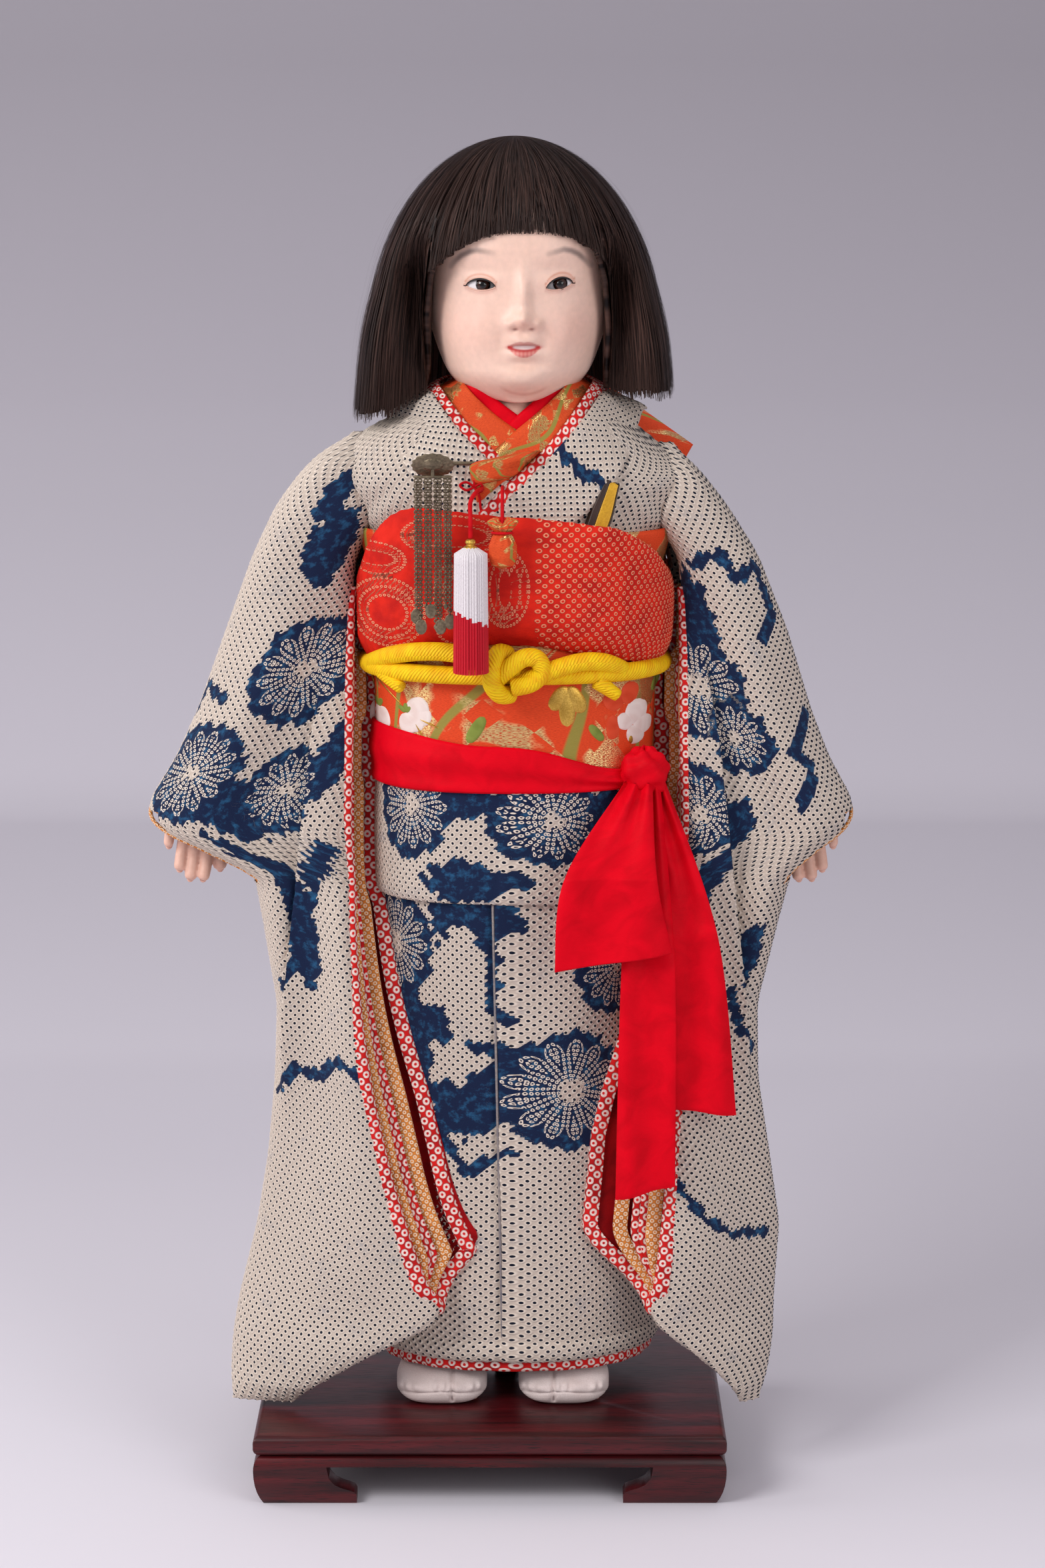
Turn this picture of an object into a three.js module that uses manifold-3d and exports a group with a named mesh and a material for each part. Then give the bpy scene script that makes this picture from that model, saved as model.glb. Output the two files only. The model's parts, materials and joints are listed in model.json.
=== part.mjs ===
// Ichimatsu doll on its low display stand. Millimetres, +Z up, the doll faces -Y.
// The origin lies on the floor under the middle of the whole object.
// Heights of the doll are measured from the soles of its feet.
import * as THREE from "three";
import { mergeVertices } from "three/addons/utils/BufferGeometryUtils.js";
import Module from "manifold-3d";

const wasm = await Module();
wasm.setup();

// Fits between pieces
const SEAT = 0.3; // a hard piece and the one that carries it
const LAYER = 0.6; // one layer of cloth and the next

// Stand
const STAND_WIDTH = 303;
const STAND_DEPTH = 220;
const STAND_HEIGHT = 47;
const STAND_X = -8; // the doll stands a little to one side of the middle
const STAND_Y = -12;
const TOP_THICKNESS = 13.5;
const TOP_EDGE = 4.5;
const RAIL_THICKNESS = 18;
const RAIL_COVE = 4.5; // how far the rail draws in under the top
const RAIL_SWEEP = 6; // how far the foot draws in at the floor
const FOOT_WIDTH = 66;
const FOOT_TOE = 19;
const APRON_DROP = 7; // rail left above the gap between two feet
const POST_RADIUS = 8;
const TENON_RADIUS = 6;
const POST_HEIGHT = 330;

// Doll, where it stands and its heights above the soles
const DOLL_X = 8;
const DOLL_Y = -3;
const HEM_Z = 32;
const KNEE_Z = 175;
const CROTCH_Z = 300;
const TUCK_Z = 336;
const HIP_Z = 350;
const WAIST_Z = 428;
const CHEST_Z = 540;
const UNDERARM_Z = 575;
const SHOULDER_Z = 605;
const NECK_Z = 650;
const CHIN_Z = 655;
const SKULL_TOP_Z = 803;
const HAIR_TOP_Z = 815;

// Half width and half depth of the dressed body, outside of the kimono
const HEM_SIZE = [93, 70];
const KNEE_SIZE = [87, 66];
const HIP_SIZE = [88, 66];
const WAIST_SIZE = [85, 62];
const CHEST_SIZE = [88, 62];
const UNDERARM_SIZE = [98, 60];
const SHOULDER_SIZE = [118, 54];
const SLOPE_SIZE = [99, 45];
const NECK_SIZE = [54, 42];
const FORM_POWER = 2.4; // 2 is an ellipse, more is squarer
const AROUND = 24; // facets round the body

// Cloth thicknesses
const KIMONO_WALL = 3;
const HEM_ROLL = 2.5; // the wadded hem stands out by this much
const HEM_HEIGHT = 12;
const UNDER_WALL = 2;
const COLLAR_WALL = 1.8;
const TUCK_WALL = 4;
const OBI_WALL = 4;
const OBI_AGE_WALL = 4.5;
const OBI_AGE_BULGE = 9;
const SASH_WALL = 5;
const SLEEVE_WALL = 2;
const LINING_WALL = 1.4;
const TABI_WALL = 1.8;

// Obi and what is tied over it
const OBI_LOW = 418;
const OBI_HIGH = 572;
const OBI_AGE_LOW = 501;
const OBI_AGE_HIGH = 588;
const CORD_Z = 487;
const CORD_RADIUS = 6;
const SASH_LOW = 413;
const SASH_HIGH = 450;
const SASH_KNOT = [86, 418];
const SASH_TURN = 0.03; // how far the sash tails stand off the skirt, as a share of their drop
const BOW_LENGTH = 286;
const BOW_WIDTH = 92;
const BOW_DEPTH = 30;
const BOW_Z = 520;
const BOW_TILT = 35; // degrees from upright
const BOW_LEAN = 5; // degrees backwards
const BOW_KNOT_PROUD = 10; // how far the knot stands out from the wings towards the back of the doll

// Arms, given for the viewer's right, and how far each cuff reaches out
const TORSO_SHOULDER = 88; // half width of the bare trunk where the arms meet it
const ARM_TOP = [108, -2, 599];
const ELBOW_Z = 506;
const ELBOW_Y = -6;
const ELBOW_SHARE = 0.36; // of the way from the shoulder out to the cuff
const WRIST_Z = 408;
const WRIST_Y = -16;
const LEFT_REACH = 232;
const RIGHT_REACH = 214;
const CUFF_TO_WRIST = 29;
const UPPER_ARM_RADIUS = 13;
const FOREARM_RADIUS = 13;
const WRIST_RADIUS = 10;
const PEG_RADIUS = 6;
const HAND_LENGTH = 60;
const HAND_BREADTH = 34;

// Hanging part of the sleeves
const SEAM_DEPTH = 22;
const SLEEVE_LOW = 4;
const LIP_LOW = 66;
const CUFF_LOW = 348;
const CUFF_HIGH = 393;
const CUFF_OPEN = 12; // the cuff is left open underneath by this much
const LEFT_LIP = [102, 45];
const RIGHT_LIP = [105, 86];

// Legs
const STANCE = 40;
const STANCE_SHIFT = -6; // the feet stand a little to the viewer's left
const THIGH_RADIUS = 27;
const SHIN_RADIUS = 19;
const ANKLE_Z = 48;

// Head
const HEAD_Y = 2;
const HEAD_WIDTH = 108;
const NECK_RADIUS = 24;
const NECK_DEPTH = 30;
const EYE_Z = 726;
const EYE_SPREAD = 25;
const EYE_RADIUS = 11;
const HAIR_LOW_Z = 643;
const HAIR_WIDTH = 204;
const HAIR_DEPTH = 152;
const FRINGE_Z = 757;
const FACE_OPENING = 103;

// Things tucked into the front of the dress
const WALLET_SIZE = [50, 9, 46];
const WALLET_AT = [-1, 606];
const PIN_RADIUS = 1.3;
const PIN_DISC = 11;
const PIN_Z = 615;
const PIN_X = -50;
const CHAIN_LENGTH = 97;
const CHAIN_RADIUS = 1.1;
const CHAIN_SPREAD = 6;
const CHAINS = 4;
const TASSEL_X = -27;
const TASSEL_TOP = 601;
const TASSEL_CORD_RADIUS = 1.4;
const TASSEL_CAP_Z = 573;
const TASSEL_LENGTH = 64;
const TASSEL_RADIUS = 9;
const POUCH_X = -5;
const POUCH_LENGTH = 27;
const POUCH_STRING_RADIUS = 1.2;
const FAN_LENGTH = 98;
const FAN_WIDTH = 11;
const FAN_THICK = 5;
const FAN_X = 56;
const FAN_TOP = 606;
const FAN_LEAN = 14;

const rad = THREE.MathUtils.degToRad;
const v3 = (x, y, z) => new THREE.Vector3(x, y, z);

// Finishes
const finish = (color, roughness, metalness = 0) => {
  return new THREE.MeshStandardMaterial({ color, roughness, metalness });
};
const ROSEWOOD = () => finish("#4a1710", 0.35);
const GOFUN = () => finish("#e6c8b8", 0.45);
const BODY_CLOTH = () => finish("#d9cdb8", 0.9);
const HAIR = () => finish("#16100d", 0.5);
const GLASS_EYE = () => finish("#1c0f0a", 0.1);
const KIMONO = () => finish("#d8cdbb", 0.85);
const RED_SHIBORI = () => finish("#c22a22", 0.85);
const BROCADE = () => finish("#c8592a", 0.6);
const RED_SILK = () => finish("#d0101a", 0.45);
const CORD_YELLOW = () => finish("#d8a63c", 0.6);
const GILT = () => finish("#9a7b3c", 0.35, 0.9);
const TABI_COTTON = () => finish("#e4d6d0", 0.9);
const BAMBOO = () => finish("#3a2318", 0.5);
const FAN_PAPER = () => finish("#d0a848", 0.5);

// Solids and meshes
function signedVolume(geometry) {
  const position = geometry.attributes.position;
  const index = geometry.index;
  const a = v3();
  const b = v3();
  const c = v3();
  let sum = 0;
  for (let i = 0; i < index.count; i += 3) {
    a.fromBufferAttribute(position, index.getX(i));
    b.fromBufferAttribute(position, index.getX(i + 1));
    c.fromBufferAttribute(position, index.getX(i + 2));
    sum += a.dot(b.cross(c)) / 6;
  }
  return sum;
}

function facingOut(geometry) {
  if (signedVolume(geometry) < 0) {
    const index = geometry.index;
    for (let i = 0; i < index.count; i += 3) {
      const keep = index.getX(i + 1);
      index.setX(i + 1, index.getX(i + 2));
      index.setX(i + 2, keep);
    }
  }
  return geometry;
}

function indexed(geometry) {
  const plain = new THREE.BufferGeometry();
  plain.setAttribute("position", geometry.attributes.position.clone());
  if (geometry.index) plain.setIndex(geometry.index.clone());
  return facingOut(mergeVertices(plain, 1e-4));
}

function solid(geometry) {
  if (geometry instanceof wasm.Manifold) return geometry;
  const plain = indexed(geometry);
  const mesh = new wasm.Mesh({
    numProp: 3,
    vertProperties: new Float32Array(plain.attributes.position.array),
    triVerts: new Uint32Array(plain.index.array),
  });
  mesh.merge();
  return new wasm.Manifold(mesh);
}

function geometryOf(shape) {
  if (!(shape instanceof wasm.Manifold)) return indexed(shape);
  const mesh = shape.getMesh();
  const geometry = new THREE.BufferGeometry();
  geometry.setAttribute("position", new THREE.BufferAttribute(new Float32Array(mesh.vertProperties), 3));
  geometry.setIndex(new THREE.BufferAttribute(new Uint32Array(mesh.triVerts), 1));
  return geometry;
}

const join = (first, ...rest) => rest.reduce((sum, next) => sum.add(solid(next)), solid(first));
const cut = (first, ...rest) => rest.reduce((left, next) => left.subtract(solid(next)), solid(first));
const common = (first, second) => solid(first).intersect(solid(second));

function addPart(parent, name, shape, material) {
  const mesh = new THREE.Mesh(geometryOf(shape), material);
  mesh.name = name;
  parent.add(mesh);
  return mesh;
}

// A closed skin through rings of points. Open runs of rings are capped at both ends.
function skin(rings, closed = false) {
  const count = rings[0].length;
  const points = rings.flat().slice();
  const index = [];
  const spans = closed ? rings.length : rings.length - 1;
  for (let i = 0; i < spans; i += 1) {
    const here = i * count;
    const next = ((i + 1) % rings.length) * count;
    for (let j = 0; j < count; j += 1) {
      const k = (j + 1) % count;
      const [a, b, c, d] = [here + j, here + k, next + k, next + j];
      if (points[a].z <= points[b].z) index.push(a, b, c, a, c, d);
      else index.push(a, b, d, b, c, d);
    }
  }
  if (!closed) {
    for (const [ring, turned] of [[0, true], [rings.length - 1, false]]) {
      const middle = v3(0, 0, 0);
      for (const point of rings[ring]) middle.addScaledVector(point, 1 / count);
      const centre = points.push(middle) - 1;
      for (let j = 0; j < count; j += 1) {
        const a = ring * count + j;
        const b = ring * count + ((j + 1) % count);
        if (turned) index.push(centre, b, a);
        else index.push(centre, a, b);
      }
    }
  }
  const geometry = new THREE.BufferGeometry().setFromPoints(points);
  geometry.setIndex(index);
  return indexed(geometry);
}

const signedPower = (value, power) => Math.sign(value) * Math.abs(value) ** power;

function flatRing(z, halfWidth, halfDepth, middleX = 0, middleY = 0, power = 2, count = AROUND) {
  return Array.from({ length: count }, (_, i) => {
    const angle = (2 * Math.PI * i) / count;
    const x = middleX + halfWidth * signedPower(Math.cos(angle), 2 / power);
    const y = middleY + halfDepth * signedPower(Math.sin(angle), 2 / power);
    return v3(x, y, z);
  });
}

// A round bar through points, each with its own radius
function limb(points, radii, sides = 12, flat = 1) {
  const curve = new THREE.CatmullRomCurve3(points.map((p) => v3(...p)));
  const rings = points.map((p, i) => {
    const along = curve.getTangent(i / (points.length - 1));
    const side = v3(0, 1, 0).cross(along).normalize();
    const over = along.clone().cross(side).normalize();
    return Array.from({ length: sides }, (_, j) => {
      const angle = (2 * Math.PI * j) / sides;
      return v3(...p)
        .addScaledVector(side, radii[i] * Math.cos(angle))
        .addScaledVector(over, radii[i] * flat * Math.sin(angle));
    });
  });
  return skin(rings);
}

function revolve(profile, segments = 16) {
  const points = profile.map(([r, z]) => new THREE.Vector2(r, z));
  return indexed(new THREE.LatheGeometry(points, segments).rotateX(Math.PI / 2));
}

// A flat outline in x and z, given thickness along y from near to far
function slab(shape, near, far, curveSegments = 6) {
  const options = { depth: far - near, bevelEnabled: false, curveSegments };
  return indexed(new THREE.ExtrudeGeometry(shape, options).rotateX(Math.PI / 2).translate(0, far, 0));
}

function outline(points) {
  return new THREE.Shape(points.map(([x, y]) => new THREE.Vector2(x, y)));
}

function pad(width, depth, height, edge, segments = 2) {
  const shape = outline([
    [-width / 2 + edge, -height / 2 + edge],
    [width / 2 - edge, -height / 2 + edge],
    [width / 2 - edge, height / 2 - edge],
    [-width / 2 + edge, height / 2 - edge],
  ]);
  const options = {
    depth: depth - 2 * edge,
    bevelEnabled: true,
    bevelThickness: edge,
    bevelSize: edge,
    bevelSegments: segments,
  };
  const geometry = new THREE.ExtrudeGeometry(shape, options).translate(0, 0, edge - depth / 2);
  return indexed(geometry.rotateX(Math.PI / 2));
}

function box(width, depth, height, x, y, z) {
  return new THREE.BoxGeometry(width, depth, height).translate(x, y, z);
}

// The dressed body as a stack of squarish ovals
const FORM = [
  [HEM_Z, HEM_SIZE],
  [KNEE_Z, KNEE_SIZE],
  [HIP_Z, HIP_SIZE],
  [WAIST_Z, WAIST_SIZE],
  [CHEST_Z, CHEST_SIZE],
  [UNDERARM_Z, UNDERARM_SIZE],
  [SHOULDER_Z, SHOULDER_SIZE],
  [(SHOULDER_Z + 2 * NECK_Z) / 3 - 5, SLOPE_SIZE],
  [NECK_Z, NECK_SIZE],
];
const FORM_LEVELS = FORM.map(([z]) => z);

function formSize(z) {
  if (z <= FORM[0][0]) return FORM[0][1];
  for (let i = 1; i < FORM.length; i += 1) {
    const [low, from] = FORM[i - 1];
    const [high, to] = FORM[i];
    if (z <= high) {
      const share = (z - low) / (high - low);
      return [0, 1].map((k) => THREE.MathUtils.lerp(from[k], to[k], share));
    }
  }
  return FORM[FORM.length - 1][1];
}

function onForm(angle, z, offset) {
  const [width, depth] = formSize(z);
  const x = (width + offset) * signedPower(Math.cos(angle), 2 / FORM_POWER);
  const y = (depth + offset) * signedPower(Math.sin(angle), 2 / FORM_POWER);
  return v3(x, y, z);
}

// How far in front of the axis the dressed body stands at a place seen from the front
function frontOf(x, z, offset) {
  const [width, depth] = formSize(z);
  const share = Math.min(0.999, Math.abs(x) / (width + offset));
  return -(depth + offset) * (1 - share ** FORM_POWER) ** (1 / FORM_POWER);
}

const levelsBetween = (low, high) => [low, ...FORM_LEVELS.filter((z) => z > low + 1 && z < high - 1), high];

// A layer of cloth right round the body
function layer(low, high, inner, outer) {
  const levels = levelsBetween(low, high);
  const rings = Array.from({ length: AROUND }, (_, i) => {
    const angle = (2 * Math.PI * i) / AROUND;
    const outside = levels.map((z) => onForm(angle, z, outer));
    const inside = levels.map((z) => onForm(angle, z, inner)).reverse();
    return [...outside, ...inside];
  });
  return skin(rings, true);
}

// A band whose section may change on the way round. The section is a list of offset and height.
function band(sectionAt, from = 0, to = 360, steps = AROUND) {
  const whole = to - from >= 360;
  const count = whole ? steps : steps + 1;
  const rings = Array.from({ length: count }, (_, i) => {
    const angle = rad(from + ((to - from) * i) / steps);
    return sectionAt(angle).map(([offset, z]) => onForm(angle, z, offset));
  });
  return skin(rings, whole);
}

// Stand
function moulding(length) {
  const height = STAND_HEIGHT - TOP_THICKNESS - SEAT;
  const out = RAIL_THICKNESS;
  const shape = new THREE.Shape();
  shape.moveTo(0, 0);
  shape.lineTo(-(out - RAIL_SWEEP), 0);
  shape.quadraticCurveTo(-out, height * 0.3, -out, height * 0.72);
  shape.quadraticCurveTo(-out, height * 0.92, -(out - RAIL_COVE), height);
  shape.lineTo(0, height);
  const options = { depth: length, bevelEnabled: false, curveSegments: 5 };
  const turn = new THREE.Matrix4().makeBasis(v3(0, 1, 0), v3(0, 0, 1), v3(1, 0, 0));
  return new THREE.ExtrudeGeometry(shape, options).applyMatrix4(turn).translate(-length / 2, 0, 0);
}

function footGap(length) {
  const top = STAND_HEIGHT - TOP_THICKNESS - APRON_DROP;
  const half = length / 2 - FOOT_WIDTH;
  const shape = new THREE.Shape();
  shape.moveTo(half, -1);
  shape.lineTo(half, top * 0.24);
  shape.bezierCurveTo(half, top * 0.5, half + FOOT_TOE, top * 0.28, half + FOOT_TOE, top);
  shape.lineTo(-half - FOOT_TOE, top);
  shape.bezierCurveTo(-half - FOOT_TOE, top * 0.28, -half, top * 0.5, -half, top * 0.24);
  shape.lineTo(-half, -1);
  return slab(shape, -RAIL_THICKNESS - 2, 2);
}

function rail(length) {
  const outer = length / 2 - SEAT / 2;
  const inner = length / 2 - RAIL_THICKNESS - SEAT / 2;
  const mitre = new THREE.ExtrudeGeometry(
    outline([
      [-outer, -RAIL_THICKNESS],
      [outer, -RAIL_THICKNESS],
      [inner, 0],
      [-inner, 0],
    ]),
    { depth: STAND_HEIGHT, bevelEnabled: false },
  );
  return cut(common(moulding(length), mitre), footGap(length));
}

function buildStand() {
  const stand = new THREE.Group();
  stand.position.set(STAND_X, STAND_Y, 0);
  const sides = [
    ["stand_front_rail", STAND_WIDTH, STAND_DEPTH, 0],
    ["stand_right_rail", STAND_DEPTH, STAND_WIDTH, 90],
    ["stand_back_rail", STAND_WIDTH, STAND_DEPTH, 180],
    ["stand_left_rail", STAND_DEPTH, STAND_WIDTH, 270],
  ];
  for (const [name, length, across, turn] of sides) {
    const arm = new THREE.Group();
    arm.rotation.z = rad(turn);
    stand.add(arm);
    const mesh = addPart(arm, name, rail(length), ROSEWOOD());
    mesh.position.y = RAIL_THICKNESS - across / 2;
  }
  const postX = DOLL_X + STANCE_SHIFT - STAND_X;
  const postY = DOLL_Y - STAND_Y;
  const board = pad(STAND_WIDTH, TOP_THICKNESS, STAND_DEPTH, TOP_EDGE, 3).rotateX(Math.PI / 2);
  board.translate(0, 0, STAND_HEIGHT - TOP_THICKNESS / 2);
  const hole = new THREE.CylinderGeometry(TENON_RADIUS + SEAT, TENON_RADIUS + SEAT, 3 * TOP_THICKNESS, 16);
  hole.rotateX(Math.PI / 2).translate(postX, postY, STAND_HEIGHT);
  addPart(stand, "stand_top", cut(board, hole), ROSEWOOD());
  const post = revolve([
    [0, STAND_HEIGHT - TOP_THICKNESS],
    [TENON_RADIUS, STAND_HEIGHT - TOP_THICKNESS],
    [TENON_RADIUS, STAND_HEIGHT + SEAT],
    [POST_RADIUS, STAND_HEIGHT + SEAT],
    [POST_RADIUS, STAND_HEIGHT + POST_HEIGHT - 4],
    [POST_RADIUS - 3, STAND_HEIGHT + POST_HEIGHT],
    [0, STAND_HEIGHT + POST_HEIGHT],
  ]);
  addPart(stand, "support_post", post.translate(postX, postY, 0), ROSEWOOD());
  return stand;
}

// Legs, feet and socks
function footShape(inset) {
  const stations = [
    [32, 13, 30],
    [24, 19, 46],
    [2, 20, 44],
    [-26, 24, 32],
    [-46, 26, 23],
    [-58, 23, 18],
    [-64, 14, 13],
  ];
  const rings = stations.map(([y, halfWidth, height], i) => {
    const shift = i === 0 ? -inset : i === stations.length - 1 ? inset : 0;
    return Array.from({ length: 10 }, (_, j) => {
      const angle = (2 * Math.PI * j) / 10;
      const x = (halfWidth - inset) * Math.cos(angle);
      const z = Math.max(0, Math.sin(angle)) * (height - 2 * inset) + inset;
      return v3(x, y + shift, z);
    });
  });
  return skin(rings);
}

function legShape(low, high, extra) {
  const size = (z) => SHIN_RADIUS + extra + (5 * z) / KNEE_Z;
  const place = (z) => 8 - (6 * z) / KNEE_Z;
  return skin([low, (low + high) / 2, high].map((z) => flatRing(z, size(z), size(z), 0, place(z), 2, 10)));
}

function buildLeg(doll, side, x) {
  const leg = new THREE.Group();
  leg.position.x = x;
  doll.add(leg);
  const sockTop = ANKLE_Z + 42;
  const inset = TABI_WALL + LAYER;
  const sock = join(footShape(0), legShape(30, sockTop, inset));
  const hollow = join(footShape(TABI_WALL), legShape(28, sockTop + 60, LAYER));
  const cleft = box(1.6, 24, 60, -side * 6, -64, 20);
  addPart(leg, side < 0 ? "left_tabi" : "right_tabi", cut(sock, hollow, cleft), TABI_COTTON());
  const shin = join(footShape(inset), legShape(30, KNEE_Z, 0));
  addPart(leg, side < 0 ? "left_lower_leg" : "right_lower_leg", shin, GOFUN());
  const thigh = skin([
    flatRing(KNEE_Z + SEAT, SHIN_RADIUS + 5, SHIN_RADIUS + 5, 0, 2, 2, 14),
    flatRing(KNEE_Z + 20, THIGH_RADIUS - 1, THIGH_RADIUS - 1, 0, 0, 2, 14),
    flatRing(CROTCH_Z - SEAT, THIGH_RADIUS, THIGH_RADIUS, 0, 0, 2, 14),
  ]);
  addPart(leg, side < 0 ? "left_thigh" : "right_thigh", thigh, BODY_CLOTH());
}

function buildTrunk(doll) {
  const pelvisTop = WAIST_Z - 42;
  const pelvis = skin([
    flatRing(CROTCH_Z, 56, 34, STANCE_SHIFT, 0, FORM_POWER, 16),
    flatRing(CROTCH_Z + 18, 68, 46, STANCE_SHIFT, 0, FORM_POWER, 16),
    flatRing(pelvisTop, 66, 46, 0, 0, FORM_POWER, 16),
  ]);
  const bore = revolve([
    [0, CROTCH_Z - 20],
    [POST_RADIUS + SEAT, CROTCH_Z - 20],
    [POST_RADIUS + SEAT, POST_HEIGHT + SEAT],
    [0, POST_HEIGHT + SEAT],
  ]).translate(STANCE_SHIFT, 0, 0);
  addPart(doll, "pelvis", cut(pelvis, bore), GOFUN());
  const waist = skin([
    flatRing(pelvisTop + SEAT, 64, 45, 0, 0, FORM_POWER, 16),
    flatRing(WAIST_Z, 60, 43, 0, 0, FORM_POWER, 16),
    flatRing(WAIST_Z + 20, 62, 44, 0, 0, FORM_POWER, 16),
  ]);
  addPart(doll, "waist_cloth", waist, BODY_CLOTH());
  const slopeZ = FORM[FORM.length - 2][0];
  const socket = revolve([
    [0, slopeZ - NECK_DEPTH - SEAT],
    [NECK_RADIUS + SEAT, slopeZ - NECK_DEPTH - SEAT],
    [NECK_RADIUS + SEAT, NECK_Z + 20],
    [0, NECK_Z + 20],
  ], 20).translate(0, HEAD_Y, 0);
  addPart(doll, "torso", cut(torsoShape(), socket), GOFUN());
}

function torsoShape() {
  const neckBase = KIMONO_WALL + 3 * (LAYER + COLLAR_WALL) + LAYER;
  const slopeZ = FORM[FORM.length - 2][0];
  const ring = (z, width, depth) => flatRing(z, width, depth, 0, 0, FORM_POWER, 16);
  return skin([
    ring(WAIST_Z + 20 + SEAT, 63, 45),
    ring(CHEST_Z - 40, 67, 47),
    ring(UNDERARM_Z, 78, 44),
    ring(SHOULDER_Z, TORSO_SHOULDER, SHOULDER_SIZE[1] - neckBase - 1),
    ring(slopeZ, SLOPE_SIZE[1] - neckBase + 6, SLOPE_SIZE[1] - neckBase),
  ]);
}

// Head
function bump(x, z, middleX, middleZ, width, height) {
  return Math.exp(-(((x - middleX) / width) ** 2) - ((z - middleZ) / height) ** 2);
}

function facePush(x, z) {
  const tall = SKULL_TOP_Z - CHIN_Z;
  const at = (share) => CHIN_Z + share * tall;
  let push = 11 * bump(x, z, 0, at(0.315), 7.5, 7);
  push += 5.5 * bump(x, z, 0, at(0.42), 5.5, 13);
  push += 3 * bump(x, z, -7, at(0.3), 4, 4) + 3 * bump(x, z, 7, at(0.3), 4, 4);
  push += 4.5 * bump(x, z, 0, at(0.225), 11, 3.4);
  push += 4 * bump(x, z, 0, at(0.165), 9, 3.6);
  push += 4.5 * bump(x, z, 0, at(0.055), 15, 9);
  push += 2.5 * (bump(x, z, -30, at(0.28), 14, 16) + bump(x, z, 30, at(0.28), 14, 16));
  push -= 4 * (bump(x, z, -EYE_SPREAD, EYE_Z, 13, 9) + bump(x, z, EYE_SPREAD, EYE_Z, 13, 9));
  return push;
}

function headSection(share) {
  const jaw = share < 0.5 ? (1 - (1 - share / 0.5) ** 2.4) ** (1 / 2.4) : 1;
  const crown = share > 0.62 ? Math.sqrt(Math.max(0, 1 - ((share - 0.62) / 0.385) ** 2)) : 1;
  const width = (HEAD_WIDTH / 2) * Math.max(jaw, 0.24) * crown;
  const front = 61 * (0.72 + 0.28 * THREE.MathUtils.smoothstep(share, -0.02, 0.14)) * crown;
  const back = 66 * THREE.MathUtils.smoothstep(share, -0.32, 0.42) * crown;
  return [width, front, back];
}

const FACE_LEVELS = [0, 0.05, 0.1, 0.14, 0.18, 0.22, 0.26, 0.31, 0.36, 0.42, 0.48];
const SKULL_LEVELS = [0.54, 0.62, 0.72, 0.82, 0.91, 0.97, 1];

function headShape(offset, count = 26) {
  const tall = SKULL_TOP_Z - CHIN_Z;
  const rings = [...FACE_LEVELS, ...SKULL_LEVELS].map((share) => {
    const [width, front, back] = headSection(share);
    const z = CHIN_Z + share * tall + (share > 0.9 ? offset * share : share < 0.02 ? -offset : 0);
    return Array.from({ length: count }, (_, i) => {
      const s = (2 * i) / count - 1;
      const angle = Math.PI * (0.62 * s + 0.38 * s ** 3);
      const x = (width + offset) * signedPower(Math.sin(angle), 0.86);
      const ahead = Math.cos(angle);
      const depth = ahead > 0 ? front + offset : back + offset;
      const push = ahead > 0 ? facePush(x, z) * Math.min(1, ahead * 1.6) : 0;
      return v3(x, HEAD_Y - signedPower(ahead, 0.86) * depth - push, z);
    });
  });
  return skin(rings);
}

function hairShape(low) {
  const levels = [low, 0.1, 0.25, 0.4, 0.55, 0.68, 0.8, 0.9, 0.96, 0.99];
  const rings = levels.map((share) => {
    const dome = Math.sqrt(Math.max(0, 1 - Math.max(0, (share - 0.3) / 0.705) ** 2.5));
    const z = HAIR_LOW_Z + share * (HAIR_TOP_Z - HAIR_LOW_Z);
    const flare = 1 + 0.1 * Math.max(0, 1 - share / 0.45);
    const width = (HAIR_WIDTH / 2.2) * dome * flare;
    const depth = (HAIR_DEPTH / 2) * dome;
    return flatRing(z, width, depth, 0, HEAD_Y + 1, 2.2, 24);
  });
  return skin(rings);
}

function faceWindow(half, high, near) {
  const shape = new THREE.Shape();
  shape.moveTo(-half, HAIR_LOW_Z - 20);
  shape.lineTo(half, HAIR_LOW_Z - 20);
  shape.lineTo(half, high - 22);
  shape.quadraticCurveTo(half * 0.9, high, half * 0.5, high);
  shape.lineTo(-half * 0.5, high);
  shape.quadraticCurveTo(-half * 0.9, high, -half, high - 22);
  return slab(shape, near, -20);
}

function buildHead(doll) {
  const neckLow = FORM[FORM.length - 2][0] - NECK_DEPTH;
  const neck = revolve([
    [0, neckLow],
    [NECK_RADIUS, neckLow],
    [NECK_RADIUS, NECK_Z - 6],
    [NECK_RADIUS + 5, CHIN_Z + 22],
    [0, CHIN_Z + 22],
  ], 20).translate(0, HEAD_Y, 0);
  const skull = join(headShape(0), neck);
  const eyeY = HEAD_Y - 47;
  const ball = (radius, x) => {
    return new THREE.SphereGeometry(radius, 12, 8).scale(1.15, 1, 0.8).translate(x, eyeY, EYE_Z);
  };
  const sockets = [-EYE_SPREAD, EYE_SPREAD].map((x) => ball(EYE_RADIUS + SEAT, x));
  addPart(doll, "head", cut(skull, ...sockets), GOFUN());
  addPart(doll, "left_eye", ball(EYE_RADIUS, -EYE_SPREAD), GLASS_EYE());
  addPart(doll, "right_eye", ball(EYE_RADIUS, EYE_SPREAD), GLASS_EYE());
  const inside = join(headShape(LAYER), neckRoom());
  const hollow = cut(hairShape(0), inside);
  const half = FACE_OPENING / 2;
  const wig = cut(hollow, faceWindow(half, FRINGE_Z, -200), fringeRoom(SEAT));
  addPart(doll, "wig", wig, HAIR());
  const fringe = cut(common(hollow, fringeRoom(0)), faceWindow(half + 20, FRINGE_Z, -200));
  addPart(doll, "wig_fringe", fringe, HAIR());
}

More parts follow.
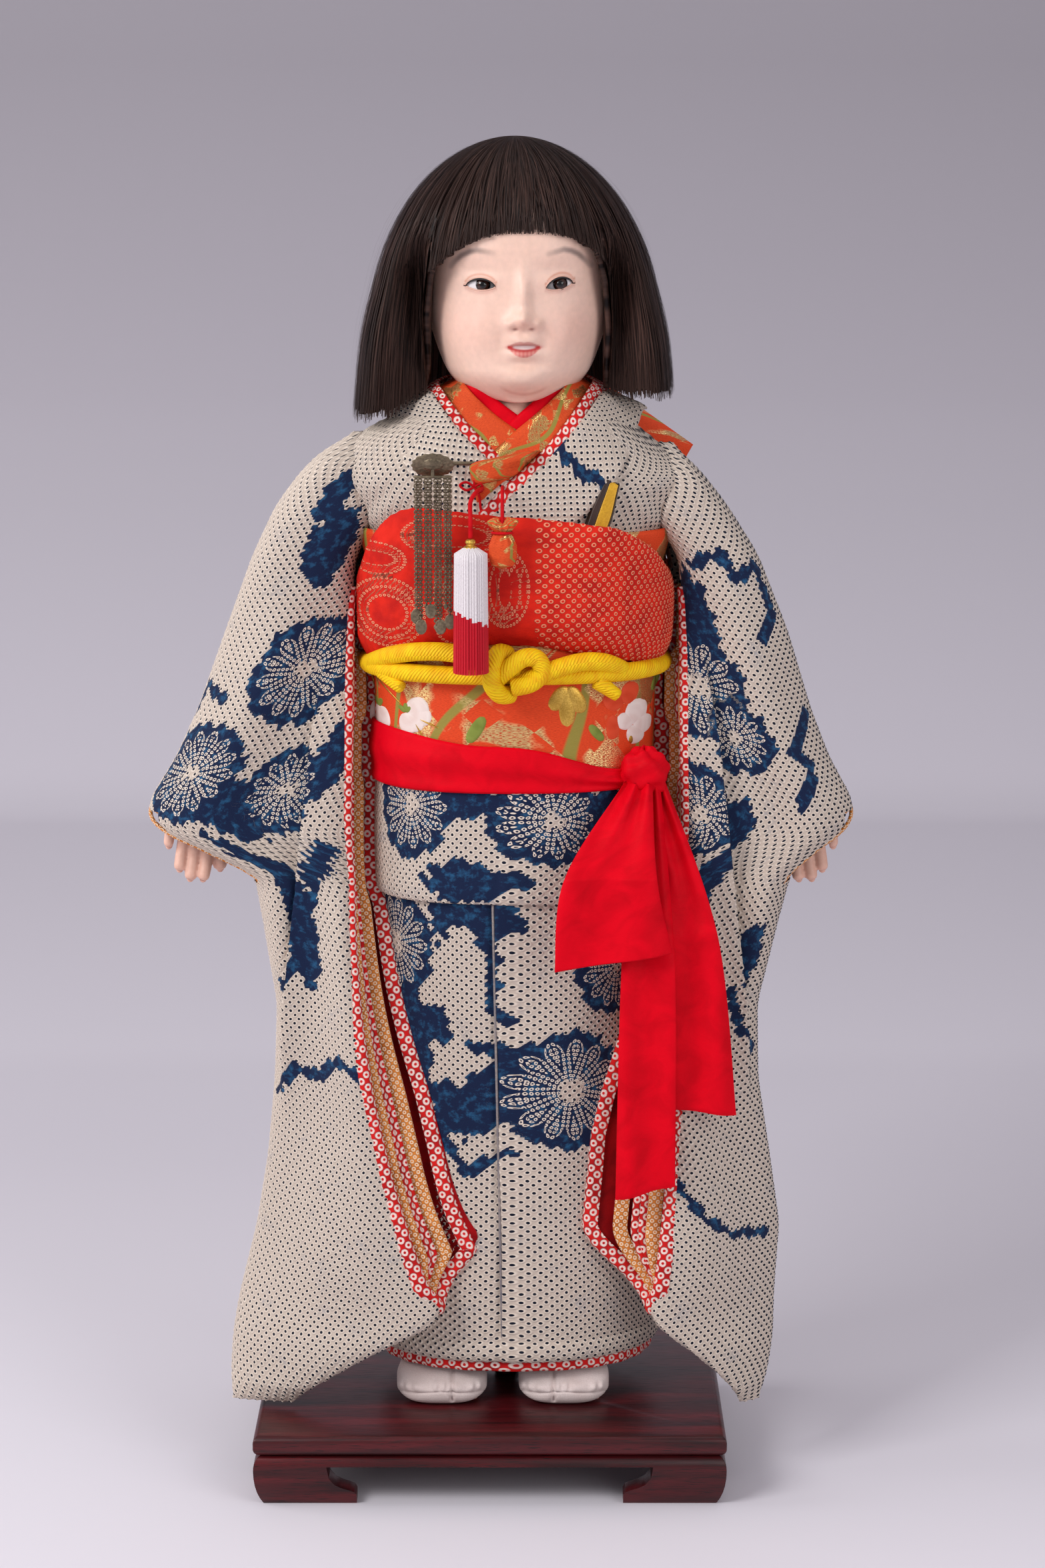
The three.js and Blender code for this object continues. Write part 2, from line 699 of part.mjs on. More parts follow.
// Space for the neck and the collars inside the hair
function neckRoom() {
  const wide = formSize(HAIR_LOW_Z)[0];
  return revolve([
    [0, HAIR_LOW_Z - 10],
    [wide + 20, HAIR_LOW_Z - 10],
    [wide + 6, HAIR_LOW_Z],
    [NECK_SIZE[0] + 6, NECK_Z + 1],
    [NECK_SIZE[0] + 4, NECK_Z + 8],
    [NECK_RADIUS + 8, CHIN_Z + 30],
    [0, CHIN_Z + 30],
  ], 24).translate(0, HEAD_Y, 0);
}

function fringeRoom(extra) {
  const half = FACE_OPENING / 2 - 2 + extra;
  return box(2 * half, 70, 62 + 2 * extra, 0, HEAD_Y - 65 + extra, FRINGE_Z + 14);
}

// Collars and kimono
function neckline(inset, low) {
  const left = -50 + inset;
  const right = 48 - inset;
  const opening = outline([
    low,
    [right, NECK_Z + 4],
    [right, NECK_Z + 30],
    [left, NECK_Z + 30],
    [left, NECK_Z],
  ]);
  return slab(opening, -200, -6);
}

function buildCollars(doll) {
  const names = ["collar_shibori", "collar_brocade", "collar_red"];
  const lows = [[-9, 596], [2, 634], [2, 641]];
  const insets = [6, 14, 20];
  const finishes = [RED_SHIBORI(), BROCADE(), RED_SILK()];
  const bottom = UNDERARM_Z + 6;
  names.forEach((name, i) => {
    const outer = -KIMONO_WALL - LAYER - i * (COLLAR_WALL + LAYER);
    const shell = layer(bottom, NECK_Z + 2 * (i + 1), outer - COLLAR_WALL, outer);
    const wide = box(148, 400, NECK_Z - bottom + 25, -4, 0, (NECK_Z + bottom + 15) / 2);
    addPart(doll, name, cut(common(shell, wide), neckline(insets[i], lows[i])), finishes[i]);
  });
}

function armTunnel(side) {
  const [x, y, z] = ARM_TOP;
  return limb([[side * (x - 12), y, z - 7], [side * (x + 60), y, z - 7]], [22, 22], 12);
}

function buildKimono(doll) {
  const underOuter = -KIMONO_WALL - LAYER;
  const under = layer(HEM_Z - 8, HIP_Z, underOuter - UNDER_WALL, underOuter);
  addPart(doll, "under_kimono", under, RED_SHIBORI());
  const skirt = band(() => [
    [-KIMONO_WALL, HEM_Z],
    [0, HEM_Z],
    [HEM_ROLL, HEM_Z + HEM_HEIGHT * 0.4],
    [0, HEM_Z + HEM_HEIGHT],
    [0, KNEE_Z],
    [0, HIP_Z],
    [0, WAIST_Z],
    [-KIMONO_WALL, WAIST_Z],
    [-KIMONO_WALL, HIP_Z],
    [-KIMONO_WALL, KNEE_Z],
  ]);
  addPart(doll, "kimono_skirt", skirt, KIMONO());
  const tuckHigh = OBI_LOW - SEAT;
  const tuck = band(() => [
    [LAYER, TUCK_Z + 4],
    [LAYER + TUCK_WALL * 0.5, TUCK_Z],
    [LAYER + TUCK_WALL, TUCK_Z + 4],
    [LAYER + TUCK_WALL, HIP_Z],
    [LAYER + TUCK_WALL, tuckHigh],
    [LAYER, tuckHigh],
    [LAYER, HIP_Z],
  ]);
  addPart(doll, "kimono_tuck", tuck, KIMONO());
  const bodice = layer(WAIST_Z + SEAT, NECK_Z, -KIMONO_WALL, 0);
  const open = cut(bodice, neckline(0, [-14, 588]), armTunnel(-1), armTunnel(1));
  addPart(doll, "kimono_bodice", open, KIMONO());
}

// Sleeves as flat bags that hang from the arms and stay open along the body
function sleeveLevels(reach, lip) {
  const seam = (z) => formSize(z)[0] - SEAM_DEPTH; // trimmed back later to the shape of the body
  const drop = (z) => THREE.MathUtils.clamp((CUFF_LOW - z) / (CUFF_LOW - LIP_LOW), 0, 1);
  const lipAt = (z) => THREE.MathUtils.lerp(lip[0], lip[1], drop(z) ** 2.2);
  const along = (share) => THREE.MathUtils.lerp(SHOULDER_SIZE[0], reach, share);
  const foot = (share) => THREE.MathUtils.lerp(lip[1], 166, share);
  const hang = (share) => THREE.MathUtils.lerp(LIP_LOW, CUFF_LOW, share);
  const arm = (share) => THREE.MathUtils.lerp(CUFF_HIGH, CHEST_Z, share);
  // height, outer end, inner end, half thickness, y at the outer end, y at the inner end
  return [
    [SLEEVE_LOW, 168, 148, 7, -62, -66],
    [SLEEVE_LOW + 16, 173, foot(0.66), 10, -48, -72],
    [SLEEVE_LOW + 38, 175, foot(0.38), 14, -40, -78],
    [LIP_LOW, 175, lip[1], 16, -34, -84],
    [hang(0.17), 171, lipAt(hang(0.17)), 17, -30, -80],
    [hang(0.34), 164, lipAt(hang(0.34)), 17, -27, -72],
    [hang(0.52), 158, lipAt(hang(0.52)), 17, -24, -64],
    [hang(0.7), 153, lipAt(hang(0.7)), 18, -22, -52],
    [hang(0.88), 154, lipAt(hang(0.88)), 20, -20, -38],
    [CUFF_LOW, 164, lip[0], 23, -19, -26],
    [CUFF_LOW + 30, reach - 4, lip[0], 26, -17, -18],
    [CUFF_HIGH, reach, lip[0], 27, -15, -14],
    [arm(0.41), along(0.77), lip[0], 28, -10, -9],
    [arm(0.75), along(0.59), lip[0], 29, -7, -6],
    [CHEST_Z + 12, along(0.4), Math.max(lip[0], formSize(CHEST_Z)[0] + LAYER), 32, -4, -4],
    [UNDERARM_Z + 8, along(0.25), seam(UNDERARM_Z + 8), 34, -2, -2],
    [SHOULDER_Z, along(0.12), seam(SHOULDER_Z), 30, -2, -2],
    [SHOULDER_Z + 13, along(0.03), seam(SHOULDER_Z + 13), 17, -2, -2],
  ];
}

// The bag drawn in by an inset. Past is how far it runs on beyond the open edge.
function sleeveBag(side, reach, lip, inset, past) {
  const count = 14;
  const levels = sleeveLevels(reach, lip);
  const last = levels.length - 1;
  const rings = levels.map(([z, outer, inner, half, outerY, innerY], row) => {
    const middle = (outer + inner) / 2;
    const flat = Array.from({ length: count }, (_, i) => {
      const angle = (2 * Math.PI * (i + 0.5)) / count;
      const along = signedPower(Math.cos(angle), 2 / 2.8);
      const x = middle + ((outer - inner) / 2) * along;
      const share = (x - inner) / (outer - inner);
      const fold = z < CUFF_LOW && z > LIP_LOW ? 3 * Math.sin(share * 7 + z / 60) : 0;
      const y = THREE.MathUtils.lerp(innerY, outerY, share) + fold;
      return [x, y + signedPower(Math.sin(angle), 2 / 2.8) * half];
    });
    const draw = Math.min(inset, half * 0.6);
    const drawn = flat.map(([x, y], i) => {
      const [ax, ay] = flat[(i + count - 1) % count];
      const [bx, by] = flat[(i + 1) % count];
      const run = Math.hypot(bx - ax, by - ay);
      return [x - (draw * (by - ay)) / run, y + (draw * (bx - ax)) / run];
    });
    const open = row > 2 && inset > 0;
    if (open) {
      const low = drawn[4];
      const high = drawn[9];
      for (const [i, near] of [[5, low], [6, low], [7, high], [8, high]]) {
        const share = i === 5 || i === 8 ? 0.5 : 1;
        const slope = (innerY - outerY) / (outer - inner);
        const step = (near[0] - inner + past) * share;
        drawn[i] = [near[0] - step, near[1] + slope * step];
      }
    }
    let level = z;
    if (inset > 0 && row === 0) level += inset * 1.6;
    if (inset > 0 && row === last) level -= inset * 1.2;
    if (inset > 0 && (row === 9 || row === 10)) level -= CUFF_OPEN;
    return drawn.map(([x, y]) => v3(side * x, y, level));
  });
  return skin(rings);
}

// The dressed body above the waist as one solid, let out by a clearance
function bodyBlank(extra) {
  const levels = levelsBetween(WAIST_Z, NECK_Z);
  return skin(
    levels.map((z) => {
      return Array.from({ length: AROUND }, (_, i) => onForm((2 * Math.PI * i) / AROUND, z, extra));
    }),
  );
}

function buildArm(doll, side) {
  const label = side < 0 ? "left" : "right";
  const reach = side < 0 ? LEFT_REACH : RIGHT_REACH;
  const lip = side < 0 ? LEFT_LIP : RIGHT_LIP;
  const cloth = (inset, past) => sleeveBag(side, reach, lip, inset, past);
  const shell = cut(cloth(0, 0), cloth(SLEEVE_WALL, 14), bodyBlank(LAYER), scarfBand(LAYER));
  addPart(doll, `${label}_sleeve`, biggest(shell), KIMONO());
  const liningIn = SLEEVE_WALL + LAYER;
  const far = 2 * lip[0];
  const stripX = side * (lip[0] + 26 - far / 2);
  const strip = box(far, 300, CHEST_Z - LIP_LOW, stripX, 0, (CHEST_Z + LIP_LOW) / 2);
  const lining = common(cut(cloth(liningIn, 1), cloth(liningIn + LINING_WALL, 16)), strip);
  addPart(doll, `${label}_sleeve_lining`, biggest(lining), RED_SHIBORI());
  const top = v3(side * ARM_TOP[0], ARM_TOP[1], ARM_TOP[2]);
  const elbowX = THREE.MathUtils.lerp(SHOULDER_SIZE[0], reach, ELBOW_SHARE);
  const elbow = v3(side * elbowX, ELBOW_Y, ELBOW_Z);
  const wrist = v3(side * (reach - CUFF_TO_WRIST), WRIST_Y, WRIST_Z);
  const along = v3(side * 0.06, -0.12, -1).normalize();
  const back = (from, distance) => from.clone().addScaledVector(along, -distance).toArray();
  const root = v3(side * (TORSO_SHOULDER - 6), ARM_TOP[1], SHOULDER_Z - 2);
  const whole = limb([root.toArray(), top.toArray(), elbow.toArray()], Array(3).fill(UPPER_ARM_RADIUS), 10);
  const trunk = box(2 * (TORSO_SHOULDER + SEAT), 200, 200, 0, 0, SHOULDER_Z);
  const upper = biggest(cut(whole, trunk));
  addPart(doll, `${label}_upper_arm`, upper, BODY_CLOTH());
  const bent = v3(...back(wrist, 22)).lerp(elbow, 0.4);
  const lower = limb(
    [elbow.toArray(), bent.toArray(), back(wrist, 10), wrist.toArray()],
    [FOREARM_RADIUS, FOREARM_RADIUS, WRIST_RADIUS, WRIST_RADIUS],
    12,
  );
  const clear = limb([root.toArray(), top.toArray(), elbow.toArray()], [60, 60, 60], 10);
  const bore = limb([back(wrist, 13), back(wrist, -4)], [PEG_RADIUS + SEAT, PEG_RADIUS + SEAT], 12);
  const spaced = solid(clear).translate([side * SEAT * 0.5, 0, -SEAT]);
  addPart(doll, `${label}_forearm`, biggest(cut(lower, spaced, bore)), GOFUN());
  const group = new THREE.Group();
  group.quaternion.setFromUnitVectors(v3(0, 0, -1), along);
  group.position.set(...back(wrist, -SEAT));
  doll.add(group);
  addPart(group, `${label}_hand`, buildHand(side), GOFUN());
}

function biggest(shape) {
  return shape.decompose().reduce((best, next) => (next.volume() > best.volume() ? next : best));
}

// A hand with its fingers down -Z and its peg up +Z
function buildHand(side) {
  const half = HAND_BREADTH / 2;
  const knuckle = HAND_LENGTH * 0.52;
  const palm = skin([
    flatRing(0, WRIST_RADIUS, 8.5, 0, 0, 2, 12),
    flatRing(-knuckle * 0.4, half * 0.85, 8.5, 0, 0, 2.2, 12),
    flatRing(-knuckle * 0.8, half, 7.5, 0, 0, 2.2, 12),
    flatRing(-knuckle - 3, half * 0.9, 6, 0, 0, 2.2, 12),
  ]);
  const peg = new THREE.CylinderGeometry(PEG_RADIUS, PEG_RADIUS, 16, 12).rotateX(Math.PI / 2);
  peg.translate(0, 0, 4);
  const fingers = [-0.74, -0.25, 0.25, 0.74].map((place, i) => {
    const x = place * half;
    const long = (HAND_LENGTH - knuckle) * [0.86, 1, 0.97, 0.8][i];
    const spread = place * 5;
    const joints = [
      [x, 0, -knuckle + 6],
      [x + spread * 0.6, -1, -knuckle - long * 0.5],
      [x + spread, 2, -knuckle - long],
    ];
    return limb(joints, [half * 0.24, half * 0.24, half * 0.15], 6);
  });
  const ball = [
    [-side * half * 0.6, -1, -8],
    [-side * (half + 4), -4, -knuckle * 0.7],
    [-side * (half + 8), -4, -knuckle * 1.15],
  ];
  const thumb = limb(ball, [half * 0.32, half * 0.28, half * 0.17], 6);
  return join(palm, peg, ...fingers, thumb);
}

// Obi, scarf, cord and sash
const OBI_OUT = LAYER + OBI_WALL;

function buildObi(doll) {
  addPart(doll, "obi", layer(OBI_LOW, OBI_HIGH, LAYER, OBI_OUT), BROCADE());
  const scarf = OBI_OUT + LAYER + OBI_AGE_WALL * 1.05;
  const reach = BOW_DEPTH / 2 + BOW_KNOT_PROUD;
  const bowY = -frontOf(0, BOW_Z, scarf) + SEAT + 1 + reach;
  const bow = new THREE.Group();
  bow.position.set(0, bowY, BOW_Z);
  bow.rotation.set(rad(-BOW_LEAN), rad(BOW_TILT), 0);
  doll.add(bow);
  const wing = (sign) => {
    const deep = BOW_DEPTH;
    const sections = [[0, 0.62, 0.6], [0.3, 0.85, 0.9], [0.65, 1, 1], [0.93, 1, 0.8], [1, 0.97, 0.4]];
    const rings = sections.map(([t, wide, thick]) => {
      return Array.from({ length: 16 }, (_, i) => {
        const angle = (2 * Math.PI * i) / 16;
        const x = (BOW_WIDTH / 2) * wide * signedPower(Math.cos(angle), 0.5);
        const pleat = 1 - 0.12 * Math.cos(angle * 4) * (1 - t);
        const y = (deep / 2) * thick * signedPower(Math.sin(angle), 0.6) * pleat;
        return v3(x, y, sign * (t * (BOW_LENGTH / 2 - 10) + 10));
      });
    });
    return skin(rings);
  };
  addPart(bow, "obi_bow_upper", wing(1), BROCADE());
  addPart(bow, "obi_bow_lower", wing(-1), BROCADE());
  const gap = 10 - SEAT;
  const deep = BOW_DEPTH + 2 * BOW_KNOT_PROUD;
  const knot = pad(BOW_WIDTH * 0.7, deep, 2 * gap, 4, 2).translate(0, -BOW_KNOT_PROUD, 0);
  bow.updateMatrix();
  const under = layer(OBI_LOW, OBI_HIGH, 0, OBI_OUT + LAYER + SEAT);
  const tied = cut(knot.applyMatrix4(bow.matrix), scarfBand(SEAT), under);
  addPart(doll, "obi_bow_knot", biggest(tied), BROCADE());
}

// The scarf round the top of the obi, full in front and flat behind
function scarfBand(extra) {
  const inner = OBI_OUT + LAYER;
  return band((angle) => {
    const ahead = Math.max(0, -Math.sin(angle)) ** 0.8;
    const behind = Math.max(0, Math.sin(angle));
    const low = OBI_AGE_LOW + 10 * (1 - ahead) + 12 * behind - extra;
    const high = OBI_AGE_HIGH - 22 * (1 - ahead) + 3 * behind + extra;
    const bulge = OBI_AGE_WALL + OBI_AGE_BULGE * ahead + extra;
    const rest = high > UNDERARM_Z + 1 ? UNDERARM_Z : (high + CHEST_Z) / 2;
    return [
      [inner, low],
      [inner + OBI_AGE_WALL * 0.8 + extra, low],
      [inner + bulge, low + (high - low) * 0.22],
      [inner + bulge * 1.05, low + (high - low) * 0.5],
      [inner + bulge, low + (high - low) * 0.8],
      [inner + OBI_AGE_WALL * 0.8 + 6 * ahead + extra, high],
      [inner, high],
      [inner, rest],
      [inner, CHEST_Z],
    ];
  });
}

function buildObiAge(doll) {
  const slot = fanBlank(FAN_LENGTH + 60, SEAT);
  addPart(doll, "obi_age", biggest(cut(scarfBand(0), slot)), RED_SHIBORI());
}

// The cord lies flatter at the sides of the body than in front
function cordRing(angle, seat, z, radius) {
  const ahead = Math.max(0, -Math.sin(angle));
  const deep = radius * (0.6 + 0.4 * ahead);
  return Array.from({ length: 6 }, (_, i) => {
    const a = (2 * Math.PI * (i + 0.5)) / 6;
    return onForm(angle, z, seat + deep + deep * Math.cos(a)).setZ(z + radius * Math.sin(a));
  });
}

function buildCord(doll) {
  const seat = OBI_OUT + SEAT;
  const ring = Array.from({ length: AROUND }, (_, i) => {
    return cordRing((2 * Math.PI * i) / AROUND, seat, CORD_Z, CORD_RADIUS);
  });
  const over = seat + CORD_RADIUS * 1.6;
  const strand = (from, to) => {
    const rings = Array.from({ length: 7 }, (_, i) => {
      const t = i / 6;
      const angle = rad(from + (to - from) * t);
      const out = over - CORD_RADIUS * 1.1 * t;
      const radius = CORD_RADIUS * (i === 6 ? 0.6 : 0.92);
      return cordRing(angle, out, CORD_Z + CORD_RADIUS * (1.1 - 0.5 * t), radius);
    });
    return skin(rings);
  };
  const knotY = frontOf(4, CORD_Z, over + CORD_RADIUS);
  const knot = new THREE.IcosahedronGeometry(1, 1).scale(11, 8, 13).translate(4, knotY, CORD_Z + 4);
  const cord = join(skin(ring, true), strand(-101, -158), strand(-73, -22), knot);
  addPart(doll, "obi_cord", cord, CORD_YELLOW());
}

function buildSash(doll) {
  const inner = Math.max(OBI_OUT, LAYER + TUCK_WALL) + LAYER;
  const sash = band((angle) => {
    const low = SASH_LOW + 3 * Math.cos(angle);
    const high = SASH_HIGH - 8 * Math.max(0, Math.cos(angle));
    const mid = (low + high) / 2;
    return [
      [inner, low],
      [inner + SASH_WALL * 0.7, low + 1],
      [inner + SASH_WALL, low + 8],
      [inner + SASH_WALL * 0.7, mid],
      [inner + SASH_WALL, high - 8],
      [inner + SASH_WALL * 0.7, high - 1],
      [inner, high],
    ];
  });
  addPart(doll, "sash", sash, RED_SILK());
  const [knotX, knotZ] = SASH_KNOT;
  const out = inner + SASH_WALL + SEAT;
  const knotY = frontOf(knotX, knotZ, out) - 13;
  const room = layer(SASH_LOW - 30, SASH_HIGH + 20, LAYER, out);
  const ball = (extra) => {
    const [wide, deep, tall] = [15, 13, 15].map((size) => size + extra);
    return new THREE.IcosahedronGeometry(1, 1).scale(wide, deep, tall).translate(knotX - 4, knotY, knotZ);
  };
  addPart(doll, "sash_knot", biggest(cut(ball(0), room)), RED_SILK());
  // name, spine in x and z, half widths, y at the knot, y lower down, thickness
  const strips = [
    ["sash_loop", [[78, 412], [62, 360], [64, 312]], [9, 28, 37], knotY - 7, knotY - 40, 8],
    ["sash_tail_front", [[83, 412], [84, 300], [82, 156]], [9, 17, 18], knotY - 1.5, knotY - 28, 4],
    ["sash_tail_side", [[87, 412], [112, 320], [121, 206]], [8, 17, 21], knotY + 3, knotY - 20, 4],
  ];
  for (const [name, spine, halves, nearY, farY, thick] of strips) {
    const rings = Array.from({ length: 7 }, (_, i) => {
      const place = i / 3;
      const low = Math.min(1, Math.floor(place));
      const at = (from, to) => THREE.MathUtils.lerp(from, to, place - low);
      const x = at(spine[low][0], spine[low + 1][0]);
      const z = at(spine[low][1], spine[low + 1][1]);
      const half = at(halves[low], halves[low + 1]);
      const open = Math.min(1, place);
      const y = THREE.MathUtils.lerp(nearY, farY, open) - SASH_TURN * (knotZ - z);
      return Array.from({ length: 12 }, (_, j) => {
        const angle = (2 * Math.PI * j) / 12;
        const along = signedPower(Math.cos(angle), 0.7);
        const fold = 2.2 * open * Math.sin(along * 4 + i * 0.4);
        const deep = (thick / 2) * (0.5 + 0.5 * open) * Math.sin(angle);
        return v3(x + half * along, y + fold + deep, z);
      });
    });
    addPart(doll, name, biggest(cut(skin(rings), ball(SEAT))), RED_SILK());
  }
}

// Small things at the front
const FRONT_OUT = OBI_OUT + LAYER + OBI_AGE_WALL + OBI_AGE_BULGE;
const HANG_Y = frontOf(0, CHEST_Z, FRONT_OUT) - TASSEL_RADIUS - 7;

function buildWallet(doll) {
  const [x, z] = WALLET_AT;
  const y = frontOf(0, z + WALLET_SIZE[2] / 2, 0) - 3;
  const body = pad(...WALLET_SIZE, 3, 2).rotateY(rad(-6)).translate(x, y - WALLET_SIZE[1] / 2, z);
  const dress = layer(UNDERARM_Z - 20, NECK_Z + 3, -12, SEAT);
  const bore = PIN_RADIUS + SEAT;
  const slot = limb([[PIN_X, pinY(), PIN_Z], [x + 4, pinY(), PIN_Z]], [bore, bore], 8);
  const scarf = layer(OBI_AGE_LOW, OBI_AGE_HIGH + SEAT, LAYER, FRONT_OUT + 2);
  addPart(doll, "wallet", biggest(cut(body, dress, slot, scarf)), BROCADE());
}

function pinY() {
  const z = WALLET_AT[1];
  return frontOf(0, z + WALLET_SIZE[2] / 2, 0) - 3 - WALLET_SIZE[1] / 2;
}

function buildKanzashi(doll) {
  const y = pinY();
  const discY = chainY();
  const thin = [PIN_RADIUS, PIN_RADIUS * 0.8];
  const thick = [PIN_RADIUS * 1.3, PIN_RADIUS * 1.6];
  const stem = limb([[PIN_X + 8, y, PIN_Z], [WALLET_AT[0] + 2, y, PIN_Z]], thin, 8);
  const arm = limb([[PIN_X + 9, y, PIN_Z], [PIN_X, discY, PIN_Z + 2]], thick, 8);
  const disc = new THREE.CylinderGeometry(PIN_DISC, PIN_DISC, 2.2, 16).rotateX(Math.PI / 2);
  disc.rotateX(rad(35)).translate(PIN_X, discY, PIN_Z + 3);
  const boss = new THREE.SphereGeometry(4.5, 8, 5).translate(PIN_X, discY, PIN_Z + 4);
  const bar = limb([[PIN_X - 12, discY, PIN_Z - 4], [PIN_X + 12, discY, PIN_Z - 4]], [1, 1], 6);
  const neck = box(2.4, 2.4, 8, PIN_X, discY, PIN_Z - 1);
  addPart(doll, "kanzashi", join(stem, arm, disc, boss, bar, neck), GILT());
  for (let i = 0; i < CHAINS; i += 1) {
    const x = PIN_X + (i - (CHAINS - 1) / 2) * CHAIN_SPREAD;
    addPart(doll, `kanzashi_chain_${i + 1}`, chainShape().translate(x, discY, PIN_Z - 5 - SEAT), GILT());
  }
}

const chainY = () => HANG_Y + 2;

// A hanging row of links that ends in a leaf
function chainShape() {
  const links = 9;
  const long = CHAIN_LENGTH - 14;
  const profile = [[0, 0]];
  for (let i = 0; i < links; i += 1) {
    profile.push([CHAIN_RADIUS, -(long * (i + 0.5)) / links]);
    if (i < links - 1) profile.push([CHAIN_RADIUS * 0.45, -(long * (i + 1)) / links]);
  }
  profile.push([0, -long - 1]);
  const chain = revolve(profile, 5);
  const leaf = new THREE.SphereGeometry(1, 6, 4).scale(2, 0.8, 7).translate(0, 0, -long - 6);
  return geometryOf(join(chain, leaf));
}

// A cord from the front of the wallet over the top edge of the scarf and down to what hangs on it
function hangingCord(x, startX, y, low, radius) {
  const startY = pinY() - WALLET_SIZE[1] / 2 - SEAT;
  const points = [
    [startX, startY, TASSEL_TOP],
    [(x + startX) / 2, (y + startY) / 2, TASSEL_TOP - 1],
    [x, y + (startY - y) * 0.2, TASSEL_TOP - 6],
    [x, y, (TASSEL_TOP + low) / 2 - 2],
    [x, y, low],
  ];
  const radii = points.map((_, i) => (i === 0 ? radius * 0.35 : radius)); // sewn on by a thread
  return limb(points, radii, 8);
}

function buildTassel(doll) {
  const y = HANG_Y;
  const top = TASSEL_CAP_Z;
  const low = top - TASSEL_LENGTH - 12;
  const startX = WALLET_AT[0] - WALLET_SIZE[0] / 2 + 8;
  const cord = hangingCord(TASSEL_X, startX, y, top + SEAT, TASSEL_CORD_RADIUS);
  addPart(doll, "tassel_cord", cord, RED_SILK());
  const cap = revolve([
    [0, top],
    [3.2, top],
    [4.6, top - 3],
    [3, top - 5.5],
    [5.6, top - 8],
    [6, top - 12],
    [0, top - 12],
  ], 12).translate(TASSEL_X, y, 0);
  addPart(doll, "tassel_cap", cap, GILT());
  const rings = [[0, 0.66], [0.08, 0.85], [0.5, 1], [1, 1.16]].map(([t, wide]) => {
    return Array.from({ length: 24 }, (_, i) => {
      const angle = (2 * Math.PI * i) / 24;
      const r = TASSEL_RADIUS * wide * (i % 2 ? 1 : 0.86);
      const z = top - 12 - SEAT - t * (top - 12 - SEAT - low);
      return v3(TASSEL_X + r * Math.cos(angle), y + r * Math.sin(angle), z);
    });
  });
  addPart(doll, "tassel_fringe", skin(rings), RED_SILK());
}

function buildPouch(doll) {
  const y = HANG_Y + 6;
  const top = OBI_AGE_HIGH - 4;
  const string = hangingCord(POUCH_X, POUCH_X, y, top - 2, POUCH_STRING_RADIUS);
  const profile = [[0, 0.5], [0.12, 0.66], [0.2, 0.5], [0.45, 0.95], [0.75, 1], [0.95, 0.75], [1, 0.4]];
  const bag = profile.map(([t, wide]) => {
    return flatRing(top - t * POUCH_LENGTH, 9.5 * wide, 6 * wide, POUCH_X, y, 2.2, 14);
  });
  addPart(doll, "pouch", join(skin(bag), string), BROCADE());
}

// The closed fan leans out to the viewer's right and back with the chest.
// It slides in a slot of the scarf.
function fanPlace(shape) {
  const half = FAN_THICK / 2 + FAN_WIDTH * 0.24 + SEAT;
  const lean = Math.tan(rad(FAN_LEAN));
  const low = FAN_TOP - FAN_LENGTH;
  const lowX = FAN_X - (FAN_TOP - low) * lean;
  const midX = FAN_X - (FAN_TOP - OBI_HIGH) * lean;
  const lowY = frontOf(lowX - FAN_WIDTH / 2, low, OBI_OUT) - half;
  const midY = frontOf(midX - FAN_WIDTH / 2, OBI_HIGH, OBI_OUT) - half;
  const up = v3(midX - lowX, midY - lowY, OBI_HIGH - low).normalize();
  const top = v3(lowX, lowY, low).addScaledVector(up, FAN_LENGTH);
  shape.rotateZ(rad(24));
  shape.applyQuaternion(new THREE.Quaternion().setFromUnitVectors(v3(0, 0, 1), up));
  return shape.translate(top.x, top.y, top.z);
}

function fanBlank(length, extra) {
  const thick = FAN_THICK + 2 * extra;
  const wide = FAN_WIDTH + 2 * extra;
  return fanPlace(box(wide, thick, length, 0, 0, length / 2 - FAN_LENGTH - extra));
}

function buildFan(doll) {
  const guard = 1.5;
  const leaf = FAN_WIDTH - 2 * guard - 2 * SEAT;
  const rivet = -FAN_LENGTH + 6;
  const pin = (radius, length) => {
    const bar = new THREE.CylinderGeometry(radius, radius, length, 10).rotateZ(Math.PI / 2);
    return bar.translate(0, 0, rivet);
  };
  const body = box(leaf, FAN_THICK, FAN_LENGTH - 3, 0, 0, -FAN_LENGTH / 2 - 1.5);
  const place = (shape) => fanPlace(geometryOf(shape));
  const hole = pin(1.2 + SEAT / 2, 40);
  addPart(doll, "fan_leaf", place(cut(body, hole)), FAN_PAPER());
  const stick = (sign) => {
    return box(guard, FAN_THICK, FAN_LENGTH, sign * (FAN_WIDTH / 2 - guard / 2), 0, -FAN_LENGTH / 2);
  };
  addPart(doll, "fan_guards", place(join(stick(-1), stick(1), pin(1.2, FAN_WIDTH))), BAMBOO());
}

function buildDoll() {
  const doll = new THREE.Group();
  doll.position.set(DOLL_X, DOLL_Y, STAND_HEIGHT + SEAT);
  buildLeg(doll, -1, STANCE_SHIFT - STANCE);
  buildLeg(doll, 1, STANCE_SHIFT + STANCE);
  buildTrunk(doll);
  buildHead(doll);
  buildCollars(doll);
  buildKimono(doll);
  buildArm(doll, -1);
  buildArm(doll, 1);
  buildObi(doll);
  buildObiAge(doll);
  buildCord(doll);
  buildSash(doll);
  buildWallet(doll);
  buildKanzashi(doll);
  buildTassel(doll);
  buildPouch(doll);
  buildFan(doll);
  return doll;
}

const part = new THREE.Group();
part.name = "ichimatsu_doll";
part.add(buildStand(), buildDoll());

export default part;
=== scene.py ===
"""An ichimatsu doll in a tie-dyed kimono on its rosewood stand.

The frame is in metres, z up, and the doll faces -y. Sizes in this file are millimetres from the doll's soles,
and "left" is the side that stands at the left of a picture taken from the front.
"""

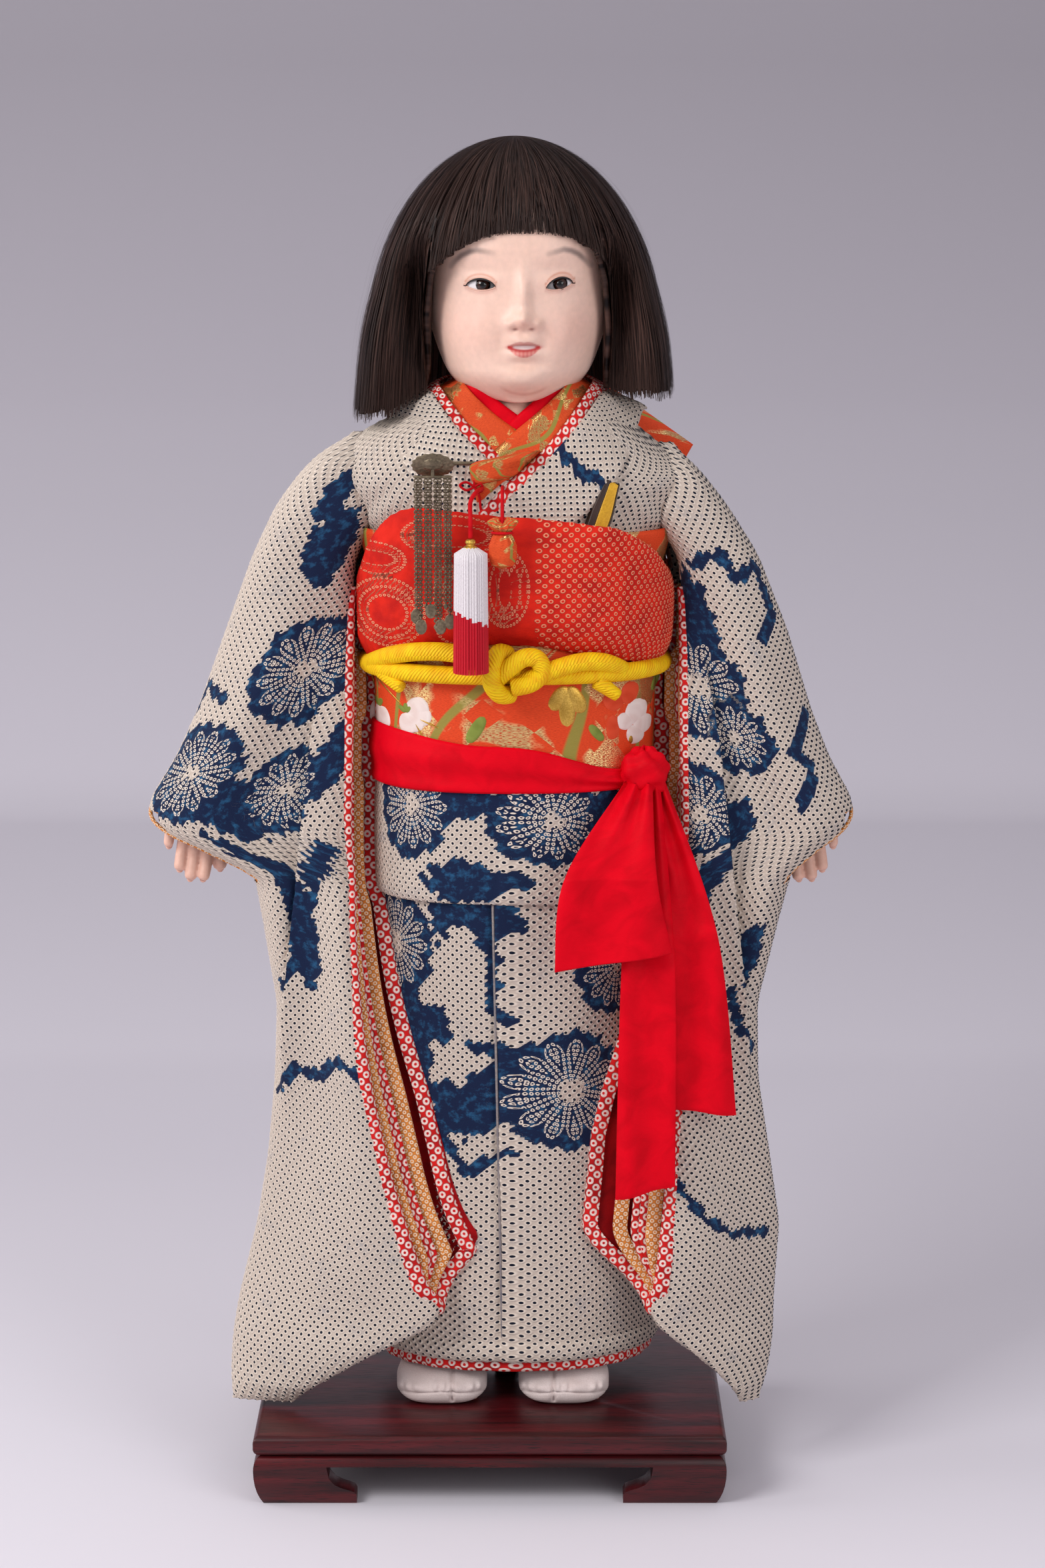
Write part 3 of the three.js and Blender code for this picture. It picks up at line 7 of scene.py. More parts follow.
import json
import logging
import math
from dataclasses import dataclass, field
from enum import Enum
from functools import partial
from typing import Callable, Optional, Sequence

import bpy
import numpy as np
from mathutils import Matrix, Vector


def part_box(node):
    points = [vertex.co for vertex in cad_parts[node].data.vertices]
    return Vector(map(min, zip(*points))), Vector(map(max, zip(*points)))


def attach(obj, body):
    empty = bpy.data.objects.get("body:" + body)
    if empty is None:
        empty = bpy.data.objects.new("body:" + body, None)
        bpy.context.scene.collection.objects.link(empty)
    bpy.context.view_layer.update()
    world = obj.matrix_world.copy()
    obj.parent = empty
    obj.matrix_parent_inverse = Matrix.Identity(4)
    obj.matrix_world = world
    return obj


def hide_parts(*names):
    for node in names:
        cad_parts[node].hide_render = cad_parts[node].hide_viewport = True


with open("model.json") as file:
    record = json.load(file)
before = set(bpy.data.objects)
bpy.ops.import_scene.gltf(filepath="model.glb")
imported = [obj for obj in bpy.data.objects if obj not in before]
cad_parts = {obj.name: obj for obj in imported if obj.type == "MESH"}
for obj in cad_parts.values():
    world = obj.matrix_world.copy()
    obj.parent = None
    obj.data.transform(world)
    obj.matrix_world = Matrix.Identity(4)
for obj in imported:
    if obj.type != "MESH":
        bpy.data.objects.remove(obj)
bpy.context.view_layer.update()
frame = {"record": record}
LOG = logging.getLogger("doll")
MM = 0.001
TURN = 2 * math.pi

SKIRT_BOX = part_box("kimono_skirt")
SOLE = np.array(
    [
        (SKIRT_BOX[0][0] + SKIRT_BOX[1][0]) / 2,
        (SKIRT_BOX[0][1] + SKIRT_BOX[1][1]) / 2,
        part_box("stand_top")[1][2] + 0.3 * MM,
    ]
)

Array = np.ndarray
Place = Callable[[Array, Array], Array]
Socket = bpy.types.NodeSocket
Piece = bpy.types.Object
Adder = Callable[..., Socket]
Surface = dict[str, object]

# The dressed body: height, half width and half depth of its superellipse
FORM = np.array(
    [
        [32, 93, 70],
        [175, 87, 66],
        [350, 88, 66],
        [428, 85, 62],
        [540, 88, 62],
        [575, 98, 60],
        [605, 118, 54],
        [630, 99, 45],
        [650, 54, 42],
    ]
)
FORM_POWER = 2.4
KANOKO = 5.6  # from one tied dot to the next in a row
OBI_OUT = 4.6  # how far the obi stands off the body's line
HANG_Y = -96.7  # how far in front of the doll's axis the small things hang


class Body(str, Enum):
    """The moving bodies that pieces ride on."""

    STAND = "stand"
    DOLL = "doll"
    HEAD = "head"
    LEFT_ARM = "left_arm"
    RIGHT_ARM = "right_arm"
    LEFT_HAND = "left_hand"
    RIGHT_HAND = "right_hand"
    PIN = "kanzashi"
    TASSEL = "tassel"
    POUCH = "pouch"
    FAN = "fan"


# Which inputs and output of the mixing node carry colours, and which carry plain numbers
COLOURS = {"data_type": "RGBA", "slots": (0, 6, 7), "out": 2}
NUMBERS = {"data_type": "FLOAT", "slots": (0, 2, 3)}
EASED = {"interpolation_type": "SMOOTHSTEP"}
HALF_CELL = (0.5, 0.5, 0.0)


def linear(code: str) -> tuple[float, float, float, float]:
    """Turns an sRGB hex colour into linear light.

    Args:
        code: The colour as "#rrggbb".

    Returns:
        Red, green, blue and full alpha.
    """
    parts = [int(code[i : i + 2], 16) / 255 for i in (1, 3, 5)]
    light = [p / 12.92 if p <= 0.04045 else ((p + 0.055) / 1.055) ** 2.4 for p in parts]
    return (light[0], light[1], light[2], 1.0)


def feed(node: bpy.types.Node, inputs: dict) -> None:
    """Sets or links a node's inputs.

    Args:
        node: The node.
        inputs: Input index or name to a value or to another node's output.
    """
    for key, value in inputs.items():
        if isinstance(value, Socket):
            node.id_data.links.new(value, node.inputs[key])
        else:
            node.inputs[key].default_value = value


def put(
    tree: bpy.types.NodeTree,
    kind: str,
    *values: object,
    out: int = 0,
    slots: Sequence[int] = range(9),
    **more: object,
) -> Socket:
    """Adds one shader node.

    Args:
        tree: The material's node tree.
        kind: The node's type without its prefix.
        *values: Values or other nodes' outputs for its first inputs.
        out: Which output is wanted.
        slots: Which inputs count as the first ones.
        **more: Inputs by name, which are capitalised, and the node's own settings, which aren't.

    Returns:
        The wanted output.
    """
    node = tree.nodes.new("ShaderNode" + kind)
    for key in [key for key in more if key.islower()]:
        setattr(node, key, more.pop(key))
    feed(node, dict(zip(slots, values)) | more)
    return node.outputs[out]


@dataclass(frozen=True)
class Finish:
    """A surface finish. Each kind draws its own nodes."""

    name: str

    def material(self) -> bpy.types.Material:
        """Returns the finish's material, which is made once."""
        found = bpy.data.materials.get(self.name)
        if found:
            return found
        made = bpy.data.materials.new(self.name)
        made.use_nodes = True
        tree = made.node_tree
        feed(tree.nodes["Principled BSDF"], self.dress(partial(put, tree)))
        return made

    def dress(self, add: Adder) -> Surface:
        """Draws the finish.

        Args:
            add: Adds a node to the material's tree.

        Returns:
            What each input of the surface's shader gets.
        """
        raise NotImplementedError

    def bump(self, add: Adder, height: Socket, deep: float) -> Socket:
        """The normal of a relief of so many millimetres."""
        return add("Bump", Height=height, Strength=1.0, Distance=deep * MM)


@dataclass(frozen=True)
class Plain(Finish):
    """A dyed or painted surface with a fine grain, seen as soft mottling and slight changes of gloss."""

    colour: str
    shade: str
    grain: float = 1.2
    rough: float = 0.6
    deep: float = 0.05
    metal: float = 0.0
    sheen: float = 0.0

    def dress(self, add: Adder) -> Surface:
        """Draws mottled colour, uneven gloss and a fine relief."""
        at = add("TexCoord", out=3)
        broad = add("TexNoise", Vector=at, Scale=60.0, Detail=4.0)
        fine = add("TexNoise", Vector=at, Scale=1000 / self.grain, Detail=2.0)
        both = add("Math", broad, fine, 0.0, operation="MULTIPLY_ADD")
        both = add("MapRange", both, 0.1, 0.42)
        return {
            "Base Color": add("Mix", both, linear(self.shade), linear(self.colour), **COLOURS),
            "Roughness": add("MapRange", broad, 0.3, 0.7, self.rough - 0.06, self.rough + 0.06),
            "Metallic": self.metal,
            "Sheen Weight": self.sheen,
            "Normal": self.bump(add, fine, self.deep),
        }


@dataclass(frozen=True)
class Paper(Finish):
    """Matt studio paper that is palest on the floor and clear from behind, with painted shade that darkens it
    up the wall where less light falls.
    """

    tones: tuple[str, ...] = ("#e1dce3", "#d1ccd4", "#c3bec6", "#9f9aa1")
    heights: tuple[float, ...] = (0.02, 0.2, 0.55, 1.15)
    early: float = 0.06

    def dress(self, add: Adder) -> Surface:
        """Draws painted shade that deepens slowly from the front of the floor to the top of the wall."""
        at = add("TexCoord", out=3)
        rise = add("VectorMath", at, (0.0, 0.2, 0.8), out=1, operation="DOT_PRODUCT")
        # Each later tone is darker: painted shade where less light reaches the paper.
        tone = linear(self.tones[0])
        for low, high, code in zip(self.heights, self.heights[1:], self.tones[1:]):
            share = add("MapRange", rise, low - self.early, high - self.early)
            tone = add("Mix", share, tone, linear(code), **COLOURS)
        behind = add("NewGeometry", out=6)
        fibre = add("TexNoise", Vector=at, Scale=300.0, Detail=2.0)
        return {
            "Base Color": tone,
            "Alpha": add("Math", 1.0, behind, operation="SUBTRACT"),
            "Roughness": 0.95,
            "Normal": self.bump(add, fibre, 0.02),
        }


@dataclass(frozen=True)
class Rosewood(Finish):
    """Dark red rosewood under a rubbed lacquer: long fine pores, slow red streaks and a satin gloss."""

    dark: str = "#2a0508"
    light: str = "#5a1016"
    pore: str = "#160506"

    def dress(self, add: Adder) -> Surface:
        """Draws grain along x, with pores about 0.4 mm wide and 12 mm long."""
        at = add("TexCoord", out=3)
        long = add("Mapping", Vector=at, Scale=(7.0, 90.0, 90.0))
        streak = add("TexNoise", Vector=long, Scale=1.0, Detail=6.0, Distortion=0.6)
        fine = add("Mapping", Vector=at, Scale=(80.0, 2400.0, 2400.0))
        pore = add("TexNoise", Vector=fine, Scale=1.0, Detail=2.0)
        pores = add("MapRange", pore, 0.56, 0.68)
        band = add("MapRange", streak, 0.35, 0.68)
        base = add("Mix", band, linear(self.dark), linear(self.light), **COLOURS)
        return {
            "Base Color": add("Mix", pores, base, linear(self.pore), **COLOURS),
            "Roughness": add("MapRange", pore, 0.3, 0.75, 0.3, 0.46),
            "Specular IOR Level": 0.35,
            "Coat Weight": 0.08,
            "Coat Roughness": 0.22,
            "Normal": self.bump(add, pore, 0.06),
        }


@dataclass(frozen=True)
class Tied(Finish):
    """Silk that was tied dot by dot before it was dyed."""

    def lattice(self, add: Adder, cloth: Socket, pitch: float, slow: float, loose: float) -> Socket:
        """Draws the turned lattice that the dots lie on, a little uneven as if tied by hand.

        Args:
            add: Adds a node.
            cloth: The piece's own map, in millimetres.
            pitch: From one dot to the next in a row.
            slow: The scale of the noise that moves the dots.
            loose: How far it moves them.

        Returns:
            Each place's offset from its dot, in cells.
        """
        sway = add("TexNoise", Vector=cloth, Scale=slow, Detail=1.0, out=1)
        drift = add("VectorMath", sway, (loose, loose, 0.0), operation="MULTIPLY")
        hand = add("VectorMath", cloth, drift, operation="ADD")
        side = math.sqrt(2) / pitch
        cells = add("Mapping", Vector=hand, Rotation=(0, 0, -math.pi / 4), Scale=(side, side, 0.0))
        cells = add("VectorMath", cells, HALF_CELL, operation="ADD")
        cells = add("VectorMath", cells, operation="FRACTION")
        return add("VectorMath", cells, HALF_CELL, operation="SUBTRACT")

    def row(self, add: Adder, along: Socket, bead: float) -> Socket:
        """Millimetres from the middle of the nearest ring in a row of rings."""
        along = add("Math", along, 1.0 / bead, operation="MULTIPLY")
        along = add("Math", along, operation="FRACT")
        return add("Math", along, bead, -bead / 2, operation="MULTIPLY_ADD")

    def rings(self, add: Adder, far: Socket, rim: Sequence[float], eye: Sequence[float]) -> Socket:
        """Rings between an outer rim and an inner eye, from the distance to their middles."""
        disc = add("MapRange", far, *rim, 1.0, 0.0, **EASED)
        hole = add("MapRange", far, *eye, **EASED)
        return add("Math", disc, hole, operation="MULTIPLY")


@dataclass(frozen=True)
class KimonoKanoko(Tied):
    """Crepe silk tied dot by dot and dipped in indigo: cream puckers with a blue eye, and flat navy fields
    where rows of small tied rings draw the petals."""

    cream: str = "#e3d4c5"
    valley: str = "#c4b4a6"
    eye: str = "#0e1526"
    fleck: str = "#56708c"
    navy: str = "#0d1d3d"
    teal: str = "#23587f"
    petals: int = 13
    bead: float = 2.8
    nest: float = 3.5

    def dress(self, add: Adder) -> Surface:
        """Draws dots on the lattice of the cloth's own map, in millimetres, and the dyed fields over them."""
        cloth = add("UVMap")
        crepe = add("TexNoise", Vector=cloth, Scale=1.1, Detail=3.0)
        ground, crest = self.undyed(add, cloth)
        ring = self.stitches(add, cloth)
        uneven = add("TexNoise", Vector=cloth, Scale=0.16, Detail=5.0, Roughness=0.65)
        uneven = add("MapRange", uneven, 0.5, 0.7)
        indigo = add("Mix", uneven, linear(self.navy), linear(self.teal), **COLOURS)
        indigo = add("Mix", ring, indigo, linear(self.cream), **COLOURS)
        dye = add("Attribute", out=2, attribute_name="dye")
        ragged = add("Math", crepe, 0.5, -0.25, operation="MULTIPLY_ADD")
        dye = add("Math", dye, ragged, operation="ADD")
        dyed = add("MapRange", dye, 0.42, 0.58)
        raised = add("Mix", dyed, crest, ring, **NUMBERS)
        height = add("Math", crepe, 0.55, raised, operation="MULTIPLY_ADD")
        return {
            "Base Color": add("Mix", dyed, ground, indigo, **COLOURS),
            "Roughness": 0.82,
            "Sheen Weight": 0.05,
            "Specular IOR Level": 0.2,
            "Normal": self.bump(add, height, 0.5),
        }

    def undyed(self, add: Adder, cloth: Socket) -> tuple[Socket, Socket]:
        """The colour of the cream ground with its blue eyes and flecks, darker between the puckers as painted
        shade, and the height of its puckers.
        """
        rest = self.lattice(add, cloth, KANOKO, 0.11, 1.4)
        eye_at = add("VectorMath", rest, (0.02, 0.1, 0.0), operation="SUBTRACT")
        near = add("VectorMath", eye_at, out=1, operation="LENGTH")
        middle = add("VectorMath", rest, out=1, operation="LENGTH")
        eye = add("MapRange", near, 0.19, 0.27, 1.0, 0.0, **EASED)
        crest = add("MapRange", middle, 0.22, 0.56, 1.0, 0.0, **EASED)
        # The cream darkens towards the hollows between the puckers: painted shade.
        ground = add("Mix", crest, linear(self.valley), linear(self.cream), **COLOURS)
        stray = add("TexNoise", Vector=cloth, Scale=0.05, Detail=5.0, Roughness=0.7)
        fleck = add("MapRange", stray, 0.56, 0.75, 0.0, 0.55)
        low = add("Math", 1.0, crest, operation="SUBTRACT")
        fleck = add("Math", fleck, low, operation="MULTIPLY")
        ground = add("Mix", fleck, ground, linear(self.fleck), **COLOURS)
        return add("Mix", eye, ground, linear(self.eye), **COLOURS), crest

    def petal(self, add: Adder) -> tuple[Socket, Socket]:
        """How far each place lies inside its petal's outline, and how far along that outline."""
        flower = add("Attribute", out=1, attribute_name="flower")
        x, y, radius = add("SeparateXYZ", flower).node.outputs
        angle = add("Math", y, x, operation="ARCTAN2")
        share = add("Math", angle, self.petals / TURN, 20.5, operation="MULTIPLY_ADD")
        share = add("Math", share, operation="FRACT")
        share = add("Math", share, 0.5, operation="SUBTRACT")
        share = add("Math", share, operation="ABSOLUTE")
        flat = add("VectorMath", flower, (1.0, 1.0, 0.0), operation="MULTIPLY")
        far = add("VectorMath", flat, out=1, operation="LENGTH")
        edge = add("Math", 0.5, share, operation="SUBTRACT")
        edge = add("Math", edge, far, operation="MULTIPLY")
        edge = add("Math", edge, TURN / self.petals, operation="MULTIPLY")
        bow = add("Math", share, share, operation="MULTIPLY")
        bow = add("Math", bow, -1.1, 0.93, operation="MULTIPLY_ADD")
        tip = add("Math", bow, radius, operation="MULTIPLY")
        tip = add("Math", tip, far, operation="SUBTRACT")
        side_on = add("Math", edge, tip, operation="LESS_THAN")
        arc = add("Math", share, far, operation="MULTIPLY")
        arc = add("Math", arc, TURN / self.petals, operation="MULTIPLY")
        along = add("Mix", side_on, arc, far, **NUMBERS)
        return add("Math", edge, tip, operation="MINIMUM"), along

    def stitches(self, add: Adder, cloth: Socket) -> Socket:
        """Rows of tied rings that follow each petal's outline, one inside the other."""
        rim, along = self.petal(add)
        nest = add("Math", rim, self.nest, operation="MODULO")
        across = add("Math", nest, 1.5, operation="SUBTRACT")
        bead = add("CombineXYZ", self.row(add, along, self.bead), across)
        loose = add("TexNoise", Vector=cloth, Scale=0.5, Detail=1.0, out=1)
        loose = add("VectorMath", loose, HALF_CELL, operation="SUBTRACT")
        loose = add("VectorMath", loose, (1.1, 1.1, 0.0), operation="MULTIPLY")
        bead = add("VectorMath", bead, loose, operation="ADD")
        bead = add("VectorMath", bead, out=1, operation="LENGTH")
        ring = self.rings(add, bead, (0.98, 1.24), (0.3, 0.52))
        inside = add("Math", rim, 0.3, operation="GREATER_THAN")
        return add("Math", ring, inside, operation="MULTIPLY")


@dataclass(frozen=True)
class DottedKanoko(Tied):
    """Silk tied in close rings and dyed one colour: pale rings with a dyed eye on a bright ground."""

    ground: str = "#d81a18"
    ring: str = "#f2ddd2"
    deep: str = "#b01012"
    pitch: float = 8.2
    wide: float = 0.36
    bead: float = 2.7

    def dress(self, add: Adder) -> Surface:
        """Draws rings on a turned lattice of the piece's own map, in millimetres."""
        cloth = add("UVMap")
        rest = self.lattice(add, cloth, self.pitch, 0.2, 0.9)
        far = add("VectorMath", rest, out=1, operation="LENGTH")
        disc = add("MapRange", far, self.wide, self.wide + 0.1, 1.0, 0.0, **EASED)
        eye = add("MapRange", far, 0.12, 0.2, **EASED)
        ring = add("Math", disc, eye, operation="MULTIPLY")
        bare = add("Attribute", out=2, attribute_name="bare")
        tied = add("MapRange", bare, 0.35, 0.65, 1.0, 0.0)
        ring = add("Math", ring, tied, operation="MULTIPLY")
        disc = add("Math", disc, tied, operation="MULTIPLY")
        # Single rows of small rings run along the lines that the piece names
        chain = add("Attribute", out=1, attribute_name="chain")
        along, across, near = add("SeparateXYZ", chain).node.outputs
        bead = add("CombineXYZ", self.row(add, along, self.bead), across)
        bead = add("VectorMath", bead, out=1, operation="LENGTH")
        row = self.rings(add, bead, (0.9, 1.15), (0.25, 0.45))
        row = add("Math", row, near, operation="MULTIPLY")
        ring = add("Math", ring, row, operation="MAXIMUM")
        disc = add("Math", disc, row, operation="MAXIMUM")
        crepe = add("TexNoise", Vector=cloth, Scale=1.2, Detail=3.0)
        uneven = add("TexNoise", Vector=cloth, Scale=0.07, Detail=3.0)
        uneven = add("MapRange", uneven, 0.35, 0.6)
        silk = add("Mix", uneven, linear(self.deep), linear(self.ground), **COLOURS)
        strength = add("MapRange", crepe, 0.3, 0.6, 0.75, 1.0)
        tone = add("Math", ring, strength, operation="MULTIPLY")
        height = add("Math", crepe, 0.35, disc, operation="MULTIPLY_ADD")
        return {
            "Base Color": add("Mix", tone, silk, linear(self.ring), **COLOURS),
            "Roughness": 0.78,
            "Specular IOR Level": 0.2,
            "Normal": self.bump(add, height, 0.7),
        }


@dataclass(frozen=True)
class Satin(Finish):
    """Smooth silk satin or silk thread: one strong colour with painted shade in its slow creases and painted
    long soft highlights on their ridges, faint crosswise weave.
    """

    colour: str
    shade: str
    rough: float = 0.42
    thread: float = 0.6

    def dress(self, add: Adder) -> Surface:
        """Draws a fine rib across the cloth and slow creases, whose hollows are painted darker and whose
        ridges lighter, as painted shade and highlight. The rib is drawn coarse enough to show.
        """
        cloth = add("UVMap")
        fine = add("Mapping", Vector=cloth, Scale=(0.25 / self.thread, 1 / self.thread, 1.0))
        rib = add("TexNoise", Vector=fine, Scale=1.0, Detail=2.0)
        slow = add("TexNoise", Vector=cloth, Scale=0.05, Detail=3.0, Distortion=0.8)
        # The slow noise that raises the creases also sets the colour: painted shade in their hollows, painted
        # highlights on their ridges.
        tone = add("MapRange", slow, 0.3, 0.62)
        height = add("Math", slow, 2.0, rib, operation="MULTIPLY_ADD")
        return {
            "Base Color": add("Mix", tone, linear(self.shade), linear(self.colour), **COLOURS),
            "Roughness": add("MapRange", rib, 0.3, 0.7, self.rough - 0.07, self.rough + 0.1),
            "Specular IOR Level": 0.06,
            "Normal": self.bump(add, height, 0.1),
        }


@dataclass(frozen=True)
class Brocade(Finish):
    """Vermilion silk woven with gold foil in a slanted lattice: matt ribbed ground, bright broken gold."""

    ground: str = "#e5481a"
    dark: str = "#c63810"
    gold: str = "#f4d592"
    cell: float = 15.0
    leaf: str = "#8d8f3f"

    def dress(self, add: Adder) -> Surface:
        """Draws checks of foil on a turned lattice, with gold and green threads between, in millimetres."""
        cloth = add("UVMap")
        side = 1 / self.cell
        lattice = add("Mapping", Vector=cloth, Rotation=(0, 0, math.pi / 4), Scale=(side, side, 0.0))
        check = add("TexChecker", Vector=lattice, Scale=1.0, out=1)
        worn = add("TexNoise", Vector=cloth, Scale=0.4 * side, Detail=2.0, Roughness=0.4)
        patch = add("MapRange", worn, 0.5, 0.54)
        solid = add("MapRange", worn, 0.58, 0.61)
        foil = add("Math", check, patch, operation="MULTIPLY")
        metal = add("Math", foil, solid, operation="MAXIMUM")
        rib_at = add("Mapping", Vector=cloth, Scale=(0.6, 2.6, 1.0))
        rib = add("TexNoise", Vector=rib_at, Scale=1.0, Detail=2.0)
        broken = add("MapRange", rib, 0.4, 0.5)
        metal = add("Math", metal, broken, operation="MULTIPLY")
        tone = add("MapRange", rib, 0.25, 0.6)
        silk = add("Mix", tone, linear(self.dark), linear(self.ground), **COLOURS)
        swirl = add("TexWave", Vector=cloth, Scale=0.11 * side, Distortion=9.0, Detail=0.0, out=1)
        green = add("MapRange", swirl, 0.95, 0.98, 0.0, 0.9)
        silk = add("Mix", green, silk, linear(self.leaf), **COLOURS)
        height = add("Math", metal, 0.6, rib, operation="MULTIPLY_ADD")
        return {
            "Base Color": add("Mix", metal, silk, linear(self.gold), **COLOURS),
            "Metallic": metal,
            "Roughness": add("MapRange", metal, 0.0, 1.0, 0.72, 0.28),
            "Specular IOR Level": 0.3,
            "Normal": self.bump(add, height, 0.25),
        }


@dataclass(frozen=True)
class Painted(Finish):
    """A painted and polished skin or glass: colours brushed on point by point, a fine gloss, hair cracks."""

    rough: float = 0.42
    coat: float = 0.0
    crack: float = 0.0
    flesh: float = 0.0
    shine: float = 0.5

    def dress(self, add: Adder) -> Surface:
        """Draws the brushed colour with faint mottling and fine cracks about 5 mm apart."""
        paint = add("Attribute", out=1, attribute_name="paint")
        at = add("TexCoord", out=3)
        mottle = add("TexNoise", Vector=at, Scale=260.0, Detail=3.0)
        faint = add("MapRange", mottle, 0.3, 0.7, 0.95, 1.03)
        tinted = add("VectorMath", paint, Scale=faint, operation="SCALE")
        bent = add("VectorMath", at, add("TexNoise", Vector=at, Scale=90.0, out=1))
        line = add("TexVoronoi", Vector=bent, Scale=170.0, feature="DISTANCE_TO_EDGE")
        line = add("MapRange", line, 0.0, 0.03, 1 - self.crack, 1.0)
        return {
            "Base Color": add("VectorMath", tinted, Scale=line, operation="SCALE"),
            "Roughness": add("MapRange", mottle, 0.3, 0.7, self.rough - 0.04, self.rough + 0.05),
            "Specular IOR Level": self.shine,
            "Coat Weight": self.coat,
            "Coat Roughness": 0.03,
            "Subsurface Weight": self.flesh,
            "Subsurface Radius": (0.004, 0.0018, 0.001),
            "Subsurface Scale": 0.6,
            "Normal": self.bump(add, mottle, 0.02),
        }


@dataclass(frozen=True)
class HumanHair(Finish):
    """Straight dark hair: long highlights that break into single hairs, and a brown glint."""

    dark: str = "#100807"
    glint: str = "#64483f"

    def dress(self, add: Adder) -> Surface:
        """Draws hairs along v, about 0.7 mm apart so that they show."""
        cloth = add("UVMap")
        long = add("Mapping", Vector=cloth, Scale=(1.4, 0.012, 1.0))
        hair = add("TexNoise", Vector=long, Scale=1.0, Detail=4.0, Roughness=0.6)
        tone = add("MapRange", hair, 0.43, 0.72)
        return {
            "Base Color": add("Mix", tone, linear(self.dark), linear(self.glint), **COLOURS),
            "Roughness": add("MapRange", hair, 0.3, 0.7, 0.3, 0.5),
            "Specular IOR Level": 0.15,
            "Normal": self.bump(add, hair, 0.5),
        }


@dataclass(frozen=True)
class PaddedCord(Finish):
    """A silk tube stuffed with cotton: warm yellow twill whose lines run slantwise, soft creases."""

    colour: str = "#ffd40c"
    shade: str = "#f5ae06"
    rib: float = 2.2

    def dress(self, add: Adder) -> Surface:
        """Draws slanted ribs on the cord's own map, in millimetres, and creases across it."""
        cloth = add("UVMap")
        u, v = add("SeparateXYZ", cloth).node.outputs[:2]
        slant = add("Math", u, 0.7, v, operation="MULTIPLY_ADD")
        turn = add("Math", slant, TURN / self.rib, operation="MULTIPLY")
        rib = add("Math", turn, operation="SINE")
        fold = add("Mapping", Vector=cloth, Scale=(0.05, 0.16, 1.0))
        crease = add("TexNoise", Vector=fold, Scale=1.0, Detail=3.0)
        lit = add("Math", rib, 0.1, crease, operation="MULTIPLY_ADD")
        tone = add("MapRange", lit, 0.25, 0.62)
        height = add("Math", crease, 3.0, rib, operation="MULTIPLY_ADD")
        return {
            "Base Color": add("Mix", tone, linear(self.shade), linear(self.colour), **COLOURS),
            "Roughness": 0.62,
            "Specular IOR Level": 0.25,
            "Normal": self.bump(add, height, 0.25),
        }


@dataclass(frozen=True)
class DippedThread(Finish):
    """Silk thread of a tassel, white above and dipped crimson below, with a step from strand to strand."""

    white: str = "#ece4e6"
    red: str = "#c80722"

    def dress(self, add: Adder) -> Surface:
        """Draws the dip from the strand's own map: u is the strand, v the share of its length."""
        cloth = add("UVMap")
        dip = add("Attribute", out=2, attribute_name="dip")
        over = add("Math", add("SeparateXYZ", cloth, out=1), dip, operation="GREATER_THAN")
        twist = add("Mapping", Vector=cloth, Scale=(3.0, 60.0, 1.0))
        ply = add("TexNoise", Vector=twist, Scale=1.0, Detail=2.0)
        shade = add("MapRange", ply, 0.3, 0.7, 0.75, 1.05)
        base = add("Mix", over, linear(self.red), linear(self.white), **COLOURS)
        return {
            "Base Color": add("VectorMath", base, Scale=shade, operation="SCALE"),
            "Roughness": 0.5,
            "Specular IOR Level": 0.3,
            "Normal": self.bump(add, ply, 0.1),
        }


def soft(at: Array, knots: Sequence[float], values: Sequence[float], reach: float) -> Array:
    """Interpolates through knots and rounds the corners off.

    Args:
        at: Where the values are wanted.
        knots: Rising places of the known values.
        values: The known values.
        reach: How far to each side the corners are rounded.

    Returns:
        The values at those places.
    """
    steps = np.linspace(-reach, reach, 7)
    return sum(np.interp(at + step, knots, values) for step in steps) / len(steps)


def smooth(value: Array, low: float, high: float) -> Array:
    """Rises smoothly from 0 at low to 1 at high."""
    share = np.clip((value - low) / (high - low), 0, 1)
    return share * share * (3 - 2 * share)


def power(value: Array, exponent: float) -> Array:
    """Raises to a power and keeps the sign."""
    return np.sign(value) * np.abs(value) ** exponent


def form(angle: Array, z: Array, offset: Array | float) -> Array:
    """Points on the dressed body, let out by an offset.

    Args:
        angle: Radians from the viewer's right, so that the front is at -90 degrees.
        z: Heights.
        offset: How far outside the body's line.

    Returns:
        The points, in millimetres.
    """
    wide = soft(z, FORM[:, 0], FORM[:, 1], 7) + offset
    deep = soft(z, FORM[:, 0], FORM[:, 2], 7) + offset
    x = wide * power(np.cos(angle), 2 / FORM_POWER)
    y = deep * power(np.sin(angle), 2 / FORM_POWER)
    return np.stack([x, y, z + 0 * x], -1)


def front_of(x: Array, z: Array, offset: Array | float) -> Array:
    """How far in front of the axis the dressed body stands at a place seen from the front."""
    wide = soft(np.asarray(z, float), FORM[:, 0], FORM[:, 1], 7) + offset
    deep = soft(np.asarray(z, float), FORM[:, 0], FORM[:, 2], 7) + offset
    share = np.minimum(0.999, np.abs(x) / wide)
    return -deep * (1 - share**FORM_POWER) ** (1 / FORM_POWER)


def through(points: Sequence[Sequence[float]], t: Array) -> Array:
    """A smooth line through points.

    Args:
        points: The points that it passes.
        t: Shares of the way along, from 0 to 1.

    Returns:
        The places at those shares.
    """
    knots = np.array(points, float)
    last = len(knots) - 1
    at = np.clip(np.asarray(t, float), 0, 1) * last
    low = np.minimum(at.astype(int), last - 1)
    f = (at - low)[..., None]
    a, b = knots[np.maximum(low - 1, 0)], knots[low]
    c, d = knots[low + 1], knots[np.minimum(low + 2, last)]
    bend = 2 * a - 5 * b + 4 * c - d
    return 0.5 * (2 * b + (c - a) * f + bend * f**2 + (3 * b - a - 3 * c + d) * f**3)


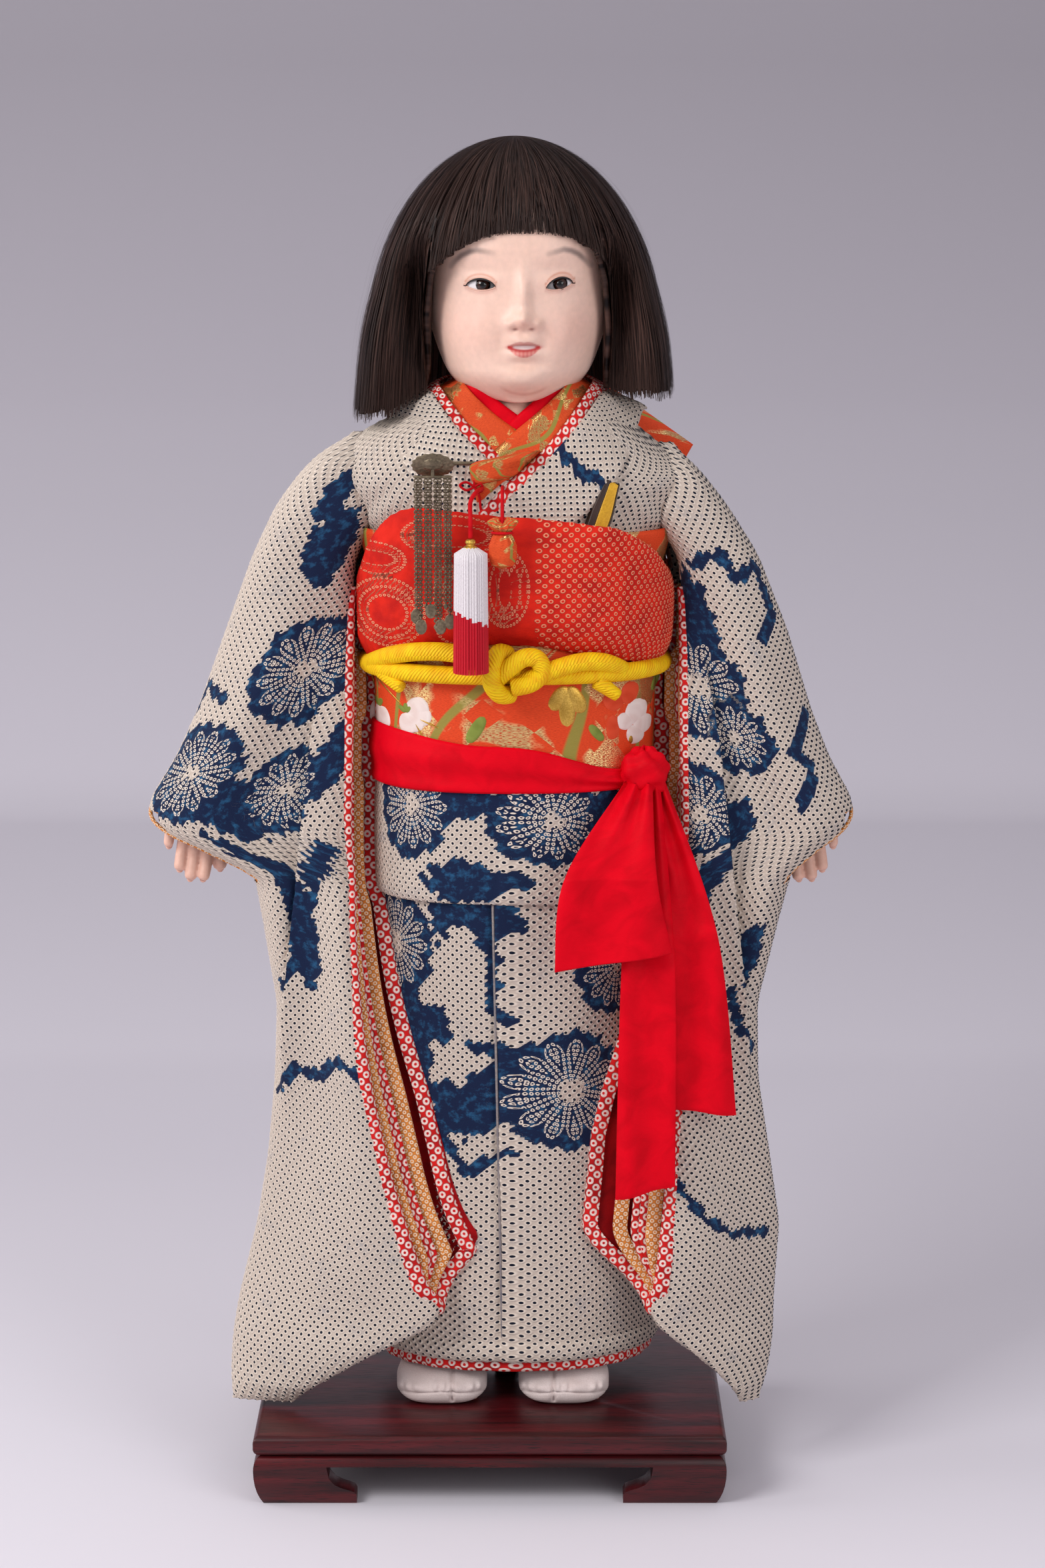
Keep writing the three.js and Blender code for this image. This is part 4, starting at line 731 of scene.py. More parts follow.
def kanoko(u: Array, v: Array, pitch: float) -> Array:
    """The height of tied puckers, from 0 to 1, on the cloth's own millimetres."""
    one = 0.5 + 0.5 * np.cos(TURN * (u + v) / pitch)
    other = 0.5 + 0.5 * np.cos(TURN * (u - v) / pitch)
    return one * other


def fresh(*pieces: Piece) -> None:
    """Selects these pieces and nothing else."""
    bpy.ops.object.select_all(action="DESELECT")
    for piece in pieces:
        piece.select_set(True)
        bpy.context.view_layer.objects.active = piece


def merge(piece: Piece, near: float = 0.01) -> None:
    """Joins points of a piece that lie within so many millimetres."""
    fresh(piece)
    bpy.ops.object.mode_set(mode="EDIT")
    bpy.ops.mesh.select_all(action="SELECT")
    bpy.ops.mesh.remove_doubles(threshold=near * MM)
    bpy.ops.object.mode_set(mode="OBJECT")


def apply(piece: Piece, kind: str, **settings: object) -> None:
    """Adds a modifier to a piece and applies it.

    Args:
        piece: The piece.
        kind: The modifier's type.
        **settings: The modifier's own properties.
    """
    fresh(piece)
    made = piece.modifiers.new(kind.lower(), kind)
    for key, value in settings.items():
        setattr(made, key, value)
    bpy.ops.object.modifier_apply(modifier=made.name)


@dataclass
class Cloth:
    """A grid primitive that is laid where a piece of cloth or a skin lies.

    Attributes:
        name: The piece's name.
        columns: Faces along s.
        rows: Faces along t.
        place: Gives the points in millimetres for s and t from 0 to 1.
        finish: Its surface.
        relief: Gives a height above the surface from the cloth's u and v, in millimetres.
        measure: Gives u and v, where they aren't lengths along the cloth.
        drop: Gives True for faces to cut away, from the s and t at their middles.
        paint: Gives named values for each point from s, t, points, u and v.
    """

    name: str
    columns: int
    rows: int
    place: Place
    finish: Finish
    relief: Optional[Callable] = None
    measure: Optional[Callable] = None
    drop: Optional[Callable] = None
    paint: Optional[Callable] = None
    size: tuple[float, float] = field(default=(0.0, 0.0), init=False)

    def build(self) -> Piece:
        """Adds the grid, moves its points and dresses it.

        Returns:
            The finished piece.
        """
        fresh()
        bpy.ops.mesh.primitive_grid_add(x_subdivisions=self.columns, y_subdivisions=self.rows, size=1)
        piece = bpy.context.active_object
        piece.name = piece.data.name = self.name
        mesh = piece.data
        flat = np.empty(len(mesh.vertices) * 3)
        mesh.vertices.foreach_get("co", flat)
        flat = flat.reshape(-1, 3)
        column = np.rint((flat[:, 0] + 0.5) * self.columns).astype(int)
        row = np.rint((flat[:, 1] + 0.5) * self.rows).astype(int)
        s, t = np.meshgrid(np.linspace(0, 1, self.columns + 1), np.linspace(0, 1, self.rows + 1))
        points = self.place(s, t)
        u, v = self.measure(s, t, points) if self.measure else self.lengths(points)
        self.size = (float(np.ptp(u)), float(np.ptp(v)))
        values = self.paint(s, t, points, u, v) if self.paint else {}
        if self.relief:
            height = self.relief(u, v, values)
            points = points + self.outward(points) * height[..., None]
        places = points[row, column]
        mesh.vertices.foreach_set("co", (SOLE + places * MM).ravel())
        corner = np.empty(len(mesh.loops), int)
        mesh.loops.foreach_get("vertex_index", corner)
        cloth = np.stack([u[row, column], v[row, column]], 1)[corner]
        mesh.uv_layers[0].data.foreach_set("uv", cloth.ravel())
        for key, value in values.items():
            kind = {2: "FLOAT", 3: "FLOAT_VECTOR"}[value.ndim]
            made = mesh.attributes.new(key, kind, "POINT")
            made.data.foreach_set("value" if value.ndim == 2 else "vector", value[row, column].ravel())
        mesh.materials.append(self.finish.material())
        mesh.update()
        if self.drop:
            self.cut(piece, corner, column, row)
        merge(piece)
        fresh(piece)
        bpy.ops.object.shade_smooth()
        return piece

    def cut(self, piece: Piece, corner: Array, column: Array, row: Array) -> None:
        """Deletes the faces that drop names.

        Args:
            piece: The piece.
            corner: The point at each corner of its faces, four to a face.
            column: Each point's column.
            row: Each point's row.
        """
        mesh = piece.data
        s = column[corner].reshape(-1, 4).mean(1) / self.columns
        t = row[corner].reshape(-1, 4).mean(1) / self.rows
        middle = np.empty(len(mesh.polygons) * 3)
        mesh.polygons.foreach_get("center", middle)
        gone = self.drop(s, t, (middle.reshape(-1, 3) - SOLE) / MM)
        fresh(piece)
        bpy.ops.object.mode_set(mode="EDIT")
        bpy.ops.mesh.select_mode(type="FACE")
        bpy.ops.mesh.select_all(action="DESELECT")
        bpy.ops.object.mode_set(mode="OBJECT")
        mesh.polygons.foreach_set("select", np.asarray(gone, bool))
        bpy.ops.object.mode_set(mode="EDIT")
        bpy.ops.mesh.delete(type="FACE")
        bpy.ops.mesh.select_mode(type="VERT")
        bpy.ops.object.mode_set(mode="OBJECT")

    @staticmethod
    def lengths(points: Array) -> tuple[Array, Array]:
        """Measures the cloth along its rows and columns.

        Args:
            points: The grid's points.

        Returns:
            u and v in millimetres.
        """
        across = np.linalg.norm(np.diff(points, axis=1), axis=2)
        up = np.linalg.norm(np.diff(points, axis=0), axis=2).mean(1, keepdims=True)
        u = np.concatenate([np.zeros_like(across[:, :1]), np.cumsum(across, 1)], 1)
        v = np.concatenate([np.zeros((1, 1)), np.cumsum(up, 0)], 0)
        return u, v + 0 * u

    @staticmethod
    def outward(points: Array) -> Array:
        """The unit normals of a grid of points."""
        along = np.gradient(points, axis=1)
        up = np.gradient(points, axis=0)
        if np.allclose(points[:, 0], points[:, -1], atol=1e-3):
            along[:, 0] = along[:, -1] = points[:, 1] - points[:, -2]
            up[:, -1] = up[:, 0]
        normal = np.cross(along, up)
        return normal / np.maximum(np.linalg.norm(normal, axis=2, keepdims=True), 1e-9)


def tube(
    name: str,
    path: Array,
    radius: Callable[[Array], Array] | float,
    finish: Finish,
    sides: int = 12,
    flat: float = 1.0,
    ends: bool = True,
    upright: Sequence[float] = (0.0, -1.0, 0.0),
) -> Piece:
    """A round or flattened cord along a line.

    Args:
        name: The piece's name.
        path: Its middle line, in millimetres.
        radius: Its radius, or a function of the share of the way along.
        finish: Its surface.
        sides: Faces around it.
        flat: The other radius as a share of the first.
        ends: Whether its ends are closed and rounded.
        upright: A direction that the first radius is kept near.

    Returns:
        The finished piece.
    """
    path = np.asarray(path, float)
    ahead = np.gradient(path, axis=0)
    ahead /= np.maximum(np.linalg.norm(ahead, axis=1, keepdims=True), 1e-9)
    side = np.zeros_like(path)
    last = np.array(upright, float)
    for i, way in enumerate(ahead):
        last = last - way * last.dot(way)
        last /= max(np.linalg.norm(last), 1e-9)
        side[i] = last
    other = np.cross(ahead, side)

    def place(s: Array, t: Array) -> Array:
        """Points on the tube."""
        row = np.rint(t * (len(path) - 1)).astype(int)
        size = radius(t) if callable(radius) else radius + 0 * t
        if ends:
            size = size * np.sqrt(np.maximum(0, 1 - np.abs(2 * t - 1) ** (len(path) * 1.5)))
        wide = (size * np.cos(TURN * s))[..., None] * side[row]
        return path[row] + wide + (flat * size * np.sin(TURN * s))[..., None] * other[row]

    return Cloth(name, sides, len(path) - 1, place, finish).build()


def joined(name: str, pieces: Sequence[Piece]) -> Piece:
    """Joins pieces into the first one.

    Args:
        name: The name that the whole gets.
        pieces: The pieces, which become one.

    Returns:
        The whole.
    """
    fresh(*pieces[::-1])
    bpy.ops.object.join()
    whole = bpy.context.active_object
    whole.name = whole.data.name = name
    return whole


def seat(piece: Piece, body: Body | str, slot: str, *nodes: str) -> Piece:
    """Attaches a piece to the body that it rides on and hides the solids that it stands for.

    Args:
        piece: The piece.
        body: The body that it moves with.
        slot: The record's material slot. Not used.
        *nodes: The solids that it replaces.

    Returns:
        The piece.
    """
    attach(piece, str(body.value if isinstance(body, Body) else body))
    if nodes:
        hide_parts(*nodes)
    LOG.info("%s: %d faces", piece.name, len(piece.data.polygons))
    return piece


def sewn(piece: Piece, size: tuple[float, float]) -> Piece:
    """Returns a piece unchanged.

    Args:
        piece: The piece.
        size: Its width and length in millimetres. Not used.

    Returns:
        The piece.
    """
    return piece


def copied(node: str, name: str, finish: Finish) -> Piece:
    """Copies a solid of the frame as a mesh of its own, with its points merged.

    Args:
        node: The solid.
        name: The copy's name.
        finish: Its surface.

    Returns:
        The copy.
    """
    source = bpy.data.objects[node]
    piece = bpy.data.objects.new(name, source.data.copy())
    piece.data.name = name
    piece.matrix_world = source.matrix_world
    bpy.context.scene.collection.objects.link(piece)
    piece.data.materials.clear()
    piece.data.materials.append(finish.material())
    merge(piece)
    return piece


CREAM = KimonoKanoko("Indigo_kanoko_crepe_silk")
RED_KANOKO = DottedKanoko("Red_kanoko_silk")
ORANGE_KANOKO = DottedKanoko("Orange_kanoko_silk", "#e08a3c", "#f3d6b4", "#c06a24", 5.0, 0.36)
SCARF_KANOKO = DottedKanoko("Scarlet_kanoko_scarf_silk", "#dc2210", "#ee9672", "#bb150c", 6.2, 0.27)
LINING = Satin("Dark_red_lining_silk", "#9c1014", "#6a090d", 0.6)
RED_SATIN = Satin("Red_silk_satin", "#df031b", "#c80216", 0.55)
OBI_BROCADE = Brocade("Vermilion_gold_brocade")
SMALL_BROCADE = Brocade("Orange_gold_brocade", "#e2531f", "#c23a12", "#e5c178", 7.0)
WOOD = Rosewood("Rubbed_rosewood")
# Darker cream for the thin line along the skirt's front panel edge: painted shade along the overlap.
EDGE_SHADE = Plain("Cream_silk_fold", "#a3968c", "#6f6a72", 2.0, 0.9, 0.05)
TABI = Plain("White_tabi_cotton", "#eadbd6", "#d9c6c0", 0.7, 0.9, 0.12)
GOFUN = Plain("Gofun_shell_white", "#e6b8a4", "#dcab97", 2.5, 0.5, 0.03)
BODY_CLOTH = Plain("Unbleached_body_cotton", "#cfc3ab", "#b5a78d", 0.8, 0.9, 0.12)
BRASS = Plain("Aged_brass", "#93846c", "#5d5344", 1.5, 0.5, 0.05, 0.85)


@dataclass
class Studio:
    """Camera, soft light and a pale sweep of paper.

    Attributes:
        lens: Focal length in millimetres on a 36 mm side.
        eye: Where the camera stands, in metres.
        tip: How far it looks down, in degrees.
        lamps: Name, place, side and watts of each lamp.
        glow: Strength of the light from all round.
    """

    lens: float = 81.0
    eye: tuple[float, float, float] = (0.0129, -2.25, 0.890)
    tip: float = 11.12
    lamps: tuple[tuple[str, tuple[float, float, float], float, float], ...] = (
        ("key", (-1.8, -1.6, 2.05), 1.2, 49.0),
        ("fill", (1.7, -1.9, 1.4), 1.6, 20.0),
        ("top", (0.2, 0.2, 2.4), 1.4, 7.0),
        ("side", (-1.9, 0.1, 1.15), 1.0, 12.0),
    )
    glow: float = 0.52

    def build(self) -> None:
        """Places camera, lamps, world and backdrop."""
        scene = bpy.context.scene
        scene.view_settings.view_transform = "Standard"
        camera = bpy.data.objects.new("camera", bpy.data.cameras.new("camera"))
        camera.data.lens = self.lens
        camera.data.clip_start = 0.05
        camera.location = self.eye
        camera.rotation_euler = (math.radians(90 - self.tip), 0, 0)
        scene.collection.objects.link(camera)
        scene.camera = camera
        for name, at, size, watts in self.lamps:
            self.lamp(name, at, size, watts)
        world = bpy.data.worlds.new("studio")
        world.use_nodes = True
        sky = world.node_tree.nodes["Background"]
        sky.inputs[0].default_value = linear("#dcd9e2")
        sky.inputs[1].default_value = self.glow
        scene.world = world
        self.sweep()

    def lamp(self, name: str, at: tuple[float, float, float], size: float, watts: float) -> None:
        """Adds a soft square lamp that looks at the doll's chest.

        Args:
            name: Its name.
            at: Where it hangs, in metres.
            size: Its side, in metres.
            watts: Its power.
        """
        lamp = bpy.data.objects.new(name, bpy.data.lights.new(name, "AREA"))
        lamp.data.size = size
        lamp.data.energy = watts
        lamp.location = at
        toward = np.array([0, 0, 0.5]) - np.array(at)
        flat = math.hypot(toward[0], toward[1])
        heading = math.atan2(toward[1], toward[0]) - math.pi / 2
        lamp.rotation_euler = (math.atan2(flat, -toward[2]), 0, heading)
        bpy.context.scene.collection.objects.link(lamp)

    def sweep(self) -> None:
        """Lays the paper along the floor and up behind the doll."""
        floor = -SOLE[2] / MM

        def place(s: Array, t: Array) -> Array:
            """Points on the paper."""
            y = np.interp(t, [0, 0.45, 0.6, 0.72, 1], [-9000, 900, 1500, 1750, 1800])
            z = np.interp(t, [0, 0.45, 0.6, 0.72, 1], [0, 0, 130, 500, 3400])
            return np.stack([(s - 0.5) * 16000, y, floor + z], -1)

        paper = Paper("Lavender_backdrop_paper")
        Cloth("backdrop", 2, 80, place, paper).build()


@dataclass
class Stand:
    """The rosewood stand with its moulded rails and the post that carries the doll."""

    edge: float = 0.8
    nodes: tuple[str, ...] = (
        "stand_top",
        "stand_front_rail",
        "stand_back_rail",
        "stand_left_rail",
        "stand_right_rail",
        "support_post",
    )

    def build(self) -> None:
        """Copies each solid, eases its edges and dresses it in rosewood."""
        for node in self.nodes:
            piece = copied(node, "wood_" + node, WOOD)
            limit = {"limit_method": "ANGLE", "angle_limit": math.radians(25)}
            apply(piece, "BEVEL", width=self.edge * MM, segments=3, **limit)
            fresh(piece)
            bpy.ops.object.shade_smooth_by_angle(angle=math.radians(40))
            seat(piece, Body.STAND, "rosewood", node)


@dataclass
class DyePlan:
    """Where the indigo lies on one piece of the kimono, in x and z as seen from the front.

    Attributes:
        flowers: Middles and radii of chrysanthemums.
        fields: Middles and half sizes of plain indigo.
        leaves: Middles and half sizes of leaves left undyed.
        clouds: Zigzag lines of indigo.
        behind: Flowers seen from behind.
        front: Sign of the outward y where the cloth is seen from the front.
    """

    flowers: Sequence[tuple[float, float, float]] = ()
    fields: Sequence[tuple[float, float, float, float]] = ()
    leaves: Sequence[tuple[float, float, float, float]] = ()
    clouds: Sequence[Sequence[tuple[float, float]]] = ()
    behind: Sequence[tuple[float, float, float]] = ()
    front: float = -1.0

    def paint(self, s: Array, t: Array, points: Array, u: Array, v: Array) -> dict:
        """Gives each point its dye and its place in its flower.

        Args:
            s: Share across.
            t: Share along.
            points: The points.
            u: Millimetres across the cloth.
            v: Millimetres along the cloth.

        Returns:
            The values "dye" and "flower".
        """
        one, other = np.rint((u + v) / KANOKO), np.rint((u - v) / KANOKO)
        cell_u, cell_v = (one + other) * KANOKO / 2, (one - other) * KANOKO / 2
        loose = np.modf(np.abs(np.sin(one * 12.99 + other * 78.23) * 43758.5))[0]
        facing = Cloth.outward(points)[..., 1]
        dye = np.zeros_like(u)
        flower = np.stack([0 * u + 999, 0 * u + 999, 0 * u + 1], -1)

        def spot(x: float, z: float, way: float = self.front) -> tuple[float, float]:
            """The cloth's own millimetres at a place seen from the front, or from behind."""
            far = np.hypot(points[..., 0] - x, points[..., 2] - z) + np.where(facing * way > 0.05, 0, 900)
            best = np.unravel_index(np.argmin(far), far.shape)
            return float(u[best]), float(v[best])

        for x, z, wide, tall in self.fields:
            at_u, at_v = spot(x, z)
            dye[np.hypot((cell_u - at_u) / wide, (cell_v - at_v) / tall) < 0.9 + 0.3 * loose] = 1
        for x, z, wide, tall in self.leaves:
            at_u, at_v = spot(x, z)
            turn = np.arctan2(cell_v - at_v, cell_u - at_u)
            far = np.hypot((cell_u - at_u) / wide, (cell_v - at_v) / tall)
            dye[far < 0.85 + 0.22 * np.cos(5 * turn)] = 0
        for way, list_of in ((self.front, self.flowers), (-self.front, self.behind)):
            for x, z, radius in list_of:
                at_u, at_v = spot(x, z, way)
                far = np.hypot(cell_u - at_u, cell_v - at_v)
                inside = far < radius + 4 * loose
                dye[inside] = 1
                dye[far < 0.2 * radius] = 0
                own = np.stack([u - at_u, v - at_v, 0 * u + radius], -1)
                flower = np.where(inside[..., None], own, flower)
        for line in self.clouds:
            spots = [spot(x, z) for x, z in line]
            for (au, av), (bu, bv) in zip(spots, spots[1:]):
                run = max((bu - au) ** 2 + (bv - av) ** 2, 1e-6)
                share = np.clip(((cell_u - au) * (bu - au) + (cell_v - av) * (bv - av)) / run, 0, 1)
                far = np.hypot(cell_u - au - share * (bu - au), cell_v - av - share * (bv - av))
                dye[far < 2.6 + 1.6 * loose] = 1
        return {"dye": dye, "flower": flower}


def puckered(u: Array, v: Array, values: dict) -> Array:
    """The relief of the kimono's silk: puckers on the cream, nearly flat where it is dyed."""
    return 0.75 * kanoko(u, v, KANOKO) * (1 - 0.8 * values["dye"])


def wrapped(
    name: str,
    profile: Sequence[tuple[float, float]],
    finish: Finish,
    sway: Callable,
    grain: float = 1.65,
    slump: float = 0.0,
    **more: object,
) -> tuple[Piece, tuple[float, float]]:
    """Turns a profile of offsets and heights once round the body.

    Args:
        name: The piece's name.
        profile: Offsets from the body's line and heights.
        finish: Its surface.
        sway: Gives an extra offset from the angle, the height and x.
        grain: Millimetres from one point of the mesh to the next.
        slump: How much lower the viewer's right shoulder hangs.
        **more: Passed on to the cloth.

    Returns:
        The piece and its size laid flat.
    """
    line = np.array(profile, float)
    run = np.concatenate([[0], np.cumsum(np.hypot(*np.diff(line, axis=0).T))])

    def place(s: Array, t: Array) -> Array:
        """Points on the ring, which is closed at the back."""
        angle = math.pi / 2 + TURN * s
        at = t * run[-1]
        z = np.interp(at, run, line[:, 1])
        offset = np.interp(at, run, line[:, 0])
        rough = form(angle, z, offset)
        point = form(angle, z, offset + sway(angle, z, rough[..., 0]))
        point[..., 2] -= slump * smooth(point[..., 0], 55, 98) * smooth(z, 592, 632)
        return point

    around = np.linalg.norm(np.diff(place(np.linspace(0, 1, 400), np.full(400, 0.5)), axis=0), axis=1).sum()
    whole = KANOKO * round(around / KANOKO)

    def measure(s: Array, t: Array, points: Array) -> tuple[Array, Array]:
        """Lengths along the cloth, with a whole number of dots round the body."""
        return s * whole, t * run[-1]

    columns, rows = round(around / grain), max(8, round(run[-1] / grain))
    cloth = Cloth(name, columns, rows, place, finish, measure=measure, **more)
    return cloth.build(), (whole, float(run[-1]))


@dataclass
class Kimono:
    """The wrapped skirt, the tucked fold at the hip, the bodice and the collars.

    Attributes:
        waist: Height of the waist.
    """

    waist: float = 428.0
    skirt_plan: DyePlan = field(
        default_factory=lambda: DyePlan(
            flowers=[(36, 214, 37), (66, 292, 30), (-76, 306, 33)],
            fields=[(-62, 262, 26, 62), (-30, 330, 26, 22), (-34, 205, 22, 22), (-18, 232, 16, 14)],
            leaves=[(-42, 288, 24, 34), (-40, 232, 20, 18)],
            clouds=[
                [(-46, 186), (-32, 158), (-22, 166), (-4, 172)],
                [(-14, 322), (-14, 268), (-6, 262)],
                [(14, 190), (42, 186), (58, 176)],
                [(-66, 178), (-52, 170), (-46, 186)],
            ],
            behind=[(-46, 240, 36), (50, 150, 34), (42, 322, 30)],
        )
    )
    tuck_plan: DyePlan = field(
        default_factory=lambda: DyePlan(
            flowers=[(-58, 344, 30), (-66, 398, 31), (24, 392, 28), (44, 352, 22)],
            fields=[(-30, 352, 26, 14), (6, 350, 16, 12), (62, 380, 20, 30), (-32, 402, 22, 12)],
            leaves=[(-22, 378, 17, 17), (4, 366, 13, 12)],
            behind=[(-40, 380, 30), (50, 370, 28)],
        )
    )
    bodice_plan: DyePlan = field(
        default_factory=lambda: DyePlan(
            fields=[(-97, 560, 10, 22)],
            behind=[(-50, 600, 32), (60, 560, 34)],
        )
    )

    def build(self) -> None:
        """Makes every layer from the skirt to the collars."""
        self.under_hem()
        self.skirt()
        self.tuck()
        self.bodice()
        self.collars()

    def under_hem(self) -> None:
        """The dotted red under-kimono, which shows as a soft roll below the hem."""
        profile = [(-6, 70), (-6, 29), (-5.4, 25.5), (-4, 24), (-2.2, 24.8), (-1.4, 28)]
        profile += [(-2.2, 32), (-3.8, 40), (-3.8, 90)]

        def sway(angle: Array, z: Array, x: Array) -> Array:
            """Small gathers in the roll."""
            return 0.5 * np.sin(23 * angle) * (1 - smooth(z, 28, 40))

        piece, size = wrapped("under_kimono_roll", profile, RED_KANOKO, sway)
        sewn(seat(piece, Body.DOLL, "red_shibori", "under_kimono"), size)

    def skirt(self) -> None:
        """The skirt with its wadded hem and the seam of the front panel."""
        profile = [(-3, 80), (-3, 36), (-2.4, 33), (-0.8, 32), (1, 33), (2.5, 36.5), (2.2, 41), (0.9, 44.2)]
        profile += [(-0.5, 45.4), (0, 47), (0, self.waist)]

        def sway(angle: Array, z: Array, x: Array) -> Array:
            """The front panel's edge and the slow folds of the cloth."""
            seam = np.interp(z, [32, 336], [-8, -14])
            ahead = np.sin(angle) < 0
            step = 2.0 * smooth(x, seam - 0.9, seam + 0.9) * (1 - smooth(x, 24, 80)) * ahead
            groove = -2.4 * np.exp(-(((x - seam + 1.2) / 1.4) ** 2)) * ahead
            fold = 1.4 * np.sin(3 * angle + 0.8 + z / 90) * smooth(-z, -400, -80)
            return step + groove + fold * 0.8

        more = {"relief": puckered, "paint": self.skirt_plan.paint}
        piece, size = wrapped("kimono_skirt_silk", profile, CREAM, sway, **more)
        sewn(seat(piece, Body.DOLL, "kimono_silk", "kimono_skirt"), size)
        # A thin raised line along the front panel's edge, in darker cream: a real edge with painted shade
        # along the overlap.
        z = np.linspace(46, 345, 80)
        x = np.interp(z, [32, 336], [-8, -14])
        line = np.stack([x, front_of(np.abs(x), z, 0.7), z], 1)
        seat(tube("skirt_panel_edge", line, 0.8, EDGE_SHADE, 8), Body.DOLL, "kimono_silk")

    def tuck(self) -> None:
        """The fold that hangs out from under the obi."""
        profile = [(0.6, 362), (0.7, 342), (1.4, 338), (2.6, 336.2), (4.2, 337.2), (5.2, 340.5), (5.2, 346)]
        profile += [(4.6, 356), (4.4, 417.8)]

        def sway(angle: Array, z: Array, x: Array) -> Array:
            """Soft waves, and the overlap in front."""
            seam = np.interp(z, [336, 418], [-10, -4])
            ahead = np.sin(angle) < 0
            step = 1.2 * smooth(x, seam - 0.9, seam + 0.9) * (1 - smooth(x, 20, 70)) * ahead
            return step + 0.9 * np.sin(5 * angle + z / 25) * (1 - smooth(z, 350, 410))

        more = {"relief": puckered, "paint": self.tuck_plan.paint}
        piece, size = wrapped("kimono_tuck_silk", profile, CREAM, sway, **more)
        sewn(seat(piece, Body.DOLL, "kimono_silk", "kimono_tuck"), size)

    def bodice(self) -> None:
        """The bodice, cut open at the neck where the collars cross."""
        profile = [(0, 540), (0, 575), (0, 605), (0, 630), (0, 650)]

        def sway(angle: Array, z: Array, x: Array) -> Array:
            """Folds that run from the armpits to the obi."""
            near = np.exp(-(((np.abs(x) - 84) / 18) ** 2)) * (1 - smooth(z, 580, 625))
            return -1.6 * near * np.sin((z - 560) / 7 + np.abs(x) / 9) ** 2

        def drop(s: Array, t: Array, where: Array) -> Array:
            """The V of the neck."""
            x, y, z = where.T
            left = np.interp(z, [588, 650], [-16, -52])
            right = np.interp(z, [588, 654], [-6, 56])
            return (y < -4) & (z > 588) & (x > left) & (x < right)

        more = {"relief": puckered, "paint": self.bodice_plan.paint, "drop": drop}
        piece, size = wrapped("kimono_bodice_silk", profile, CREAM, sway, slump=11.0, **more)
        sewn(seat(piece, Body.DOLL, "kimono_silk", "kimono_bodice"), size)

    def collar(
        self,
        name: str,
        inner: Sequence[tuple[float, float]],
        outer: Sequence[tuple[float, float]],
        side: int,
        lift: tuple[float, float],
        finish: Finish,
        thick: float,
        **more: object,
    ) -> Piece:
        """A collar band from the nape over one shoulder down to where it crosses.

        Args:
            name: The piece's name.
            inner: x and z of its inner edge in front, from the neck down. x is outward positive.
            outer: The same for its outer edge.
            side: -1 for the viewer's left, 1 for the right.
            lift: Offset from the body at the neck and at the crossing.
            finish: Its surface.
            thick: How far its middle stands up.
            **more: Passed on to the cloth.

        Returns:
            The band.
        """
        rise = inner[0][1] - 652

        def edge(front: Sequence[tuple[float, float]], back: Sequence[Sequence[float]], t: Array) -> Array:
            """One edge of the band."""
            count = len(front)
            lifts = np.linspace(lift[0], lift[1], count)
            ahead = []
            for (x, z), off in zip(front, lifts):
                ahead.append([side * x, float(front_of(np.array(abs(x)), np.array(min(z, 650.0)), off)), z])
            whole = [[side * x, y, z + rise] for x, y, z in back] + ahead
            return through(whole, t)

        slim = abs(outer[0][0] - inner[0][0])
        near = [[0, 43, 656], [inner[0][0] * 0.75, 36, 657], [inner[0][0] * 1.06, 8, 655]]
        far = [[0, 47, 656 - slim * 0.8], [outer[0][0] * 0.72, 42, 656 - slim * 0.6]]
        far += [[outer[0][0] * 1.03, 8, 655 - slim * 0.45]]

        def place(s: Array, t: Array) -> Array:
            """Points on the band."""
            share = s if side < 0 else 1 - s
            a, b = edge(inner, near, t), edge(outer, far, t)
            point = b + (a - b) * share[..., None]
            swell = thick * np.sqrt(np.maximum(0, 1 - (2 * share - 1) ** 4))
            point[..., 1] -= swell * smooth(t, 0.3, 0.5)
            point[..., 2] += swell * (1 - smooth(t, 0.3, 0.5))
            return point

        columns = max(6, round(slim / 1.5))
        piece = Cloth(name, columns, 130, place, finish, **more).build()
        apply(piece, "SOLIDIFY", thickness=0.8 * MM, offset=-1.0)
        return piece

    def collars(self) -> None:
        """Four layers on each side. The viewer's right side lies over the left."""

        def rings(u: Array, v: Array, values: dict) -> Array:
            """Puckers of the dotted collar."""
            return 0.6 * kanoko(u, v, RED_KANOKO.pitch)

